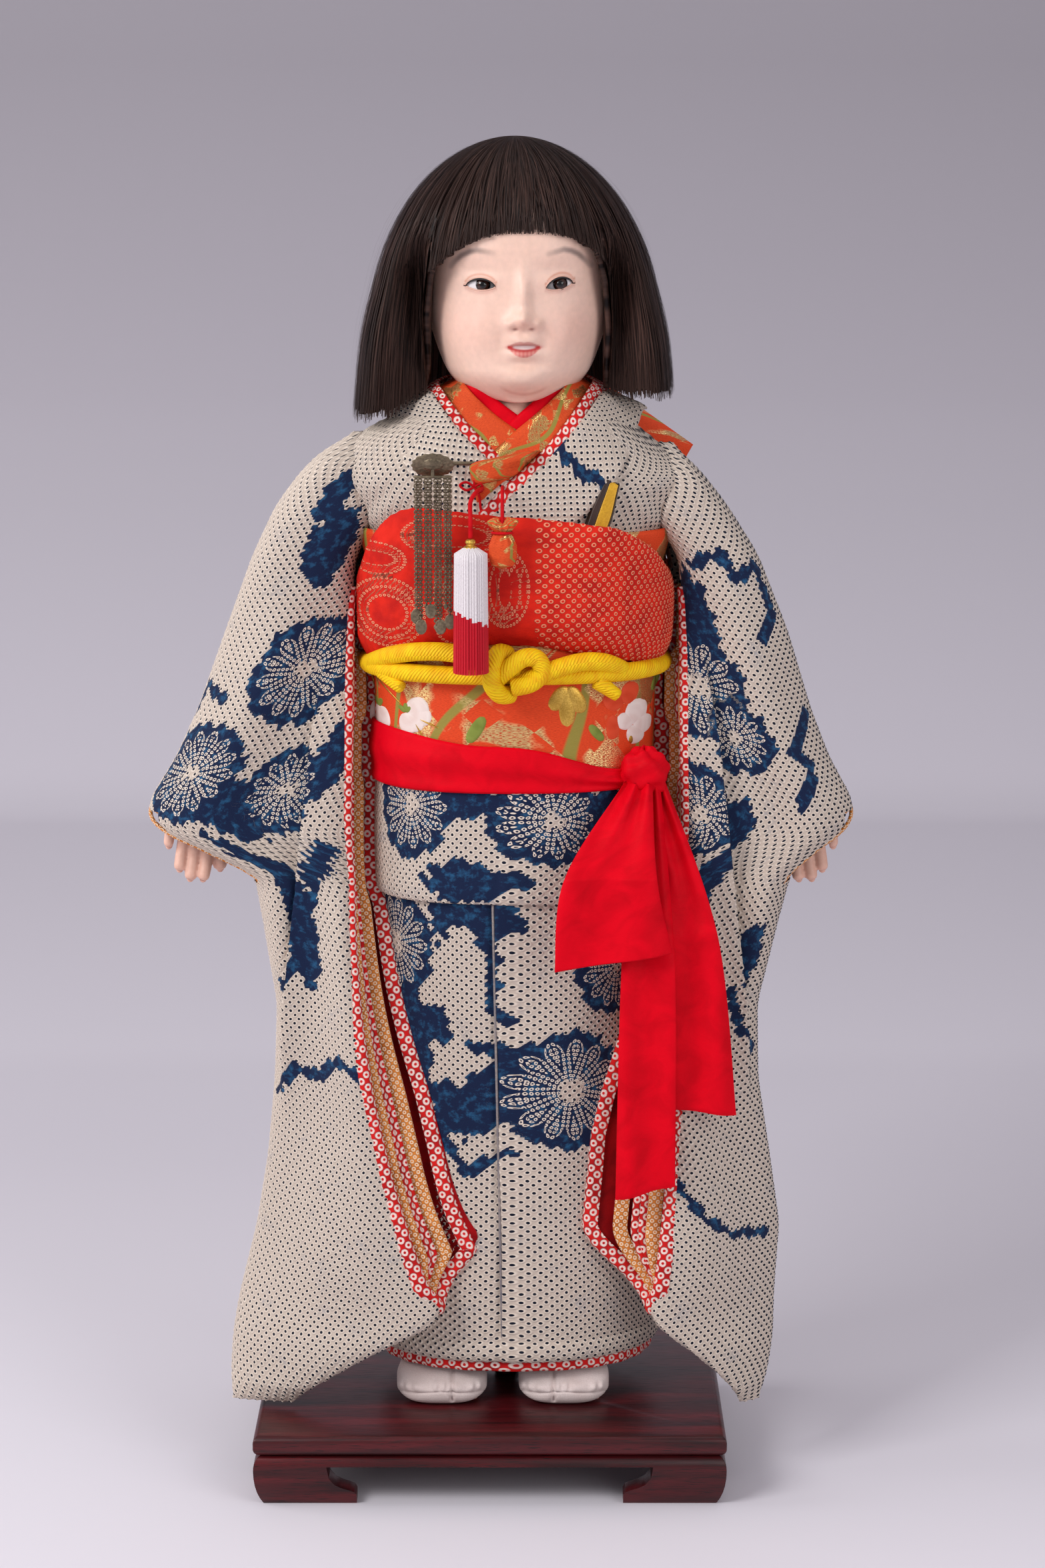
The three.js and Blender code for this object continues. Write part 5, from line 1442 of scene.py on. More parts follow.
        dots = {"finish": RED_KANOKO, "thick": 1.4, "relief": rings}
        zigzag = [(28, 627), (31, 618), (38, 615), (43, 607), (49, 609), (57, 602)]
        mark = DyePlan(clouds=[zigzag], front=1.0)
        cream = {"relief": puckered, "paint": DyePlan().paint}
        marked = {"relief": puckered, "paint": mark.paint}
        left_in = [(50, 654), (36, 636), (18, 618), (2, 602), (-10, 588)]
        left_out = [(81, 640), (68, 612), (51, 590), (33, 572), (18, 556)]
        right_in = [(52, 653), (39, 637), (20.5, 617), (0, 598), (-17, 581), (-28, 569)]
        right_out = [(80, 641), (68, 612), (51, 590), (32, 573), (13, 557), (0, 546)]
        bands = [
            self.collar("collar_kimono_left", left_in, left_out, -1, (1.0, 1.2), CREAM, 1.6, **cream),
            self.collar("collar_kimono_right", right_in, right_out, 1, (1.0, 5.2), CREAM, 1.8, **marked),
        ]
        for band in bands:
            seat(band, Body.DOLL, "kimono_silk")
        shibori_left = [(45, 658), (31, 640), (13, 622), (-3, 606), (-16, 592)]
        shibori_right = [(46, 659), (35, 643), (18, 622.5), (-3, 603.5), (-21, 586), (-33, 574)]
        under_left = [(53, 652), (39, 633), (21, 614), (5, 598), (-8, 584)]
        under_right = [(56, 651), (43, 633), (25, 613), (4, 594), (-13, 577), (-24, 565)]
        pair = [
            self.collar("collar_dots_left", shibori_left, under_left, -1, (-1.6, -1.2), **dots),
            self.collar("collar_dots_right", shibori_right, under_right, 1, (-1.2, 4.4), **dots),
        ]
        whole = joined("collar_dots", pair)
        seat(whole, Body.DOLL, "red_shibori", "collar_shibori")
        brocade_left = [(30, 661), (14, 645), (-4, 632), (-22, 618)]
        brocade_right = [(32, 662), (18, 648), (-4, 630), (-24, 612)]
        deep_left = [(49, 652), (37, 630), (20, 606), (4, 590)]
        deep_right = [(47, 653), (34, 632), (14, 612), (-6, 596)]
        pair = [
            self.collar("collar_gold_left", brocade_left, deep_left, -1, (-4.6, -4.2), SMALL_BROCADE, 1.2),
            self.collar("collar_gold_right", brocade_right, deep_right, 1, (-4.2, -2.4), SMALL_BROCADE, 1.2),
        ]
        seat(joined("collar_gold", pair), Body.DOLL, "brocade", "collar_brocade")
        red_left = [(24, 664), (10, 652), (-6, 640), (-16, 632)]
        red_right = [(26, 665), (13, 653), (-2, 640), (-14, 630)]
        low_left = [(36, 657), (22, 640), (4, 622), (-8, 612)]
        low_right = [(38, 658), (24, 642), (6, 624), (-6, 610)]
        pair = [
            self.collar("collar_silk_left", red_left, low_left, -1, (-7.2, -6.8), RED_SATIN, 0.8),
            self.collar("collar_silk_right", red_right, low_right, 1, (-6.8, -5.6), RED_SATIN, 0.8),
        ]
        seat(joined("collar_silk", pair), Body.DOLL, "red_silk", "collar_red")


@dataclass
class Sleeve:
    """A long hanging sleeve with its dotted linings.

    Attributes:
        side: -1 for the viewer's left, 1 for the right.
        reach: How far out the cuff stands.
        lip: x of the open inner edge at its top and at its foot.
        flare: How much wider than usual its foot hangs.
        slope: How far along the arm its upper edge stands at four heights below the shoulder.
        plan: Its dye.
        lip_low: Height of the foot of its open inner edge.
        cuff_low: Height of the cuff's lower end.
        cuff_high: Height of the cuff's upper end.
        opening: How far round the cuff is open, as a share of half a turn.
        behind: How much farther it is open at the back, where the hand turns.
        room: How far the opening goes below the cuff.
    """

    side: int
    reach: float
    lip: tuple[float, float]
    flare: float
    slope: tuple[float, float, float, float]
    plan: DyePlan
    columns: int = 200
    rows: int = 400
    lip_low: float = 66.0
    cuff_low: float = 348.0
    cuff_high: float = 393.0
    opening: float = 0.2
    behind: float = 0.16
    room: float = 6.0
    low: float = 4.0
    high: float = 630.0

    @property
    def label(self) -> str:
        """The side's name."""
        return "left" if self.side < 0 else "right"

    @property
    def body(self) -> Body:
        """The arm that the sleeve rides on."""
        return Body.LEFT_ARM if self.side < 0 else Body.RIGHT_ARM

    def levels(self) -> Array:
        """Height, outer x, inner x, half thickness, y at the outer and at the inner edge."""
        high, low = self.lip

        def hang(share: float) -> float:
            """A height between the foot of the opening and the cuff."""
            return self.lip_low + (self.cuff_low - self.lip_low) * share

        def lip_at(z: float) -> float:
            """x of the inner edge."""
            drop = min(1.0, max(0.0, (self.cuff_low - z) / (self.cuff_low - self.lip_low)))
            return high + (low - high) * drop**2.2

        def foot(share: float) -> float:
            """x of the closed inner edge below the opening."""
            return low + (166 - low) * share

        def along(share: float) -> float:
            """x along the arm from the shoulder to the cuff."""
            return 118 + (self.reach - 118) * share

        arm = [393, 453, 503]
        seam = [98 + 20 * 8 / 30 - 22, 118 - 22, 108 - 22]
        table = [
            [4, 168 + self.flare * 1.6, 148, 7, -62, -66],
            [20, 173 + self.flare * 1.3, foot(0.66), 10, -48, -72],
            [42, 175 + self.flare, foot(0.38), 14, -40, -78],
            [66, 174 + self.flare * 0.7, low, 16, -34, -84],
        ]
        more = max(0, self.side)
        rest = [(0.17, 169 + 4 * more, 17, -30, -80), (0.34, 161 + 5 * more, 17, -27, -72)]
        rest += [(0.52, 156 + 2 * more, 17, -24, -64), (0.7, 154 + 3 * more, 18, -22, -52)]
        rest += [(0.88, 162 + 7 * more, 20, -20, -38)]
        for share, outer, half, outer_y, inner_y in rest:
            table.append([hang(share), outer, lip_at(hang(share)), half, outer_y, inner_y])
        table += [
            [348, 168 + 10 * more, high, 23, -19, -26],
            [378, self.reach + 3, high, 26, -17, -18],
            [arm[0], self.reach + 4, high, 27, -15, -14],
            [421, along(0.88), high, 27.5, -12, -11],
            [arm[1], along(0.75), high, 28, -10, -9],
            [arm[2], along(0.59), high, 29, -7, -6],
            [552, along(self.slope[0]), max(high, 88.6), 32, -4, -4],
            [583, along(self.slope[1]), seam[0], 34, -2, -2],
            [605, along(self.slope[2]), seam[1], 30, -2, -2],
            [self.high - 12, along(self.slope[3]), seam[2], 24, -2, -2],
            [self.high, 99, 82, 14, -2, -2],
        ]
        return np.array(table, float)

    def section(self, angle: Array, z: Array, inset: float = 0.0) -> Array:
        """Points of the bag. An angle of 0 is its outer edge, and -90 degrees its front.

        Args:
            angle: Radians round the bag.
            z: Heights.
            inset: How far inside the cloth.

        Returns:
            The points.
        """
        table = self.levels()

        def at(column: int, reach: float = 9.0) -> Array:
            """One column of the table at these heights."""
            return soft(z, table[:, 0], table[:, column], reach)

        outer = np.minimum(at(1, 7.0), at(1, 2.5) + 2) - inset
        inner = at(2) + inset
        half = at(3) - inset
        half = half * np.sqrt(np.clip((z - self.low + 0.4) / 12, 0.004, 1))
        half = half * np.sqrt(np.clip((self.high - z + 0.1) / 16, 0.004, 1))
        middle = (outer + inner) / 2
        x = middle + (outer - inner) / 2 * power(np.cos(angle), 2 / 2.8)
        share = (x - inner) / (outer - inner)
        hung = smooth(z, 40, 100) * (1 - smooth(z, 330, 380))
        fold = 3 * np.sin(share * 7 + z / 60) * hung
        elbow = smooth(z, 230, 330) * (1 - smooth(z, 470, 560))
        fold += elbow * (4.5 * np.cos((share - 0.42) * 9 + (z - 380) / 70) - 2)
        under = 125 + (443 - z) * 0.11
        panel = smooth(z, 180, 260) * (1 - smooth(z, 430, 520)) * (np.sin(angle) < 0)
        crisp = inset < 2
        fold -= 8 * (smooth(under - x, -2, 2) if crisp else smooth(under - x, 4, 20)) * panel
        y = at(5) + (at(4) - at(5)) * share + fold + power(np.sin(angle), 2 / 2.8) * half
        x = x + 7 * np.exp(-(((x - under + 3) / 4) ** 2)) * panel * crisp
        back = smooth(angle, 1.9, 2.75) * smooth(z, self.lip_low, self.lip_low + 60)
        back = back * (1 - smooth(z, 560, 604))
        # Room under the back lip for the tucked fold, the sash, the obi and the scarf
        heights = [330, 340, 405, 412, 444, 450, 484, 492, 545, 565]
        girth = np.interp(z, heights, [1, 4, 4, 7, 7, 2, 2, 12, 12, 1])
        wide, deep = (soft(z, FORM[:, 0], FORM[:, column], 7) + girth for column in (1, 2))
        near = wide * (1 - np.minimum(0.999, np.abs(y) / deep) ** FORM_POWER) ** (1 / FORM_POWER)
        x = np.maximum(x - 50 * back, np.minimum(x, near))
        return np.stack([self.side * x, y, z + 0 * x], -1)

    def gape(self, z: Array) -> Array:
        """How far the inner edge is open, in radians to each side."""
        return 0.42 * smooth(z, self.lip_low - 4, self.lip_low + 26) * (1 - smooth(z, 520, 556))

    def build(self) -> None:
        """Makes the bag, the dotted piping, the strips inside the opening and the dark lining."""
        self.bag()
        self.linings()

    def bag(self) -> None:
        """The outer cloth, open at the inner edge and under the cuff."""

        def place(s: Array, t: Array) -> Array:
            """Points from the front lip round the outer edge to the back lip."""
            z = self.low + (self.high - self.low) * t
            open_by = self.gape(z)
            angle = (2 * s - 1) * (math.pi - open_by)
            if self.side < 0:
                angle = -angle
            return self.section(angle, z)

        def measure(s: Array, t: Array, points: Array) -> tuple[Array, Array]:
            """Lengths from the outer edge, with heights along."""
            u = Cloth.lengths(points)[0]
            middle = u[:, self.columns // 2 : self.columns // 2 + 1]
            return u - middle, t * (self.high - self.low)

        def drop(s: Array, t: Array, where: Array) -> Array:
            """The opening under the cuff."""
            z = self.low + (self.high - self.low) * t
            way = 2 * s - 1
            reach = np.where(way * self.side > 0, self.opening + self.behind, self.opening)
            return (z > self.cuff_low + 2 - self.room) & (z < self.cuff_high - 4) & (np.abs(way) < reach)

        more = {"measure": measure, "drop": drop, "relief": puckered, "paint": self.plan.paint}
        cloth = Cloth(f"{self.label}_sleeve_silk", self.columns, self.rows, place, CREAM, **more)
        piece = cloth.build()
        seat(piece, self.body, "kimono_silk", f"{self.label}_sleeve")
        sewn(piece, (cloth.size[0] * 0.8, cloth.size[1]))

    def lip_line(self, share: float, inset: float, count: int = 220) -> Array:
        """A line that goes down one lip, round its foot and up the other.

        Args:
            share: How near the lips, from 1 at the lips to 0 in the middle of the opening.
            inset: How far into the bag.
            count: How many points.

        Returns:
            The points.
        """
        t = np.linspace(-1, 1, count)
        foot = self.lip_low + 8 + inset
        z = foot + (532 - foot) * np.abs(t) ** 1.6
        spread = np.clip(np.abs(t) * 9, 0, 1) * np.sign(t)
        front = self.section(-(math.pi - self.gape(z)), z, 0)
        back = self.section(math.pi - self.gape(z), z, 0)
        mix = (0.5 + 0.5 * share * spread)[:, None]
        line = front + (back - front) * mix
        line[:, 0] += self.side * inset
        return line

    def strip(self, name: str, line: Array, deep: float, thick: float, finish: Finish) -> Piece:
        """A folded edge of cloth that runs along a line and goes back into the sleeve.

        Args:
            name: The piece's name.
            line: The fold's edge.
            deep: How far the cloth goes in.
            thick: The fold's thickness.
            finish: Its surface.

        Returns:
            The piece.
        """
        ahead = np.gradient(line, axis=0)
        ahead /= np.linalg.norm(ahead, axis=1, keepdims=True)
        inward = np.tile(np.array([self.side * 0.96, 0.25, 0.0]), (len(line), 1))
        inward -= ahead * (inward * ahead).sum(1, keepdims=True)
        inward /= np.linalg.norm(inward, axis=1, keepdims=True)
        across = np.cross(ahead, inward)
        profile = [(-thick / 2, deep), (-thick / 2, thick * 0.6), (-thick * 0.36, thick * 0.14), (0, 0)]
        profile += [(thick * 0.36, thick * 0.14), (thick / 2, thick * 0.6), (thick / 2, deep)]

        def place(s: Array, t: Array) -> Array:
            """Points on the folded strip."""
            row = np.rint(t * (len(line) - 1)).astype(int)
            shape = through(profile, s)
            return line[row] + shape[..., :1] * across[row] + shape[..., 1:] * inward[row]

        return Cloth(name, 14, len(line) - 1, place, finish).build()

    def linings(self) -> None:
        """Dotted piping along both lips, an orange strip inside it, and the dark red inside."""
        piping = self.strip("piping", self.lip_line(1.0, -2.5), 9, 8.0, RED_KANOKO)
        orange = self.strip("orange", self.lip_line(0.42, 2.5), 9, 4.4, ORANGE_KANOKO)
        second = self.strip("second", self.lip_line(0.1, 6.0), 10, 3.0, RED_KANOKO)

        def place(s: Array, t: Array) -> Array:
            """Points of the lining, just inside the cloth."""
            z = 30 + (520 - 30) * t
            angle = (2 * s - 1) * (math.pi - self.gape(z))
            return self.section(-angle if self.side > 0 else angle, z, 2.2)

        def drop(s: Array, t: Array, where: Array) -> Array:
            """The opening under the cuff."""
            z = 30 + (520 - 30) * t
            way = 1 - 2 * s
            reach = np.where(way * self.side > 0, self.opening + self.behind + 0.04, self.opening + 0.04)
            return (z > self.cuff_low - self.room) & (z < self.cuff_high) & (np.abs(way) < reach)

        inside = Cloth("inside", 60, 120, place, LINING, drop=drop).build()
        whole = joined(f"{self.label}_sleeve_linings", [piping, orange, second, inside])
        seat(whole, self.body, "red_shibori", f"{self.label}_sleeve_lining")
        t = np.linspace(-1, 1, 60)
        z = np.interp(np.abs(t), [0, 1], [self.cuff_high - 3, self.cuff_low + 1 - self.room])
        angle = (self.opening + self.behind * (t > 0)) * math.pi * np.clip(t * 2.2, -1, 1)
        edge = self.section(angle, z, 0.6)
        cuff = tube(f"{self.label}_cuff_piping", edge, 1.3, ORANGE_KANOKO, 8)
        seat(cuff, self.body, "red_shibori")


HAIR = HumanHair("Dark_brown_human_hair")
FACE = Painted("Polished_gofun_face", 0.44, 0.0, 0.05, 0.12)
GLASS = Painted("Painted_glass_eye", 0.3, 1.0, 0.0, 0.0, 0.03)
CORD = PaddedCord("Yellow_padded_silk_cord")
TASSEL_THREAD = DippedThread("Dipped_tassel_silk")
GOLD_THREAD = Plain("Couched_gold_thread", "#e6bd5c", "#b58a34", 0.9, 0.36, 0.1, 0.85)
WHITE_THREAD = Satin("White_embroidery_silk", "#f0e4dd", "#e0c8bf", 0.5, 0.9)
CORAL_THREAD = Satin("Coral_embroidery_silk", "#e4593a", "#cc4226", 0.5, 0.9)
GREEN_THREAD = Satin("Green_embroidery_silk", "#8d9a4a", "#6f7d36", 0.5, 0.9)
RED_THREAD = Satin("Red_cord_silk", "#d3141e", "#a80d16", 0.5, 0.5)
FAN_GOLD = Plain("Gold_fan_paper", "#e2ae28", "#c08c18", 1.0, 0.4, 0.06, 0.25)
FAN_WOOD = Plain("Smoked_bamboo", "#3a2114", "#22120a", 0.8, 0.45, 0.08)
LASH = Plain("Dark_lash_paint", "#1c0f0d", "#120908", 0.8, 0.5, 0.01)


def loft(knots: Sequence[Array], t: Array) -> Array:
    """A smooth surface through several lines.

    Args:
        knots: The lines, each with points for every place of the grid.
        t: Shares of the way from the first line to the last.

    Returns:
        The points.
    """
    stack = np.stack(knots)
    last = len(knots) - 1
    at = np.clip(t, 0, 1) * last
    low = np.minimum(at.astype(int), last - 1)
    f = (at - low)[..., None]

    def line(index: Array) -> Array:
        """The line of that number at each place."""
        index = np.clip(index, 0, last)[None, ..., None]
        return np.take_along_axis(stack, index, 0)[0]

    a, b, c, d = line(low - 1), line(low), line(low + 1), line(low + 2)
    bend = 2 * a - 5 * b + 4 * c - d
    return 0.5 * (2 * b + (c - a) * f + bend * f**2 + (3 * b - a - 3 * c + d) * f**3)


def ball(
    name: str,
    middle: Sequence[float],
    size: Sequence[float],
    finish: Finish,
    swell: Optional[Callable] = None,
    columns: int = 32,
    rows: int = 20,
    matrix: Optional[Array] = None,
) -> Piece:
    """A rounded lump with its own relief.

    Args:
        name: The piece's name.
        middle: Its middle.
        size: Its three half sizes.
        finish: Its surface.
        swell: Gives a factor for the radius from the angle round and the angle up.
        columns: Faces round it.
        rows: Faces up it.
        matrix: A turn about its middle.

    Returns:
        The piece.
    """

    def place(s: Array, t: Array) -> Array:
        """Points on the lump."""
        round_by, up = TURN * s, math.pi * (t - 0.5)
        shape = np.stack([np.cos(up) * np.cos(round_by), np.cos(up) * np.sin(round_by), np.sin(up)], -1)
        if swell:
            shape = shape * swell(round_by, up)[..., None]
        shape = shape * np.array(size, float)
        if matrix is not None:
            shape = shape @ matrix.T
        return np.array(middle, float) + shape

    return Cloth(name, columns, rows, place, finish).build()


def turned(x: float = 0.0, y: float = 0.0, z: float = 0.0) -> Array:
    """A rotation by degrees about z, then y, then x."""
    a, b, c = (math.radians(v) for v in (x, y, z))
    about_x = np.array([[1, 0, 0], [0, math.cos(a), -math.sin(a)], [0, math.sin(a), math.cos(a)]])
    about_y = np.array([[math.cos(b), 0, math.sin(b)], [0, 1, 0], [-math.sin(b), 0, math.cos(b)]])
    about_z = np.array([[math.cos(c), -math.sin(c), 0], [math.sin(c), math.cos(c), 0], [0, 0, 1]])
    return about_x @ about_y @ about_z


@dataclass
class Waist:
    """Everything tied round the waist: obi, bow, scarf, padded cord and sash."""

    cord_z: float = 487.0
    cord_radius: float = 6.0
    bow_at: tuple[float, float, float] = (0.0, 98.2, 520.0)
    sash_inner: float = 5.2
    sash_knot: tuple[float, float, float] = (82.0, -52.6, 418.0)

    def build(self) -> None:
        """Makes each layer from the inside out."""
        self.obi()
        self.embroidery()
        self.bow()
        self.scarf()
        self.cord()
        self.sash()
        self.sash_tie()

    def obi(self) -> None:
        """The brocade band."""
        profile = [(1.2, 420), (3.4, 418.3), (4.6, 420), (4.6, 570), (3.4, 571.7), (1.2, 570)]
        piece, size = wrapped("obi_band", profile, OBI_BROCADE, lambda angle, z, x: 0 * z, grain=3.0)
        sewn(seat(piece, Body.DOLL, "brocade", "obi"), size)

    def stitched(
        self, name: str, x: float, z: float, long: float, wide: float, turn: float, finish: Finish
    ) -> Piece:
        """A petal of satin stitch, raised over padding.

        Args:
            name: The piece's name.
            x: Where its foot is, seen from the front.
            z: How high its foot is.
            long: Its length.
            wide: Its width.
            turn: Degrees from upright.
            finish: Its thread.

        Returns:
            The petal.
        """
        cos, sin = math.cos(math.radians(turn)), math.sin(math.radians(turn))

        def place(s: Array, t: Array) -> Array:
            """Points on the petal's dome."""
            up = long * t
            body = wide / 2 * np.sqrt(np.maximum(0, 1 - (2 * np.clip(t, 0, 1) - 1) ** 2)) ** 0.8
            across = (2 * s - 1) * body
            at_x = x + across * cos + up * sin
            at_z = z - across * sin + up * cos
            dome = 1.3 * np.sqrt(np.maximum(0, 1 - (2 * s - 1) ** 2))
            dome = dome * np.sqrt(np.maximum(0, 4 * t * (1 - t)))
            y = front_of(np.abs(at_x), at_z, OBI_OUT - 0.1) - dome
            return np.stack([at_x, y, at_z], -1)

        return Cloth(name, 10, 14, place, finish).build()

    def embroidery(self) -> None:
        """Cotton bolls, a gold chrysanthemum, a camellia and leaves on the front of the obi."""
        white, gold, green, coral = [], [], [], []
        for x, z, long, wide, turn in ((-88, 458, 15, 9, 188), (-85, 458, 14, 8, 166)):
            white.append(self.stitched("bud", x, z, long, wide, turn, WHITE_THREAD))
        for long, wide, turn in ((15, 14, 62), (16, 13, 100), (14, 13, 140), (14, 12, 176)):
            white.append(self.stitched("boll", -68, 457, long, wide, turn, WHITE_THREAD))
        for x, z, turn in ((-87, 457, -30), (-87, 457, 20), (-69, 457, -50), (-69, 457, 0), (-69, 457, 40)):
            green.append(self.stitched("calyx", x, z, 6, 3.4, turn, GREEN_THREAD))
        stems = ((-94, 480, 20, 163), (-93, 480, 29, 131), (-66, 456, 20, 112), (-66, 456, 17, 150))
        for x, z, long, turn in stems:
            gold.append(self.stitched("stem", x, z, long, 1.4, turn, GOLD_THREAD))
        for turn, long in ((214, 18), (180, 26), (148, 20)):
            gold.append(self.stitched("petal", 33, 476, long, 11, turn, GOLD_THREAD))
        for x, z, long, wide, turn in ((67, 460, 14, 13, -40), (70, 462, 15, 12, 20), (62, 456, 16, 9, 180)):
            coral.append(self.stitched("outer", x, z, long, wide, turn, CORAL_THREAD))
        for long, wide, turn in ((17, 15, 15), (13, 13, 95), (13, 12, 165), (12, 11, -60)):
            white.append(self.stitched("camellia", 75, 448, long, wide, turn, WHITE_THREAD))
        gold.append(self.stitched("heart", 74, 443, 7, 4, 180, GOLD_THREAD))
        for x, z, turn, size in ((-19, 457, 212, 20), (56, 440, -40, 14), (88, 466, 20, 12)):
            green.append(self.stitched("leaf", x, z, size, size * 0.42, turn, GREEN_THREAD))
            gold.append(self.stitched("vein", x, z, size, 1.2, turn, GOLD_THREAD))
        groups = {"white": white, "gold": gold, "green": green, "coral": coral}
        for name, petals in groups.items():
            seat(joined(f"obi_embroidery_{name}", petals), Body.DOLL, "brocade")

    def bow(self) -> None:
        """The stiff tied bow at the back: two wings and the knot round them."""
        matrix = turned(x=-5, y=35)
        middle = np.array(self.bow_at)
        shares, wides, thicks = [0, 0.3, 0.65, 0.93, 1], [0.62, 0.85, 1, 1, 0.97], [0.6, 0.9, 1, 0.8, 0.4]
        for name, sign in (("upper", 1), ("lower", -1)):

            def place(s: Array, t: Array) -> Array:
                """Points of one wing, pleated at the knot, with a folded end."""
                angle = TURN * s * sign
                close = np.sqrt(np.clip((1 - t) / 0.03, 0, 1)) * np.sqrt(np.clip(t / 0.02, 0, 1))
                wide = soft(t, shares, wides, 0.05) * 46
                deep = soft(t, shares, thicks, 0.05) * 15 * np.maximum(close, 0.02)
                x = wide * power(np.cos(angle), 0.5)
                pleat = 1 - 0.2 * np.cos(angle * 6) * (1 - smooth(t, 0, 0.8))
                y = deep * power(np.sin(angle), 0.6) * pleat
                z = sign * (10 + t * 133)
                return middle + np.stack([x, y, z + 0 * x], -1) @ matrix.T

            piece = Cloth(f"obi_bow_{name}_wing", 96, 60, place, OBI_BROCADE).build()
            seat(piece, Body.DOLL, "brocade", f"obi_bow_{name}")

        def gathered(round_by: Array, up: Array) -> Array:
            """Pleats across the knot."""
            square = 1 / (np.abs(np.cos(round_by)) ** 4 + np.abs(np.sin(round_by)) ** 4) ** 0.25
            return square * (1 + 0.05 * np.cos(9 * np.sin(up) * 2))

        at = middle + matrix @ np.array([0, -8, 0])
        piece = ball("obi_bow_knot_band", at, (33, 24.5, 13), OBI_BROCADE, gathered, 48, 28, matrix)
        seat(piece, Body.DOLL, "brocade", "obi_bow_knot")

    def scarf(self) -> None:
        """The dotted scarf, full in front and flat behind."""
        inner = OBI_OUT + 0.6

        def place(s: Array, t: Array) -> Array:
            """Points of the scarf from its lower to its upper edge."""
            angle = math.pi / 2 + TURN * s
            ahead = np.maximum(0, -np.sin(angle)) ** 0.8
            behind = np.maximum(0, np.sin(angle))
            x = 102 * np.cos(angle)
            feet = [487, 495, 505, 503, 497, 489, 486]
            low = soft(x, [-102, -76, -42, 10, 42, 84, 102], feet, 7) + 24 * behind
            tops = [541, 566, 580, 588, 580, 574, 558, 541]
            high = soft(x, [-102, -85, -69, -49, 16, 55, 85, 102], tops, 8) + 18 * behind
            bulge = 8 + 6 * ahead - 3.5 * behind
            tall = high - low
            fold = 0.8 * np.sin(2.2 * t * TURN + 3 * angle) * ahead
            pushed = 3 * np.exp(-(((x - 42) / 10) ** 2)) * (np.sin(angle) < 0)
            section = [
                (inner + 0.6, low + 6),
                (inner + 1.6, low + 1),
                (inner + 3.6, low + 0.5),
                (inner + bulge * 0.93, low + tall * 0.2),
                (inner + bulge * 1.04, low + tall * 0.42),
                (inner + bulge * 1.02, low + tall * 0.66),
                (inner + bulge * 0.9 + pushed * 0.5, low + tall * 0.86),
                (inner + 3.6 + 5 * ahead + pushed, high - 0.5),
                (inner + 1.4 + 3 * ahead + pushed, high + 0.6),
                (inner + 0.4, high - 5),
            ]
            return loft([form(angle, z, off + fold) for off, z in section], t)

        pitch = SCARF_KANOKO.pitch
        petals = []
        for x, z, wide, tall, rows in (
            (-80, 522, 24, 22, 3),
            (-6, 540, 15, 24, 3),
            (-40, 572, 30, 12, 3),
            (-88, 556, 20, 10, 2),
            (-40, 536, 10, 18, 2),
            (-34, 512, 14, 9, 1),
        ):
            steps = [5.5 * row for row in range(rows) if tall - 5.5 * row > 2.5]
            petals += [(x, z, wide - step, tall - step) for step in steps]

        def paint(s: Array, t: Array, points: Array, u: Array, v: Array) -> dict:
            """Where the silk was left untied: the viewer's left half, but for the outlines of petals."""
            one, other = np.rint((u + v) / pitch), np.rint((u - v) / pitch)
            x = points[..., 0] + (one + other) * pitch / 2 - u
            bare = (x < 14) & (points[..., 1] < 0)
            best = np.full(x.shape, 99.0)
            chain = np.zeros(x.shape + (3,))
            for at_x, at_z, wide, tall in petals:
                east, north = (points[..., 0] - at_x) / wide, (points[..., 2] - at_z) / tall
                mean = (wide + tall) / 2
                across = (np.hypot(east, north) - 1) * mean
                count = round(TURN * mean / SCARF_KANOKO.bead)
                along = np.arctan2(north, east) / TURN * count * SCARF_KANOKO.bead
                nearer = np.abs(across) < np.abs(best)
                best = np.where(nearer, across, best)
                near = (np.abs(across) < 2.6) & bare
                chain = np.where(nearer[..., None], np.stack([along, across, near], -1), chain)
            return {"bare": bare.astype(float), "chain": chain}

        def relief(u: Array, v: Array, values: dict) -> Array:
            """Puckers where the silk was tied."""
            crimp = np.sin(u / 1.9 + 2 * np.sin(v / 4.1)) * np.sin(v / 2.3 + 1.5 * np.sin(u / 5.3))
            return 0.8 * kanoko(u, v, pitch) * (1 - values["bare"]) + 0.35 * crimp * values["bare"]

        def measure(s: Array, t: Array, points: Array) -> tuple[Array, Array]:
            """Lengths round the scarf, with a whole number of rings, and heights."""
            around = np.linalg.norm(np.diff(points[len(points) // 2], axis=0), axis=1).sum()
            return s * pitch * round(around / pitch), points[..., 2] - 480

        more = {"relief": relief, "paint": paint, "measure": measure}
        cloth = Cloth("scarf_silk", 420, 84, place, SCARF_KANOKO, **more)
        piece = cloth.build()
        sewn(seat(piece, Body.DOLL, "red_shibori", "obi_age"), cloth.size)

    def cord(self) -> None:
        """The padded cord: one round, two strands over it, a knot and two short ends."""
        seat_at, size = OBI_OUT + 0.3, self.cord_radius

        def at(degrees: Array, out: Array | float, z: Array | float) -> Array:
            """Points on the line of the cord."""
            angle = np.radians(degrees)
            ahead = np.maximum(0, -np.sin(angle))
            return form(angle, z + 0 * angle, seat_at + size * (0.6 + 0.4 * ahead) + out)

        def laid(spots: Array, out: float) -> Array:
            """Points of a strand from its x, its z and how far it stands off the obi."""
            y = front_of(np.abs(spots[:, 0]), spots[:, 1] * 0 + self.cord_z, seat_at + out) - spots[:, 2]
            return np.stack([spots[:, 0], y, spots[:, 1]], 1)

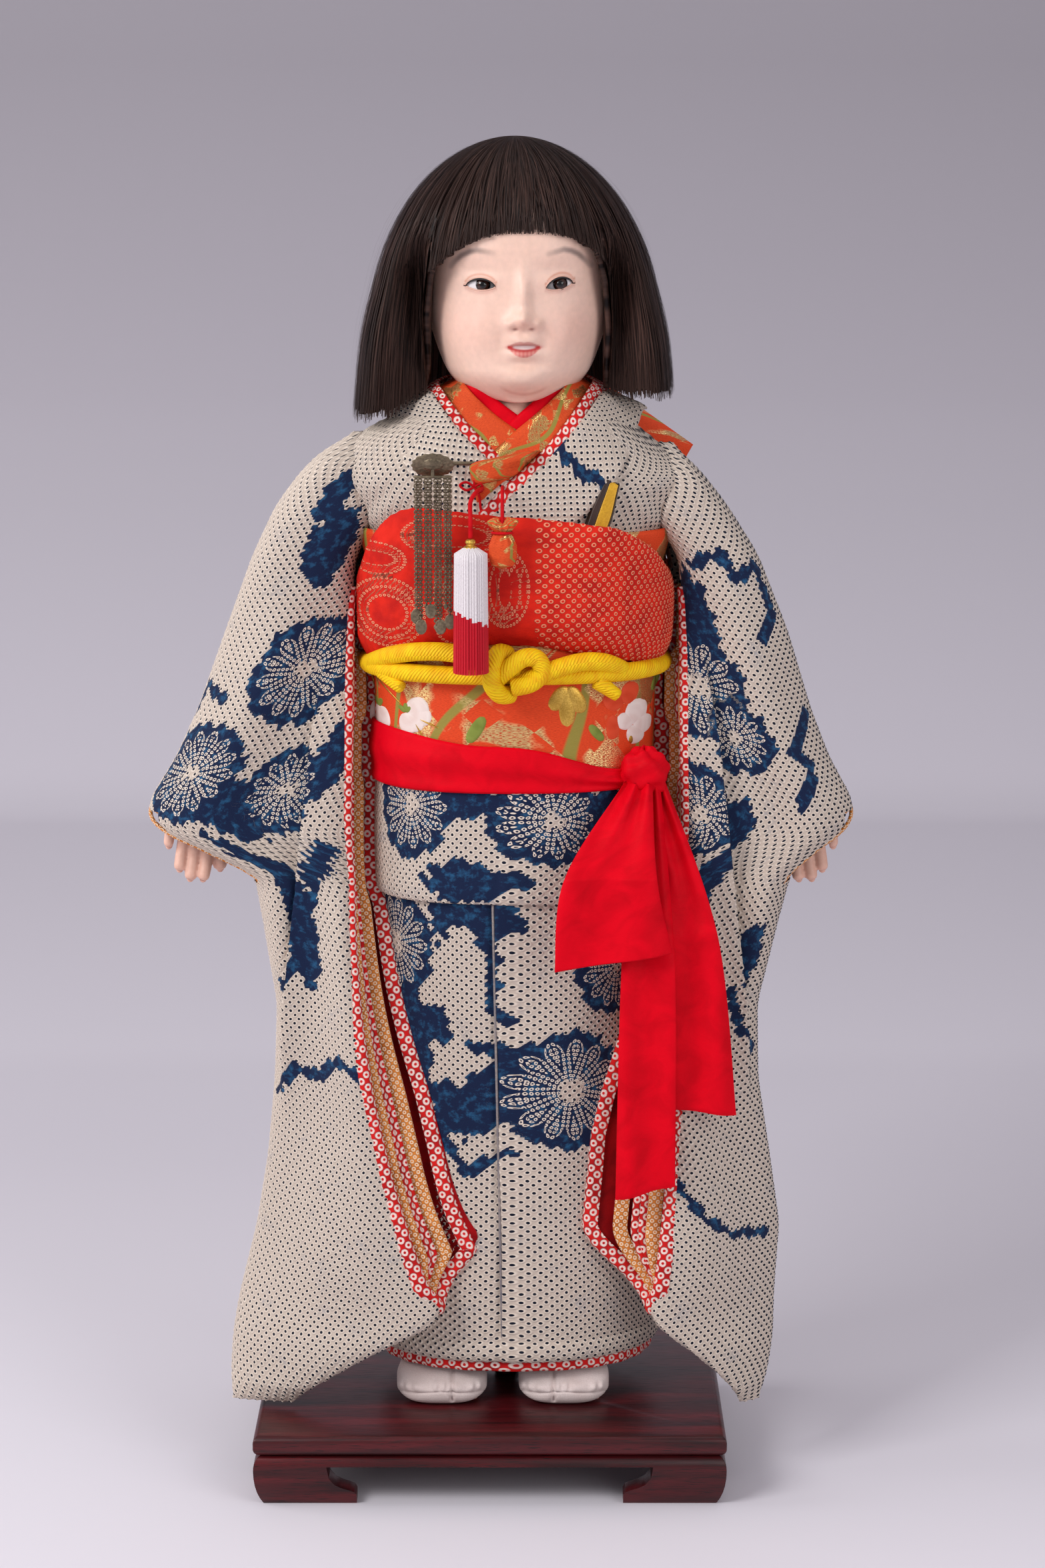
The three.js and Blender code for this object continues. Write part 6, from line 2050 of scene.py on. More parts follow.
        loop = at(np.linspace(90, 449.5, 240), 0, self.cord_z - 3)
        loop = np.vstack([loop, loop[:1]])
        parts = [tube("round", loop, size, CORD, 18, 0.95, ends=False)]
        strands = [
            [(-93, 485, -1), (-80, 493, 1), (-62, 498, 3), (-42, 499, 4), (-24, 496, 6), (-8, 490, 6)],
            [(-4, 497, -2), (-10, 499, 5), (-14, 491, 11), (-14, 481, 12), (-9, 474, 9), (-2, 473, 2)],
            [(-11, 483, 6), (-3, 491, 10), (6, 497, 10), (14, 496, 9)]
            + [(17, 488, 9), (10, 481, 9), (-2, 478, 7)],
            [(2, 479, 4), (14, 485, 7), (28, 490, 6), (42, 493, 5)]
            + [(55, 492, 4), (64, 488, 1), (69, 484, -3)],
        ]
        for line in strands:
            path = through(laid(np.array(line, float), size), np.linspace(0, 1, 70))
            parts.append(tube("strand", path, size * 0.98, CORD, 16))
        for start, finish in (((-86, 484, 1), (-70, 473, 4)), ((50, 481, 2), (66, 469, 5))):
            path = laid(np.linspace(start, finish, 12), size * 0.7)
            parts.append(tube("end", path, lambda v: size * (0.9 - 0.25 * v), CORD, 14))
        whole = joined("obi_padded_cord", parts)
        seat(whole, Body.DOLL, "yellow_cord", "obi_cord")

    def sash(self) -> None:
        """The red sash round the hips, in lengthwise folds."""

        def place(s: Array, t: Array) -> Array:
            """Points of the sash from its lower to its upper edge."""
            angle = math.pi / 2 + TURN * s
            aside, ahead = np.cos(angle), np.sin(angle) < 0
            top = 447 - 9 * smooth(aside, -1, -0.1) - 17 * smooth(aside, -0.1, 0.75)
            high = np.where(ahead, top, 447 - 26 * smooth(aside, 0.1, 1))
            z = 408 + (high - 408) * t
            pleat = np.sin(TURN * (1.6 * t + 0.3 * np.sin(angle)) + 0.8 * angle)
            tight = np.exp(-(((aside - 0.8) / 0.3) ** 2)) * ahead
            pleat = pleat + 0.5 * tight * np.sin(TURN * 3.3 * t + angle)
            edge = np.sqrt(np.maximum(0, 1 - (2 * t - 1) ** 6))
            off = self.sash_inner + (3.4 + 0.9 * pleat) * edge
            return form(angle, z, off)

        cloth = Cloth("sash_satin", 260, 36, place, RED_SATIN)
        piece = cloth.build()
        sewn(seat(piece, Body.DOLL, "red_silk", "sash"), cloth.size)

    def sash_tie(self) -> None:
        """The knot at the viewer's right with its loop and two hanging tails."""
        x, y, z = self.sash_knot

        def gathered(round_by: Array, up: Array) -> Array:
            """Folds that twist over the knot."""
            return 1 + 0.07 * np.sin(5 * round_by + 4 * up) + 0.04 * np.sin(9 * up - 3 * round_by)

        knot = ball("sash_knot_satin", (x, y, z + 1), (15.5, 12.5, 16), RED_SATIN, gathered, 60, 40)
        seat(knot, Body.DOLL, "red_silk", "sash_knot")
        strips = [
            ("sash_loop", [(78, 414), (60, 360), (62, 306)], (9, 29, 37), -7, -43, 9, 0.16, 1.0),
            ("sash_tail_front", [(83, 414), (84, 300), (83, 154)], (9, 17, 19), -1.5, -34, 4, 0.25, -1.0),
            ("sash_tail_side", [(87, 414), (111, 320), (120, 205)], (8, 17, 21), 3, -27, 4, -0.1, 1.0),
        ]
        for name, spine, halves, near, far, thick, slope, way in strips:
            self.strip(name, spine, halves, y + near, y + far, thick, slope, way)

    def strip(
        self,
        name: str,
        spine: Sequence[tuple[float, float]],
        halves: tuple[float, float, float],
        near: float,
        far: float,
        thick: float,
        slope: float,
        way: float,
    ) -> None:
        """A flat tube of satin that hangs from the knot and opens out.

        Args:
            name: The solid that it stands for.
            spine: x and z at its top, middle and foot.
            halves: Half widths there.
            near: y at the knot.
            far: y lower down.
            thick: Its thickness.
            slope: How much its foot is cut slantwise.
            way: Which way its folds lean.
        """

        def place(s: Array, t: Array) -> Array:
            """Points of the strip from its foot to the knot."""
            down = 1 - t
            middle = through([(px, 0, pz) for px, pz in spine], down)
            half = through([(h, 0, 0) for h in halves], down)[..., 0]
            angle = TURN * s
            along = power(np.cos(angle), 0.7)
            open_by = np.minimum(1, 2 * down)
            y = near + (far - near) * open_by - 0.03 * (418 - middle[..., 2])
            fold = 2.4 * open_by * np.sin(along * 3.6 * way + down * 3.2)
            fold += 3.5 * (1 - open_by) * np.sin(along * 7) + 0.6 * np.sin(along * 5 - down * 5)
            deep = thick / 2 * (0.5 + 0.5 * open_by) * np.sin(angle) * np.sqrt(np.clip(t / 0.02, 0.05, 1))
            z = middle[..., 2] + along * half * slope * smooth(down, 0.5, 1)
            return np.stack([middle[..., 0] + half * along, y + fold + deep, z], -1)

        piece = Cloth(name + "_satin", 72, 110, place, RED_SATIN).build()
        seat(piece, Body.DOLL, "red_silk", name)


def near_line(x: Array, z: Array, line: Sequence[tuple[float, float]]) -> Array:
    """How far places are from a drawn line."""
    far = np.full(np.shape(x), 1e9)
    for (ax, az), (bx, bz) in zip(line, line[1:]):
        run = (bx - ax) ** 2 + (bz - az) ** 2
        share = np.clip(((x - ax) * (bx - ax) + (z - az) * (bz - az)) / run, 0, 1)
        far = np.minimum(far, np.hypot(x - ax - share * (bx - ax), z - az - share * (bz - az)))
    return far


@dataclass(frozen=True)
class Eye:
    """One eye: its corners, how far its lids open, and its iris."""

    left: tuple[float, float]
    right: tuple[float, float]
    up: float
    down: float
    iris: tuple[float, float]

    def lids(self, x: Array) -> tuple[Array, Array]:
        """Heights of the upper and the lower lid at x."""
        share = np.clip((x - self.left[0]) / (self.right[0] - self.left[0]), 0, 1)
        base = self.left[1] + (self.right[1] - self.left[1]) * share
        arch = np.sin(math.pi * share)
        return base + self.up * arch**0.55, base - self.down * arch**0.6


@dataclass
class Head:
    """The head with its painted face, glass eyes and neck.

    Attributes:
        chin: Height of the chin.
        top: Height of the crown.
        half: Half its width.
        middle: x of the face's middle line.
        centre: x of the head's axis.
        deep: How far it reaches forward and back.
        roundness: Exponent of its outline seen from above.
        spread: How far round the face its modelling goes.
        skin: Colour of the gofun.
        eyes: The viewer's left and right eye.
    """

    chin: float = 651.5
    top: float = 803.0
    half: float = 54.0
    middle: float = 5.4
    centre: float = 2.2
    deep: float = 61.0
    roundness: float = 0.92
    spread: float = 1.6
    skin: str = "#efc9b6"
    eyes: tuple[Eye, Eye] = (
        Eye((-29.8, 724.8), (-11.9, 724.4), 4.5, 2.5, (-19.4, 725.4)),
        Eye((19.6, 723.4), (35.8, 726.3), 4.9, 2.3, (28.2, 725.9)),
    )

    def section(self, share: Array) -> tuple[Array, Array, Array]:
        """Half width, front depth and back depth at a share of the way from chin to crown."""
        jaw = np.where(share < 0.5, (1 - np.clip(1 - share / 0.5, 0, 1) ** 3.1) ** (1 / 3.1), 1)
        crown = np.sqrt(np.clip(1 - (np.maximum(0, share - 0.62) / 0.385) ** 2, 0, 1))
        wide = self.half * np.maximum(jaw, 0.24) * crown * (1 + 0.08 * smooth(share, 0.16, 0.42))
        front = self.deep * (0.72 + 0.28 * smooth(share, -0.02, 0.14)) * crown
        back = self.deep * smooth(share, -0.32, 0.42) * crown
        return wide, front, back

    def push(self, x: Array, z: Array) -> Array:
        """The modelling of the face: how far each place stands forward."""

        def bump(at_x: float, at_z: float, wide: float, tall: float) -> Array:
            """A soft round rise."""
            return np.exp(-(((x - at_x) / wide) ** 2) - ((z - at_z) / tall) ** 2)

        m = self.middle
        rise = 3.8 * bump(m, 703.5, 10.5, 8.0) + 5.0 * bump(m - 0.2, 704.4, 4.8, 4.8)
        rise += 5.6 * bump(m, 719, 5.0, 14)
        for side in (-1, 1):
            rise += 3.0 * bump(m + side * 8.8, 701.4, 3.5, 3.5)
            rise -= 1.2 * bump(m + side * 4.9, 698.2, 2.0, 1.3)
        rise += 3.4 * bump(m + 0.5, 691.5, 9.0, 4.2) + 3.8 * bump(m + 0.5, 682.7, 8.2, 2.9)
        rise -= 1.4 * bump(m + 0.5, 686.5, 8.0, 1.1) - 4.0 * bump(m, 665, 14, 7)
        rise -= 1.6 * bump(m, 676.9, 10, 2.6) + 1.0 * bump(m, 695.7, 2.2, 3.0)
        for side in (-1, 1):
            rise += 3.8 * bump(m * 0.5 + side * 30, 692, 15, 15)
            rise -= 1.2 * bump(m * 0.5 + side * 24, 734.5, 12, 5)
            lid = 1.0 * bump(m * 0.5 + side * 24, 727.5, 12, 4)
            rise += lid + 0.8 * bump(m * 0.5 + side * 26, 744.5, 18, 7)
            rise -= 1.4 * bump(m + side * 13.5, 691, 4, 7)
        return rise

    def face_y(self, x: Array, z: Array) -> Array:
        """How far in front the face stands at a place."""
        wide, front, _ = self.section((np.asarray(z, float) - self.chin) / (self.top - self.chin))
        sine = np.clip(np.abs(x - self.centre) / wide, 0, 0.999) ** (1 / self.roundness)
        ahead = np.sqrt(1 - sine**2)
        return 2 - ahead**self.roundness * front - self.push(x, z) * np.minimum(1, ahead * self.spread)

    def paint(self, s: Array, t: Array, points: Array, u: Array, v: Array) -> dict:
        """Brushes the face: blush, brows, lid creases, lips and teeth, and painted shade in the crease under
        the chin and in the nostrils.
        """
        x, y, z = points[..., 0], points[..., 1], points[..., 2]
        ahead = (y < -8).astype(float)
        tone = np.ones(x.shape + (3,)) * np.array(linear(self.skin)[:3])

        def brush(code: str, amount: Array) -> None:
            """Lays a colour over the face."""
            nonlocal tone
            amount = np.clip(amount * ahead, 0, 1)[..., None]
            tone = tone * (1 - amount) + np.array(linear(code)[:3]) * amount

        m = self.middle
        for side in (-1, 1):
            far = np.hypot((x - m * 0.5 - side * 31) / 17, (z - 699) / 14)
            brush("#dd9f8e", 0.32 * np.exp(-(far**2)))
        brush("#d99a86", 0.3 * np.exp(-(np.hypot((x - m) / 9, (z - 701) / 4) ** 2)))
        # A darker line along the crease under the chin: painted shade.
        crease = 657.3 + 5.4 * ((x - m - 0.5) / 16) ** 2
        chin = 0.5 * np.exp(-(((z - crease) / 1.1) ** 2))
        brush("#cf8f7d", chin * (1 - smooth(np.abs(x - m - 0.5), 10, 17)))
        for eye in self.eyes:
            top, low = eye.lids(x)
            inside = (x > eye.left[0] - 1) & (x < eye.right[0] + 1.5)
            brush("#cf7a54", 0.7 * np.exp(-(((z - top - 2.6) / 0.75) ** 2)) * inside)
            brush("#d7a794", 0.4 * np.exp(-(((z - top - 1.5) / 1.6) ** 2)) * inside)
            brush("#cc9080", 0.4 * np.exp(-(((z - low + 1.6) / 1.1) ** 2)) * inside)
        brows = [
            [(-39.7, 736.2), (-36.6, 740), (-32.7, 743), (-28, 745.3), (-23.2, 746.4), (-12.8, 744.7)],
            [(21.1, 744.3), (30.6, 746.8), (35.3, 745.9), (39.3, 743.9), (43.4, 740.4), (47.1, 736.6)],
        ]
        for line in brows:
            far = near_line(x, z, line)
            outer = np.abs(x - 3.5)
            body = np.interp(outer, [15, 22, 30, 38, 44], [0.2, 0.6, 1, 1, 0.4])
            brush("#57494a", 0.72 * body * (1 - smooth(far, 0.3, 2.9)))
        aside = x - m - 0.5
        share = np.clip(aside / 10, -1, 1)
        arch = 1 - share**2
        line = 687.4 + 0.9 * arch
        over = line + 2.7 * arch**0.8 * (1 - 0.22 * np.exp(-((share / 0.16) ** 2)))
        bite = 687.4 - 1.8 * arch
        under = bite - 4.6 * arch**0.75
        mouth = np.abs(aside) < 10
        edge = lambda value: smooth(value, -0.45, 0.45)
        brush("#c47f75", 0.8 * edge(over - z) * edge(z - line) * mouth)
        brush("#d3655e", (0.8 + 0.14 * np.sin(2.6 * x)) * edge(bite - z) * edge(z - under) * mouth)
        teeth = 1 - smooth(np.abs(share), 0.62, 0.8)
        brush("#b3322c", 0.9 * edge(line - z) * edge(z - bite) * mouth)
        brush("#f3ebe4", 0.97 * edge(line - z) * edge(z - bite) * teeth)
        brush("#b51c20", 0.95 * np.exp(-(((z - bite + 0.3) / 0.9) ** 2)) * mouth)
        brush("#94524a", 0.5 * np.exp(-(((z - line - 0.3) / 0.7) ** 2)) * mouth)
        for side in (-1, 1):
            brush("#c0211f", 0.9 * np.exp(-(np.hypot((aside - side * 8.7) / 2.2, (z - 687.2) / 1.1) ** 2)))
            # The dark dots under the nose are painted shade in the nostrils.
            brush("#8e3f36", 0.8 * np.exp(-(np.hypot((x - m - side * 5.0) / 1.7, (z - 698.4) / 0.9) ** 2)))
        return {"paint": tone}

    def build(self) -> None:
        """Makes the head, its lids, its eyes and the neck."""

        def place(s: Array, t: Array) -> Array:
            """Points of the head, closer together in front."""
            way = 2 * s - 1
            angle = math.pi * (0.45 * way + 0.55 * way**3)
            share = np.clip((t - 0.03) / 0.95, 0, 1)
            wide, front, back = self.section(share)
            close = np.clip(t / 0.03, 0, 1) * np.sqrt(np.clip((1 - t) / 0.02, 0, 1))
            z = self.chin + share * (self.top - self.chin) + 1.5 * (1 - np.clip(t / 0.03, 0, 1))
            x = self.centre + wide * power(np.sin(angle), self.roundness)
            ahead = np.cos(angle)
            deep = np.where(ahead > 0, front, back)
            lift = np.where(ahead > 0, self.push(x, z) * np.minimum(1, ahead * self.spread), 0)
            y = 2 - power(ahead, self.roundness) * deep - lift
            return np.stack([self.centre + (x - self.centre) * close, y * close + 2 * (1 - close), z], -1)

        def drop(s: Array, t: Array, where: Array) -> Array:
            """The two openings for the eyes."""
            x, y, z = where.T
            gone = np.zeros(len(x), bool)
            for eye in self.eyes:
                top, low = eye.lids(x)
                gone |= (y < 0) & (x > eye.left[0]) & (x < eye.right[0]) & (z < top) & (z > low)
            return gone

        piece = Cloth("doll_head", 260, 240, place, FACE, drop=drop, paint=self.paint).build()
        seat(piece, Body.HEAD, "gofun", "head")
        for name, eye in zip(("left", "right"), self.eyes):
            self.eye(name, eye)
        z = np.linspace(618, 676, 12)
        line = np.stack([0 * z, np.interp(z, [640, 662], [-7, 2]), z], 1)
        neck = tube("doll_neck", line, 28, GOFUN, 40, ends=False)
        seat(neck, Body.HEAD, "gofun")

    def eye(self, name: str, eye: Eye) -> None:
        """A glass eye behind its lids, with a line of lashes.

        Args:
            name: "left" or "right".
            eye: Its places.
        """
        mid_x, mid_z = (eye.left[0] + eye.right[0]) / 2, (eye.left[1] + eye.right[1]) / 2
        deep = float(self.face_y(np.array(mid_x), np.array(mid_z))) + 1.3

        def place(s: Array, t: Array) -> Array:
            """Points on the front of the glass."""
            x = eye.left[0] - 1.2 + s * (eye.right[0] - eye.left[0] + 2.4)
            top, low = eye.lids(x)
            z = low - 1.2 + t * (top - low + 2.4)
            y = deep + 15 - np.sqrt(np.maximum(1, 225 - (x - mid_x) ** 2 * 0.8 - (z - mid_z) ** 2))
            y = np.maximum(y, self.face_y(x, z) + 0.6)
            far = np.hypot(x - eye.iris[0], z - eye.iris[1])
            return np.stack([x, y - 2.2 * np.maximum(0, 1 - (far / 4.8) ** 2), z], -1)

        def paint(s: Array, t: Array, points: Array, u: Array, v: Array) -> dict:
            """White, iris and pupil, with painted shade on the white under the upper lid."""
            far = np.hypot(points[..., 0] - eye.iris[0], points[..., 2] - eye.iris[1])
            tone = np.ones(far.shape + (3,)) * np.array(linear("#ebe5e6")[:3])
            # The white darkens towards the upper lid: painted shade of the lid.
            top = eye.lids(points[..., 0])[0]
            under = np.clip(1 - (top - points[..., 2]) / 3.0, 0, 1)[..., None]
            tone = tone * (1 - 0.55 * under)
            steps = ((4.7, 4.3, "#0d0706"), (4.0, 3.3, "#382019"), (2.2, 1.8, "#040202"))
            for outer, inner, code in steps:
                amount = (1 - smooth(far, inner, outer))[..., None]
                tone = tone * (1 - amount) + np.array(linear(code)[:3]) * amount
            return {"paint": tone}

        piece = Cloth(f"{name}_glass_eye", 100, 60, place, GLASS, paint=paint).build()
        seat(piece, Body.HEAD, "glass_eye", f"{name}_eye")
        wing = (1.9, 0.3) if mid_x < 0 else (0.3, 1.9)
        x = np.linspace(eye.left[0] - wing[0], eye.right[0] + wing[1], 60)
        top, low = eye.lids(x)

        def line(z: Array, proud: float) -> Array:
            """A line that follows a lid."""
            return np.stack([x, self.face_y(x, z) - proud, z], 1)

        upper = tube(f"{name}_upper_lid", line(top + 0.4, 0.0), 0.6, GOFUN, 10)
        lower = tube(f"{name}_lower_lid", line(low - 0.2, 0.0), 0.45, GOFUN, 10)
        seat(joined(f"{name}_lids", [upper, lower]), Body.HEAD, "gofun")

        def full(v: Array) -> Array:
            """The lashes' thickness, greatest in the middle."""
            return 0.25 + 0.4 * np.sin(math.pi * v)

        lash = tube(f"{name}_lashes", line(top - 0.25, 0.55), full, LASH, 8)
        seat(lash, Body.HEAD, "hair")


@dataclass
class Wig:
    """The straight bobbed wig with its fringe.

    Attributes:
        low: Height of its cut edge.
        high: Height of its crown.
        half_wide: Half its width.
        half_deep: Half its depth.
        strands: How many strands lie on its shell.
        strays: How many of them stand loose.
        cut_half: Half width by which the heights of the cut edge are given.
        roundness: Exponent of its outline seen from above.
        set_back: How far the locks beside the face stand back.
        fringe: x and height of the fringe's cut edge.
    """

    low: float = 643.0
    high: float = 815.0
    half_wide: float = 92.7
    half_deep: float = 76.0
    strands: int = 3400
    strays: int = 44
    cut_half: float = 83.6
    roundness: float = 2.2
    set_back: float = 36.0
    fringe: tuple[tuple[float, float], ...] = (
        (-52, 734.5),
        (-48, 739.5),
        (-38, 747.7),
        (-28.7, 752.4),
        (-20, 755.5),
        (-8, 757.6),
        (6, 758.3),
        (22, 757.6),
        (34, 756.2),
        (43.7, 753.2),
        (53, 746.5),
        (57, 740),
    )

    def surface(self, angle: Array, t: Array, lift: Array | float) -> Array:
        """Points on the hair, from its cut edge at t 0 to the crown at t 1.

        Args:
            angle: Radians, with the front at 270 degrees.
            t: Share of the way up.
            lift: How far outside the shell.

        Returns:
            The points.
        """
        side = self.cut_half * power(np.cos(angle), 2 / self.roundness)
        ahead = np.sin(angle) < 0
        knots = np.array(self.fringe)
        cut = np.interp(side, knots[:, 0], knots[:, 1])
        open_at = np.where(side < 0, 53.0, 56.5)
        past = smooth(np.abs(side), open_at, open_at + 3.5)
        ragged = 2.0 * np.sin(7 * angle) + 1.2 * np.sin(31 * angle)
        lean = np.interp(-side, [53, 60, 70, 83], [22, 12, 1, 3])
        lean = np.where(side < 0, lean, np.interp(side, [53, 62, 72, 83], [17, 13, 13, 18]))
        low = self.low + ragged + np.where(ahead, lean, 10 + (lean - 10) * smooth(np.abs(side), 60, 82))
        edge = np.where(ahead, cut + (low - cut) * past, low)
        rise = 1 - np.clip(1 - t, 0, 2) ** 1.8
        z = edge + (self.high - edge) * rise
        share = (z - self.low) / (self.high - self.low)
        dome = np.sqrt(np.clip(1 - np.maximum(0, (share - 0.16) / 0.84) ** 2.1, 0, 1))
        flare = 1 + 0.1 * np.maximum(0, 1 - share / 0.45)
        x = (self.half_wide * dome * flare + lift) * power(np.cos(angle), 2 / self.roundness)
        y = 3 + (self.half_deep * dome + lift) * power(np.sin(angle), 2 / self.roundness)
        lock = (1 - smooth(np.abs(side), open_at + 2.5, 78)) * ahead * (1 - smooth(z, 728, 764)) * past
        x = x - np.sign(x) * lock * (np.abs(x) - np.abs(side) + 1.5)
        y = y + lock * self.set_back
        return np.stack([x, y, z], -1)

    def build(self) -> None:
        """Makes the shell of hair and the strands that lie on it."""

        def place(s: Array, t: Array) -> Array:
            """Points of the shell."""
            angle = math.pi / 2 + TURN * s
            lock = np.sin(58 * angle + 2.5 * np.sin(9 * angle) + 5 * t) + 0.6 * np.sin(131 * angle - 4 * t)
            return self.surface(angle, t, (-1.2 + 0.7 * lock) * np.minimum(1, (1 - t) * 8))

        def measure(s: Array, t: Array, points: Array) -> tuple[Array, Array]:
            """Hairs run up the map."""
            return s * 540, t * 170

        shell = Cloth("wig_shell", 400, 60, place, HAIR, measure=measure).build()
        apply(shell, "SOLIDIFY", thickness=3.5 * MM, offset=-1.0)
        seat(shell, Body.HEAD, "hair", "wig", "wig_fringe")
        rng = np.random.default_rng(7)
        count = self.strands
        start = rng.random(count)
        lift = 0.3 + 3.4 * rng.random(count) ** 2.5
        top = 0.55 + 0.43 * rng.random(count)
        foot = -0.02 + 0.034 * rng.random(count)
        drift = rng.normal(0, 0.045, count)
        phase = TURN * rng.random(count)
        half = 0.35 + 0.45 * rng.random(count)
        lift[: self.strays] = 4 + 6 * rng.random(self.strays)
        half[: self.strays] = 0.14
        columns = 2 * count - 1

        def lie(s: Array, t: Array) -> Array:
            """Points of the strands, two columns to a strand."""
            column = np.rint(s * columns).astype(int)
            strand, side = column // 2, column % 2 * 2 - 1
            at = foot[strand] + (top[strand] - foot[strand]) * t
            angle = math.pi / 2 + TURN * start[strand] + drift[strand] * (1 - t)
            angle = angle + 0.008 * np.sin(phase[strand] + 7 * t)
            angle = angle + side * half[strand] * (0.25 + 0.75 * np.sin(math.pi * np.clip(t, 0.05, 0.9))) / 88
            proud = lift[strand] * np.sin(math.pi * np.clip(t * 0.9 + 0.08, 0, 1)) ** 0.7
            return self.surface(angle, at, proud)

        def along(s: Array, t: Array, points: Array) -> tuple[Array, Array]:
            """Each strand has its own strip of the map."""
            column = np.rint(s * columns)
            return column * 1.7, t * 150

        def drop(s: Array, t: Array, where: Array) -> Array:
            """The gaps between strands."""
            return (np.floor(s * columns) % 2 == 1) | (np.abs(where).max(1) > 2000)

        locks = Cloth("wig_strands", columns, 14, lie, HAIR, measure=along, drop=drop).build()
        seat(locks, Body.HEAD, "hair")


@dataclass
class Hand:
    """A hand with its nails, on the peg of the forearm."""

    side: int
    wrist: tuple[float, float, float]
    long: float = 60.0
    wide: float = 31.0
    nail: Finish = Plain("Polished_gofun_nail", "#e3b5a4", "#d8a694", 2.0, 0.3, 0.01)

    def build(self) -> None:
        """Joins palm and fingers into one skin and lays the nails on it."""
        label = "left" if self.side < 0 else "right"
        down = np.array([self.side * 0.15, -0.12, -1.0])
        down /= np.linalg.norm(down)
        across = np.array([1.0, 0, 0]) - down * down[0]
        across /= np.linalg.norm(across)
        back = np.cross(across, -down)
        frame_of = np.stack([across, back, -down], 1)
        wrist = np.array(self.wrist)

        def at(points: Sequence[Sequence[float]]) -> Array:
            """From the hand's own frame, with its fingers along -z, to the doll's."""
            return wrist + np.array(points, float) @ frame_of.T

        def taper(v: Array) -> Array:
            """A finger's thickness, with a round tip."""
            return (1 - 0.2 * v) * np.sqrt(1 - 0.97 * np.clip((v - 0.88) / 0.12, 0, 1) ** 2)

        half, knuckle = self.wide / 2, self.long * 0.52
        t = np.linspace(0, 1, 60)
        palm = through([(0, 0, 14), (0, 0, 0), (0, -0.5, -knuckle * 0.5), (0, 0, -knuckle - 2)], t)
        size = lambda v: 8.8 + 5.6 * smooth(v, 0.35, 0.85) - 2.0 * smooth(v, 0.86, 1)
        parts = [tube("palm", at(palm), size, GOFUN, 24, 0.52, upright=across)]
        tips = []
        for spot, long, thick in ((13.2, 47, 4.1), (4.6, 61, 4.7), (-2.8, 66, 4.9), (-10.6, 65, 4.8)):
            x = self.side * spot
            joints = [(x * 0.85, 0, -knuckle + 10), (x, -2.4, -knuckle - 2)]
            joints += [(x * 1.05, -3, -(knuckle + long) / 2), (x * 1.08, -1.2, -long + 8)]
            joints += [(x * 1.05, 1.2, -long)]
            parts.append(tube("finger", at(through(joints, t)), lambda v: thick * taper(v), GOFUN, 14))
            tips.append((joints[-1], joints[-2]))
        aside = -self.side
        base = [(aside * half * 0.35, 0, -8), (aside * half * 0.8, -3, -knuckle * 0.7)]
        base += [(aside * (half + 2), -7, -knuckle * 1.3), (aside * (half + 5), -8, -knuckle * 1.85)]
        parts.append(tube("thumb", at(through(base, t)), lambda v: 6.0 * taper(v), GOFUN, 14))
        tips.append((base[-1], base[-2]))
        piece = joined(f"{label}_hand_skin", parts)
        fresh(piece)
        piece.data.remesh_voxel_size = 0.9 * MM
        bpy.ops.object.voxel_remesh()
        apply(piece, "SMOOTH", factor=0.5, iterations=5)
        fresh(piece)
        bpy.ops.object.shade_smooth()
        body = Body.LEFT_HAND if self.side < 0 else Body.RIGHT_HAND
        seat(piece, body, "gofun", f"{label}_hand")
        nails = []
        for tip, before in tips:
            tip, before = np.array(tip), np.array(before)
            way = (tip - before) / np.linalg.norm(tip - before)
            spot = tip - way * 1.5 + np.array([0, -3.4, 0])
            shape = frame_of @ turned(x=math.degrees(math.atan2(way[1], -way[2])), y=-6 * np.sign(way[0]))
            nails.append(ball("nail", at([spot])[0], (2.5, 0.8, 3.4), self.nail, None, 16, 10, shape))
        seat(joined(f"{label}_hand_nails", nails), body, "gofun")


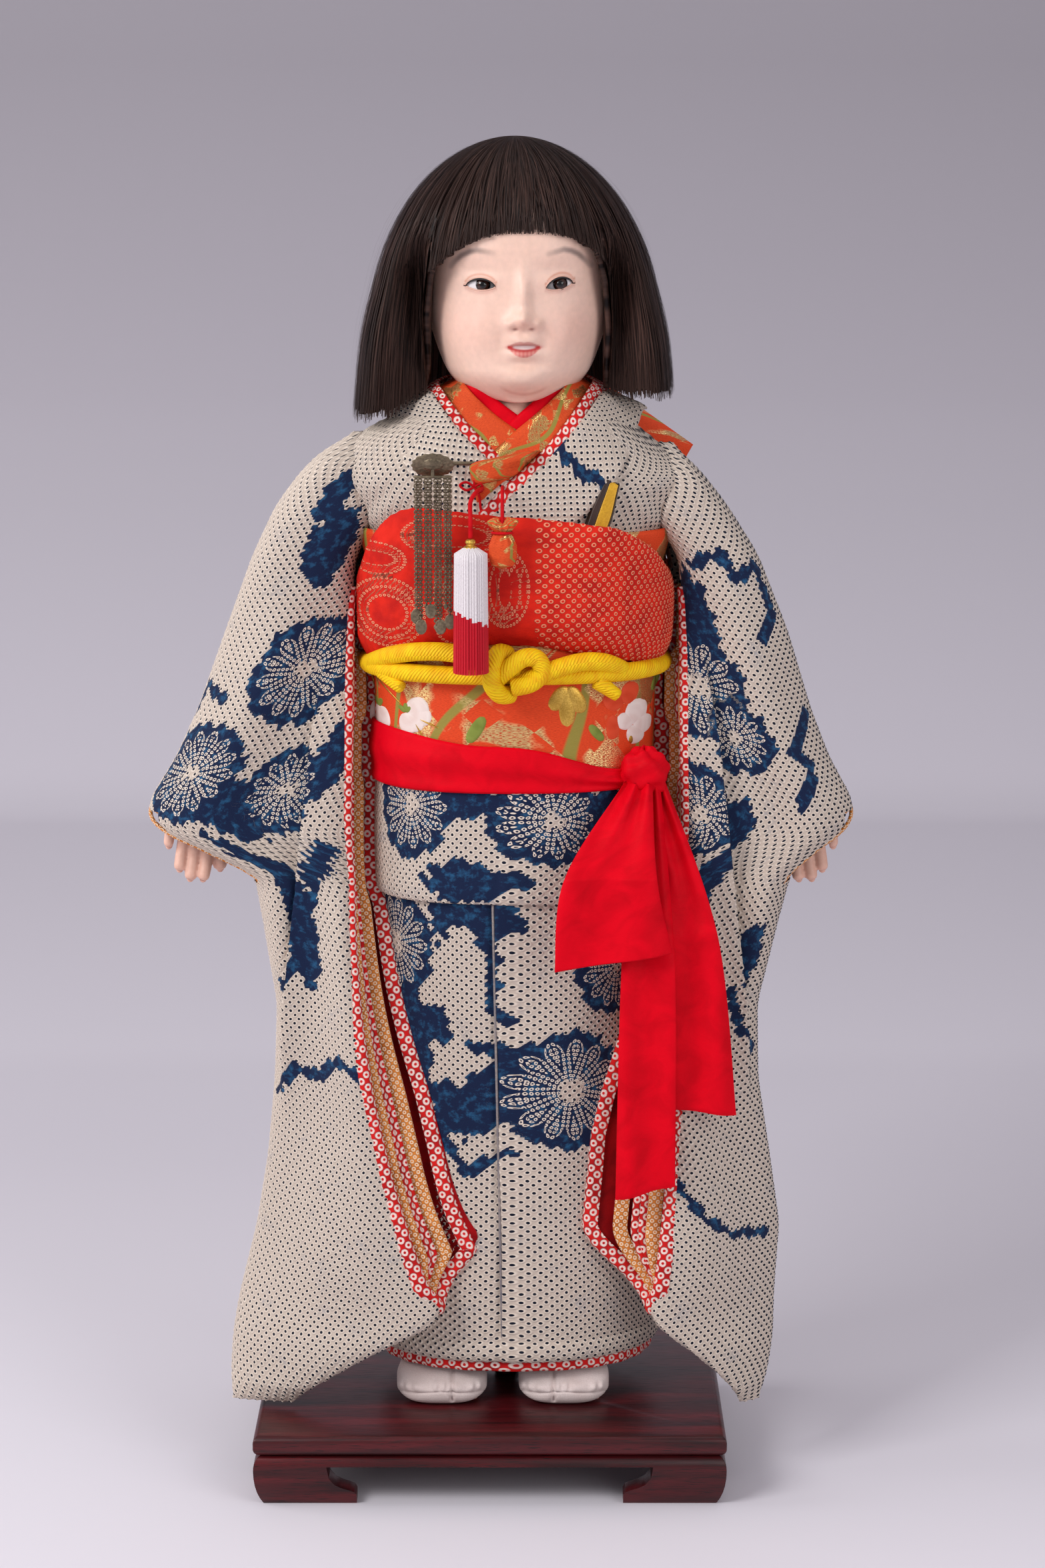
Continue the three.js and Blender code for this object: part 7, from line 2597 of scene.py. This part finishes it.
@dataclass
class Legs:
    """The split-toed socks, and the padded limbs and trunk inside the dress."""

    stance: tuple[float, float] = (-48.0, 32.0)
    soft_parts: tuple[str, ...] = (
        "waist_cloth",
        "left_thigh",
        "right_thigh",
        "left_upper_arm",
        "right_upper_arm",
    )
    hard_parts: tuple[str, ...] = (
        "torso",
        "pelvis",
        "left_lower_leg",
        "right_lower_leg",
        "left_forearm",
        "right_forearm",
    )

    def build(self) -> None:
        """Makes the socks and dresses the body inside."""
        for name, x, inner in (("left", self.stance[0], 1), ("right", self.stance[1], -1)):
            self.sock(name, x, inner)
        groups = frame["record"]["behaviour"]["bodies"]
        bodies = {node: body for body, nodes in groups.items() for node in nodes}
        for node in self.soft_parts + self.hard_parts:
            padded = node in self.soft_parts
            piece = copied(node, node + "_body", BODY_CLOTH if padded else GOFUN)
            if padded:
                apply(piece, "SUBSURF", levels=2, render_levels=2)
            fresh(piece)
            bpy.ops.object.shade_smooth_by_angle(angle=math.radians(50))
            seat(piece, bodies[node], "body_cloth" if padded else "gofun", node)

    def sock(self, name: str, x: float, inner: int) -> None:
        """One sock, with its split toe on the inner side.

        Args:
            name: "left" or "right".
            x: The middle of the foot.
            inner: Which way the big toe lies.
        """
        heel, toe = -34.0, 66.5

        def place(s: Array, t: Array) -> Array:
            """Points from heel to toe. The sole's edge comes up round the toe, with gathers above it."""
            way = heel + (toe - heel) * (0.5 - 0.5 * np.cos(math.pi * t))
            tip = np.clip((way - 40) / (toe - 40), 0, 1)
            end = np.clip((way + 14) / (heel + 14), 0, 1)
            round_off = (1 - tip**2.6) ** (1 / 2.6) * (1 - end**2.4) ** (1 / 2.4)
            half = np.interp(way, [-34, -10, 10, 30, 42, 52], [22, 22, 23, 27, 29.5, 30.5]) * round_off
            high = soft(way, [-34, -20, 0, 20, 38, 52, 66], [40, 46, 45, 35, 27, 23, 20], 4)
            low = 8 * (1 - np.sqrt(1 - np.clip((way - 59) / (toe - 59), 0, 1) ** 2))
            high = low + (high - low) * (0.12 + 0.88 * round_off)
            angle = TURN * s
            across = half * power(np.cos(angle), 0.72)
            lift = (low + high) / 2 + (high - low) / 2 * power(np.sin(angle), 0.62)
            ahead = smooth(way, 40, 60)
            seam = 10 * smooth(way, 38, 60) - 0.09 * np.abs(across) * ahead
            above = lift - seam
            gather = np.exp(-(((above - 3.6) / 2.4) ** 2)) * ahead
            pucker = gather * (1.1 + 0.8 * np.sin(across * 0.8 + 2 * np.sin(across * 0.27)))
            groove = np.exp(-((above / 0.8) ** 2)) * ahead
            split = np.exp(-(((across * inner - 7) / 1.3) ** 2)) * smooth(way, 26, 42) * smooth(lift, 1, 4)
            fold = smooth(lift, 16, 32) * np.sin(lift / 3.2 + across / 7) * 0.9 * (1 - ahead)
            push = pucker - 0.6 * groove - 2.6 * split
            raised = lift + 0.5 * pucker * smooth(above, 1, 6) - 1.2 * split * smooth(lift, 12, 20)
            lift = np.maximum(0, raised)
            return np.stack([x + across * (1 + 0.012 * push), -way - push * ahead - fold, lift], -1)

        piece = Cloth(f"{name}_tabi_cotton", 200, 110, place, TABI).build()
        fresh(piece)
        bpy.ops.object.mode_set(mode="EDIT")
        bpy.ops.mesh.select_all(action="SELECT")
        bpy.ops.mesh.normals_make_consistent(inside=False)
        bpy.ops.object.mode_set(mode="OBJECT")
        seat(piece, Body.DOLL, "tabi_cotton", f"{name}_tabi")


@dataclass
class Ornaments:
    """The small things at the chest: wallet, hair ornament, tassel, pouch and fan."""

    wallet_at: tuple[float, float, float] = (-1.0, -52.9, 606.0)
    pin_x: float = -50.0
    pin_z: float = 615.0
    chain_y: float = HANG_Y + 2
    link_step: float = 1.6
    tassel_x: float = -27.0
    tassel_start: tuple[float, float, float] = (-20.0, -62.5, 600.0)
    tassel_long: float = 83.0
    cap_z: float = 573.0
    pouch_x: float = -7.5
    fan_tip: tuple[float, float] = (61.0, 604.0)
    fan_lean: float = 19.0
    # Each hanging chain: two rows with their shift, their count of links and the size of their leaf
    hangings: tuple[tuple[tuple[float, int, float], ...], ...] = (
        ((-1.2, 25, 4.8), (1.2, 27, 4.8)),
        ((-1.2, 24, 1.6), (1.2, 24, 4.6)),
        ((-1.2, 28, 1.8), (1.2, 27, 4.8)),
        ((-1.2, 24, 1.8), (1.2, 26, 4.8)),
    )

    def build(self) -> None:
        """Makes each thing."""
        self.wallet()
        self.pin()
        for number in range(4):
            self.chain(number)
        self.tassel()
        self.pouch()
        self.fan()

    def slab(
        self,
        name: str,
        middle: Sequence[float],
        size: Sequence[float],
        finish: Finish,
        matrix: Array,
        tucked: bool = False,
    ) -> Piece:
        """A stuffed flat thing with rounded edges.

        Args:
            name: The piece's name.
            middle: Its middle.
            size: Its half sizes.
            finish: Its surface.
            matrix: Its turn.
            tucked: Whether its right end lies under the right collar.

        Returns:
            The piece.
        """

        def place(s: Array, t: Array) -> Array:
            """Points from the foot to the top."""
            angle, up = TURN * s, math.pi * (t - 0.5)
            level = power(np.cos(up), 0.35)
            x = level * power(np.cos(angle), 0.3)
            y = level * power(np.sin(angle), 0.5)
            z = power(np.sin(up), 0.4)
            point = np.array(middle) + (np.stack([x, y, z], -1) * np.array(size)) @ matrix.T
            if tucked:
                edge = np.interp(point[..., 2], [574, 586, 603, 622, 643, 659], [-33, -21, -3, 18, 35, 46])
                under = front_of(np.abs(point[..., 0]), point[..., 2], -2.5)
                under = under + 0.15 * (point[..., 1] - middle[1])
                share = smooth(point[..., 0] - edge, -9, 1)
                point[..., 1] += (under - point[..., 1]) * share
            return point

        return Cloth(name, 72, 48, place, finish).build()

    def wallet(self) -> None:
        """The folded brocade wallet with its flap and a little red cord."""
        x, y, z = self.wallet_at
        roll = self.slab("roll", (x - 4, y - 5, z + 7), (23, 4.2, 7.2), SMALL_BROCADE, turned(y=-11), True)
        under = self.slab("under", (x - 11, y - 4, z - 5), (13, 2.6, 13), SMALL_BROCADE, turned(y=-6), True)
        seat(joined("wallet_brocade", [roll, under]), Body.DOLL, "brocade", "wallet")
        t = np.linspace(0, 1, 30)
        knot = np.array([x - 24, y - 7.5, z - 5])
        loops = []
        for line in (
            [(0, 0, 0), (-5, -0.6, 3), (-9, 0, 1), (-5, -0.4, -2), (0, 0, 0)],
            [(0, 0, 0), (4, -0.6, 2), (5, 0, -2), (2, -0.4, -3), (0, 0, 0)],
            [(0, 0, 0), (3, 0, -6), (4, 0, -14), (7, 1, -22)],
            [(0, 0, 0), (0, 0, 5), (1, 1, 9)],
        ):
            loops.append(tube("loop", knot + through(line, t), 0.8, RED_THREAD, 8))
        seat(joined("wallet_cord", loops), Body.DOLL, "red_silk")

    def pin(self) -> None:
        """The brass hair ornament: a stem in the wallet, an engraved disc and the bar for its chains."""
        x, y, z = self.pin_x, self.wallet_at[1], self.pin_z
        t = np.linspace(0, 1, 20)
        stem = tube("stem", through([(x + 8, y, z), (x + 30, y, z), (1, y, z)], t), 1.15, BRASS, 10)
        reach = [(x + 9, y, z), (x + 6, y - 22, z + 1), (x, self.chain_y, z + 2)]
        arm = tube("arm", through(reach, t), 1.7, BRASS, 10)

        def petals(round_by: Array, up: Array) -> Array:
            """A scalloped rim."""
            return 1 + 0.035 * np.cos(16 * round_by)

        lean = turned(x=-55)
        disc = ball("disc", (x, self.chain_y, z + 3), (13, 9.5, 1.3), BRASS, petals, 64, 16, lean)
        boss = ball("boss", (x, self.chain_y - 1.2, z + 3.6), (7, 5, 2), BRASS, petals, 48, 12, lean)
        rod = np.linspace((x - 12.5, self.chain_y, z - 4), (x + 12.5, self.chain_y, z - 4), 16)
        bar = tube("bar", rod, 0.95, BRASS, 10)
        neck = tube("neck", np.linspace((x, self.chain_y, z + 2), (x, self.chain_y, z - 5), 8), 1.2, BRASS, 8)
        seat(joined("kanzashi_brass", [stem, arm, disc, boss, bar, neck]), Body.PIN, "gilt_brass", "kanzashi")

    def chain(self, number: int) -> None:
        """Two rows of fine links that end in round leaves.

        Args:
            number: Which of the four hanging chains, from the viewer's left.
        """
        x = self.pin_x + (number - 1.5) * 6
        top = self.pin_z - 5.4
        rows = []
        ring = {"major_radius": 1.2 * MM, "minor_radius": 0.5 * MM, "major_segments": 8, "minor_segments": 4}
        for shift, links, leaf in self.hangings[number]:
            at = SOLE + np.array([x + shift, self.chain_y, top - 1.0]) * MM
            pair = []
            for k in range(2):
                fresh()
                turn = (math.pi / 2, 0, k * math.pi / 2)
                where = tuple(at - np.array([0, 0, self.link_step * MM * k]))
                bpy.ops.mesh.primitive_torus_add(location=where, rotation=turn, **ring)
                made = bpy.context.active_object
                made.data.materials.append(BRASS.material())
                bpy.ops.object.transform_apply(location=True, rotation=True, scale=True)
                pair.append(made)
            row = joined("links", pair)
            gap = (0, 0, -2 * self.link_step * MM)
            more = {"use_constant_offset": True, "constant_offset_displace": gap}
            apply(row, "ARRAY", count=links, use_relative_offset=False, **more)
            rows.append(row)
            foot = top - 2 * self.link_step * links - leaf
            plate = (x + shift * 1.2, self.chain_y - 0.5 * shift, foot)
            rows.append(ball("plate", plate, (0.75 * leaf, 0.45, leaf), BRASS, None, 24, 14))
        whole = joined(f"kanzashi_links_{number + 1}", rows)
        fresh(whole)
        bpy.ops.object.shade_smooth()
        seat(whole, f"chain_{number + 1}", "gilt_brass", f"kanzashi_chain_{number + 1}")

    def tassel(self) -> None:
        """The tassel: a red cord, a beaded cap and dipped silk strands."""
        x, y, top = self.tassel_x, HANG_Y, self.cap_z
        start = np.array(self.tassel_start)
        path = [start, ((x + start[0]) / 2, (y + start[1]) / 2, 600), (x, y + (start[1] - y) * 0.2, 595)]
        path += [(x, y, 585), (x, y, top + 0.3)]
        line = through(path, np.linspace(0, 1, 60))
        cord = tube("tassel_silk_cord", line, 1.4, RED_THREAD, 10)
        seat(cord, Body.TASSEL, "red_silk", "tassel_cord")
        world = [tuple(SOLE + p * MM) for p in line]
        profile = [(0.2, top), (2.2, top - 0.3), (3.2, top - 2), (2.4, top - 3.6)]
        profile += [(4.2, top - 5), (4.6, top - 7), (4.2, top - 12)]

        def turn(s: Array, t: Array) -> Array:
            """Points of the cap."""
            edge = through([(r, 0, h) for r, h in profile], 1 - t)
            wide = edge[..., 0] * (1 + 0.06 * np.cos(12 * TURN * s))
            return np.stack([x + wide * np.cos(TURN * s), y + wide * np.sin(TURN * s), edge[..., 2]], -1)

        cap = Cloth("tassel_cap_bead", 48, 30, turn, GOLD_THREAD).build()
        seat(cap, Body.TASSEL, "gilt_brass", "tassel_cap")
        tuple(world[0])
        count, sides = 36, 6
        rng = np.random.default_rng(3)
        size = 8.7 + rng.normal(0, 0.2, count)
        step = 0.44 - 0.055 * np.cos(TURN * np.arange(count) / count) + rng.normal(0, 0.01, count)
        columns = count * (sides + 1) - 1
        low = top - self.tassel_long

        def strand(s: Array, t: Array) -> Array:
            """Points of the strands from foot to cap, each round in front."""
            column = np.rint(s * columns).astype(int)
            index = column // (sides + 1)
            angle = TURN * index / count
            bend = math.pi * (column % (sides + 1) / sides - 0.5)
            round_top = np.sqrt(np.clip((1.0 - t) / 0.05, 0.06, 1))
            wide = (size[index] * (1.14 - 0.09 * t) + 0.8 * np.cos(bend)) * round_top
            aside = 0.85 * round_top * np.sin(bend)
            cos, sin = np.cos(angle), np.sin(angle)
            z = low + (top - 4.0 - low) * t
            return np.stack([x + wide * cos - aside * sin, y + wide * sin + aside * cos, z], -1)

        def measure(s: Array, t: Array, points: Array) -> tuple[Array, Array]:
            """The strand's number and the share of its length."""
            return s * columns / 2, t

        def drop(s: Array, t: Array, where: Array) -> Array:
            """The gaps between strands."""
            return np.floor(s * columns) % (sides + 1) == sides

        def paint(s: Array, t: Array, points: Array, u: Array, v: Array) -> dict:
            """How far each strand was dipped."""
            return {"dip": step[np.rint(s * columns).astype(int) // (sides + 1)]}

        more = {"measure": measure, "drop": drop, "paint": paint}
        threads = Cloth("threads", columns, 16, strand, TASSEL_THREAD, **more).build()

        def core(s: Array, t: Array) -> Array:
            """The bundle inside."""
            wide = 7.6 * np.sqrt(np.clip((1 - t) / 0.06, 0, 1)) * np.sqrt(np.clip(t / 0.02, 0, 1))
            z = low + 1 + (top - 6 - low) * t
            return np.stack([x + wide * np.cos(TURN * s), y + wide * np.sin(TURN * s), z], -1)

        def whole_dip(s: Array, t: Array, points: Array, u: Array, v: Array) -> dict:
            """One dip line for the bundle."""
            return {"dip": 0.46 + 0 * s}

        more = {"measure": lambda s, t, points: (s * 80, t), "paint": whole_dip}
        bundle = Cloth("bundle", 40, 20, core, TASSEL_THREAD, **more).build()
        seat(joined("tassel_silk_fringe", [threads, bundle]), Body.TASSEL, "red_silk", "tassel_fringe")

    def pouch(self) -> None:
        """The little gathered brocade bag on its string."""
        x, y, top = self.pouch_x, HANG_Y + 6, 581.0
        start = -57.66
        path = [(x, start, 601), (x, (y + start) / 2, 600), (x, y + (start - y) * 0.2, 595)]
        path += [(x, y, 590), (x, y, top - 4)]
        string = tube("string", through(path, np.linspace(0, 1, 40)), 1.15, RED_THREAD, 8)
        downs = [0, 0.03, 0.1, 0.2, 0.32, 0.5, 0.75, 0.93, 1]
        wides = [0.2, 0.5, 0.68, 0.46, 0.72, 0.98, 1, 0.78, 0.05]

        def bag(s: Array, t: Array) -> Array:
            """Points of the bag, gathered at its neck."""
            down = 1 - t
            wide = np.interp(down, downs, wides)
            gather = 1 + 0.13 * np.cos(11 * TURN * s) * (1 - smooth(down, 0.15, 0.6))
            gather = gather + 0.03 * np.cos(5 * TURN * s)
            ear = np.abs(np.cos(TURN * s)) * (1 - smooth(down, 0.1, 0.2))
            wide = wide * gather * (1 + 0.5 * ear)
            ring = np.stack([x + 8.8 * wide * np.cos(TURN * s), y + 6.0 * wide * np.sin(TURN * s)], -1)
            return np.concatenate([ring, (top + 1 + 4 * ear**2 - 28 * down)[..., None]], -1)

        body = Cloth("bag", 88, 44, bag, SMALL_BROCADE).build()
        circle = [(6.2 * math.cos(a), 4.2 * math.sin(a), 0) for a in np.linspace(0, TURN, 17)]
        loop = through(circle, np.linspace(0, 1, 40))
        tie = tube("tie", loop + np.array([x, y, top - 4.8]), 0.8, RED_THREAD, 8)
        whole = joined("pouch_bag", [body, string, tie])
        seat(whole, Body.POUCH, "brocade", "pouch")

    def fan(self) -> None:
        """The closed fan: gold paper between two smoked guards."""
        solid = bpy.data.objects["fan_leaf"]
        corners = np.array([solid.matrix_world @ vertex.co for vertex in solid.data.vertices])
        corners = (corners - SOLE) / MM
        axes = np.linalg.svd(corners - corners.mean(0), full_matrices=False)[2]
        deep = axes[2] * -np.sign(axes[2][1])
        lean = math.radians(self.fan_lean)
        long = np.array([math.sin(lean), 0.0, math.cos(lean)])
        wide = np.array([math.cos(lean), 0.0, -math.sin(lean)])
        tip = np.array([self.fan_tip[0], 0.0, self.fan_tip[1]])

        def stick(name: str, left: float, right: float, thick: float, top: float, finish: Finish) -> Piece:
            """A flat stick from the rivet to the open end, tapered to its tip."""

            def place(s: Array, t: Array) -> Array:
                """Points of the stick from its foot to its tip."""
                angle = TURN * s
                up = -49 + (top + 49) * t
                slim = 0.8 + 0.2 * smooth(t, 0.0, 0.5) - 0.3 * smooth(t, 0.75, 1)
                slim = slim * np.clip((1 - t) / 0.01, 0, 1) * np.clip(t / 0.01, 0, 1)
                aside = (left + right) / 2 + (right - left) / 2 * power(np.cos(angle), 0.25)
                ahead = thick / 2 * power(np.sin(angle), 0.25)
                spot = (aside * slim)[..., None] * wide + (ahead * slim)[..., None] * deep
                line = tip + (up - 46)[..., None] * long
                line[..., 1] = front_of(line[..., 0], line[..., 2], 3.6)
                return line + spot

            made = Cloth(name, 32, 60, place, finish).build()
            fresh(made)
            bpy.ops.object.shade_smooth_by_angle(angle=math.radians(40))
            return made

        leaf = stick("fan_leaf_closed", -2.6, 5.6, 5.0, 46.0, FAN_GOLD)
        seat(leaf, Body.FAN, "fan_paper", "fan_leaf")
        guards = [stick("left", -7.0, -2.6, 5.4, 47.0, FAN_WOOD)]
        guards += [stick("right", 5.6, 6.6, 5.4, 46.5, FAN_WOOD)]
        seat(joined("fan_guards_closed", guards), Body.FAN, "fan_wood", "fan_guards")


LEFT_DYE = DyePlan(
    flowers=[(-134, 482, 33), (-206, 416, 30), (-146, 404, 27)],
    fields=[
        (-118, 560, 15, 26),
        (-112, 594, 8, 18),
        (-142, 330, 12, 46),
        (-176, 392, 22, 18),
        (-112, 432, 12, 26),
    ],
    leaves=[(-176, 458, 12, 14)],
    clouds=[
        [(-154, 206), (-142, 224), (-126, 222), (-112, 236), (-98, 224), (-88, 228)],
        [(-120, 372), (-134, 350), (-136, 300), (-150, 276)],
        [(-208, 452), (-196, 470), (-186, 462)],
    ],
    behind=[(-140, 470, 34), (-110, 300, 36), (-120, 120, 34)],
)
RIGHT_DYE = DyePlan(
    flowers=[(116, 472, 34), (118, 392, 30), (140, 438, 22)],
    fields=[(112, 520, 14, 26), (132, 360, 10, 40), (150, 300, 8, 22), (112, 340, 8, 30)],
    clouds=[
        [(112, 548), (128, 556), (140, 540), (152, 548), (164, 516), (158, 500)],
        [(186, 452), (178, 430), (190, 418), (184, 396)],
        [(138, 278), (146, 250), (154, 236)],
        [(104, 156), (122, 132), (140, 118), (164, 112)],
    ],
    behind=[(140, 470, 34), (120, 300, 36), (130, 120, 34)],
)


def main() -> None:
    """Builds the doll piece by piece and reports each."""
    logging.basicConfig(level=logging.INFO, format="%(message)s")
    Studio().build()
    Stand().build()
    Kimono().build()
    Sleeve(-1, 232.0, (102.0, 45.0), 10.0, (0.43, 0.3, 0.155, 0.035), LEFT_DYE).build()
    Sleeve(1, 214.0, (105.0, 86.0), -6.0, (0.385, 0.18, 0.0, -0.07), RIGHT_DYE, high=623.0).build()
    Waist().build()
    Legs().build()
    Head().build()
    Wig().build()
    Hand(-1, (-203.0, -16.0, 408.0)).build()
    Hand(1, (185.0, -16.0, 408.0)).build()
    Ornaments().build()


if __name__ == "__main__":
    main()
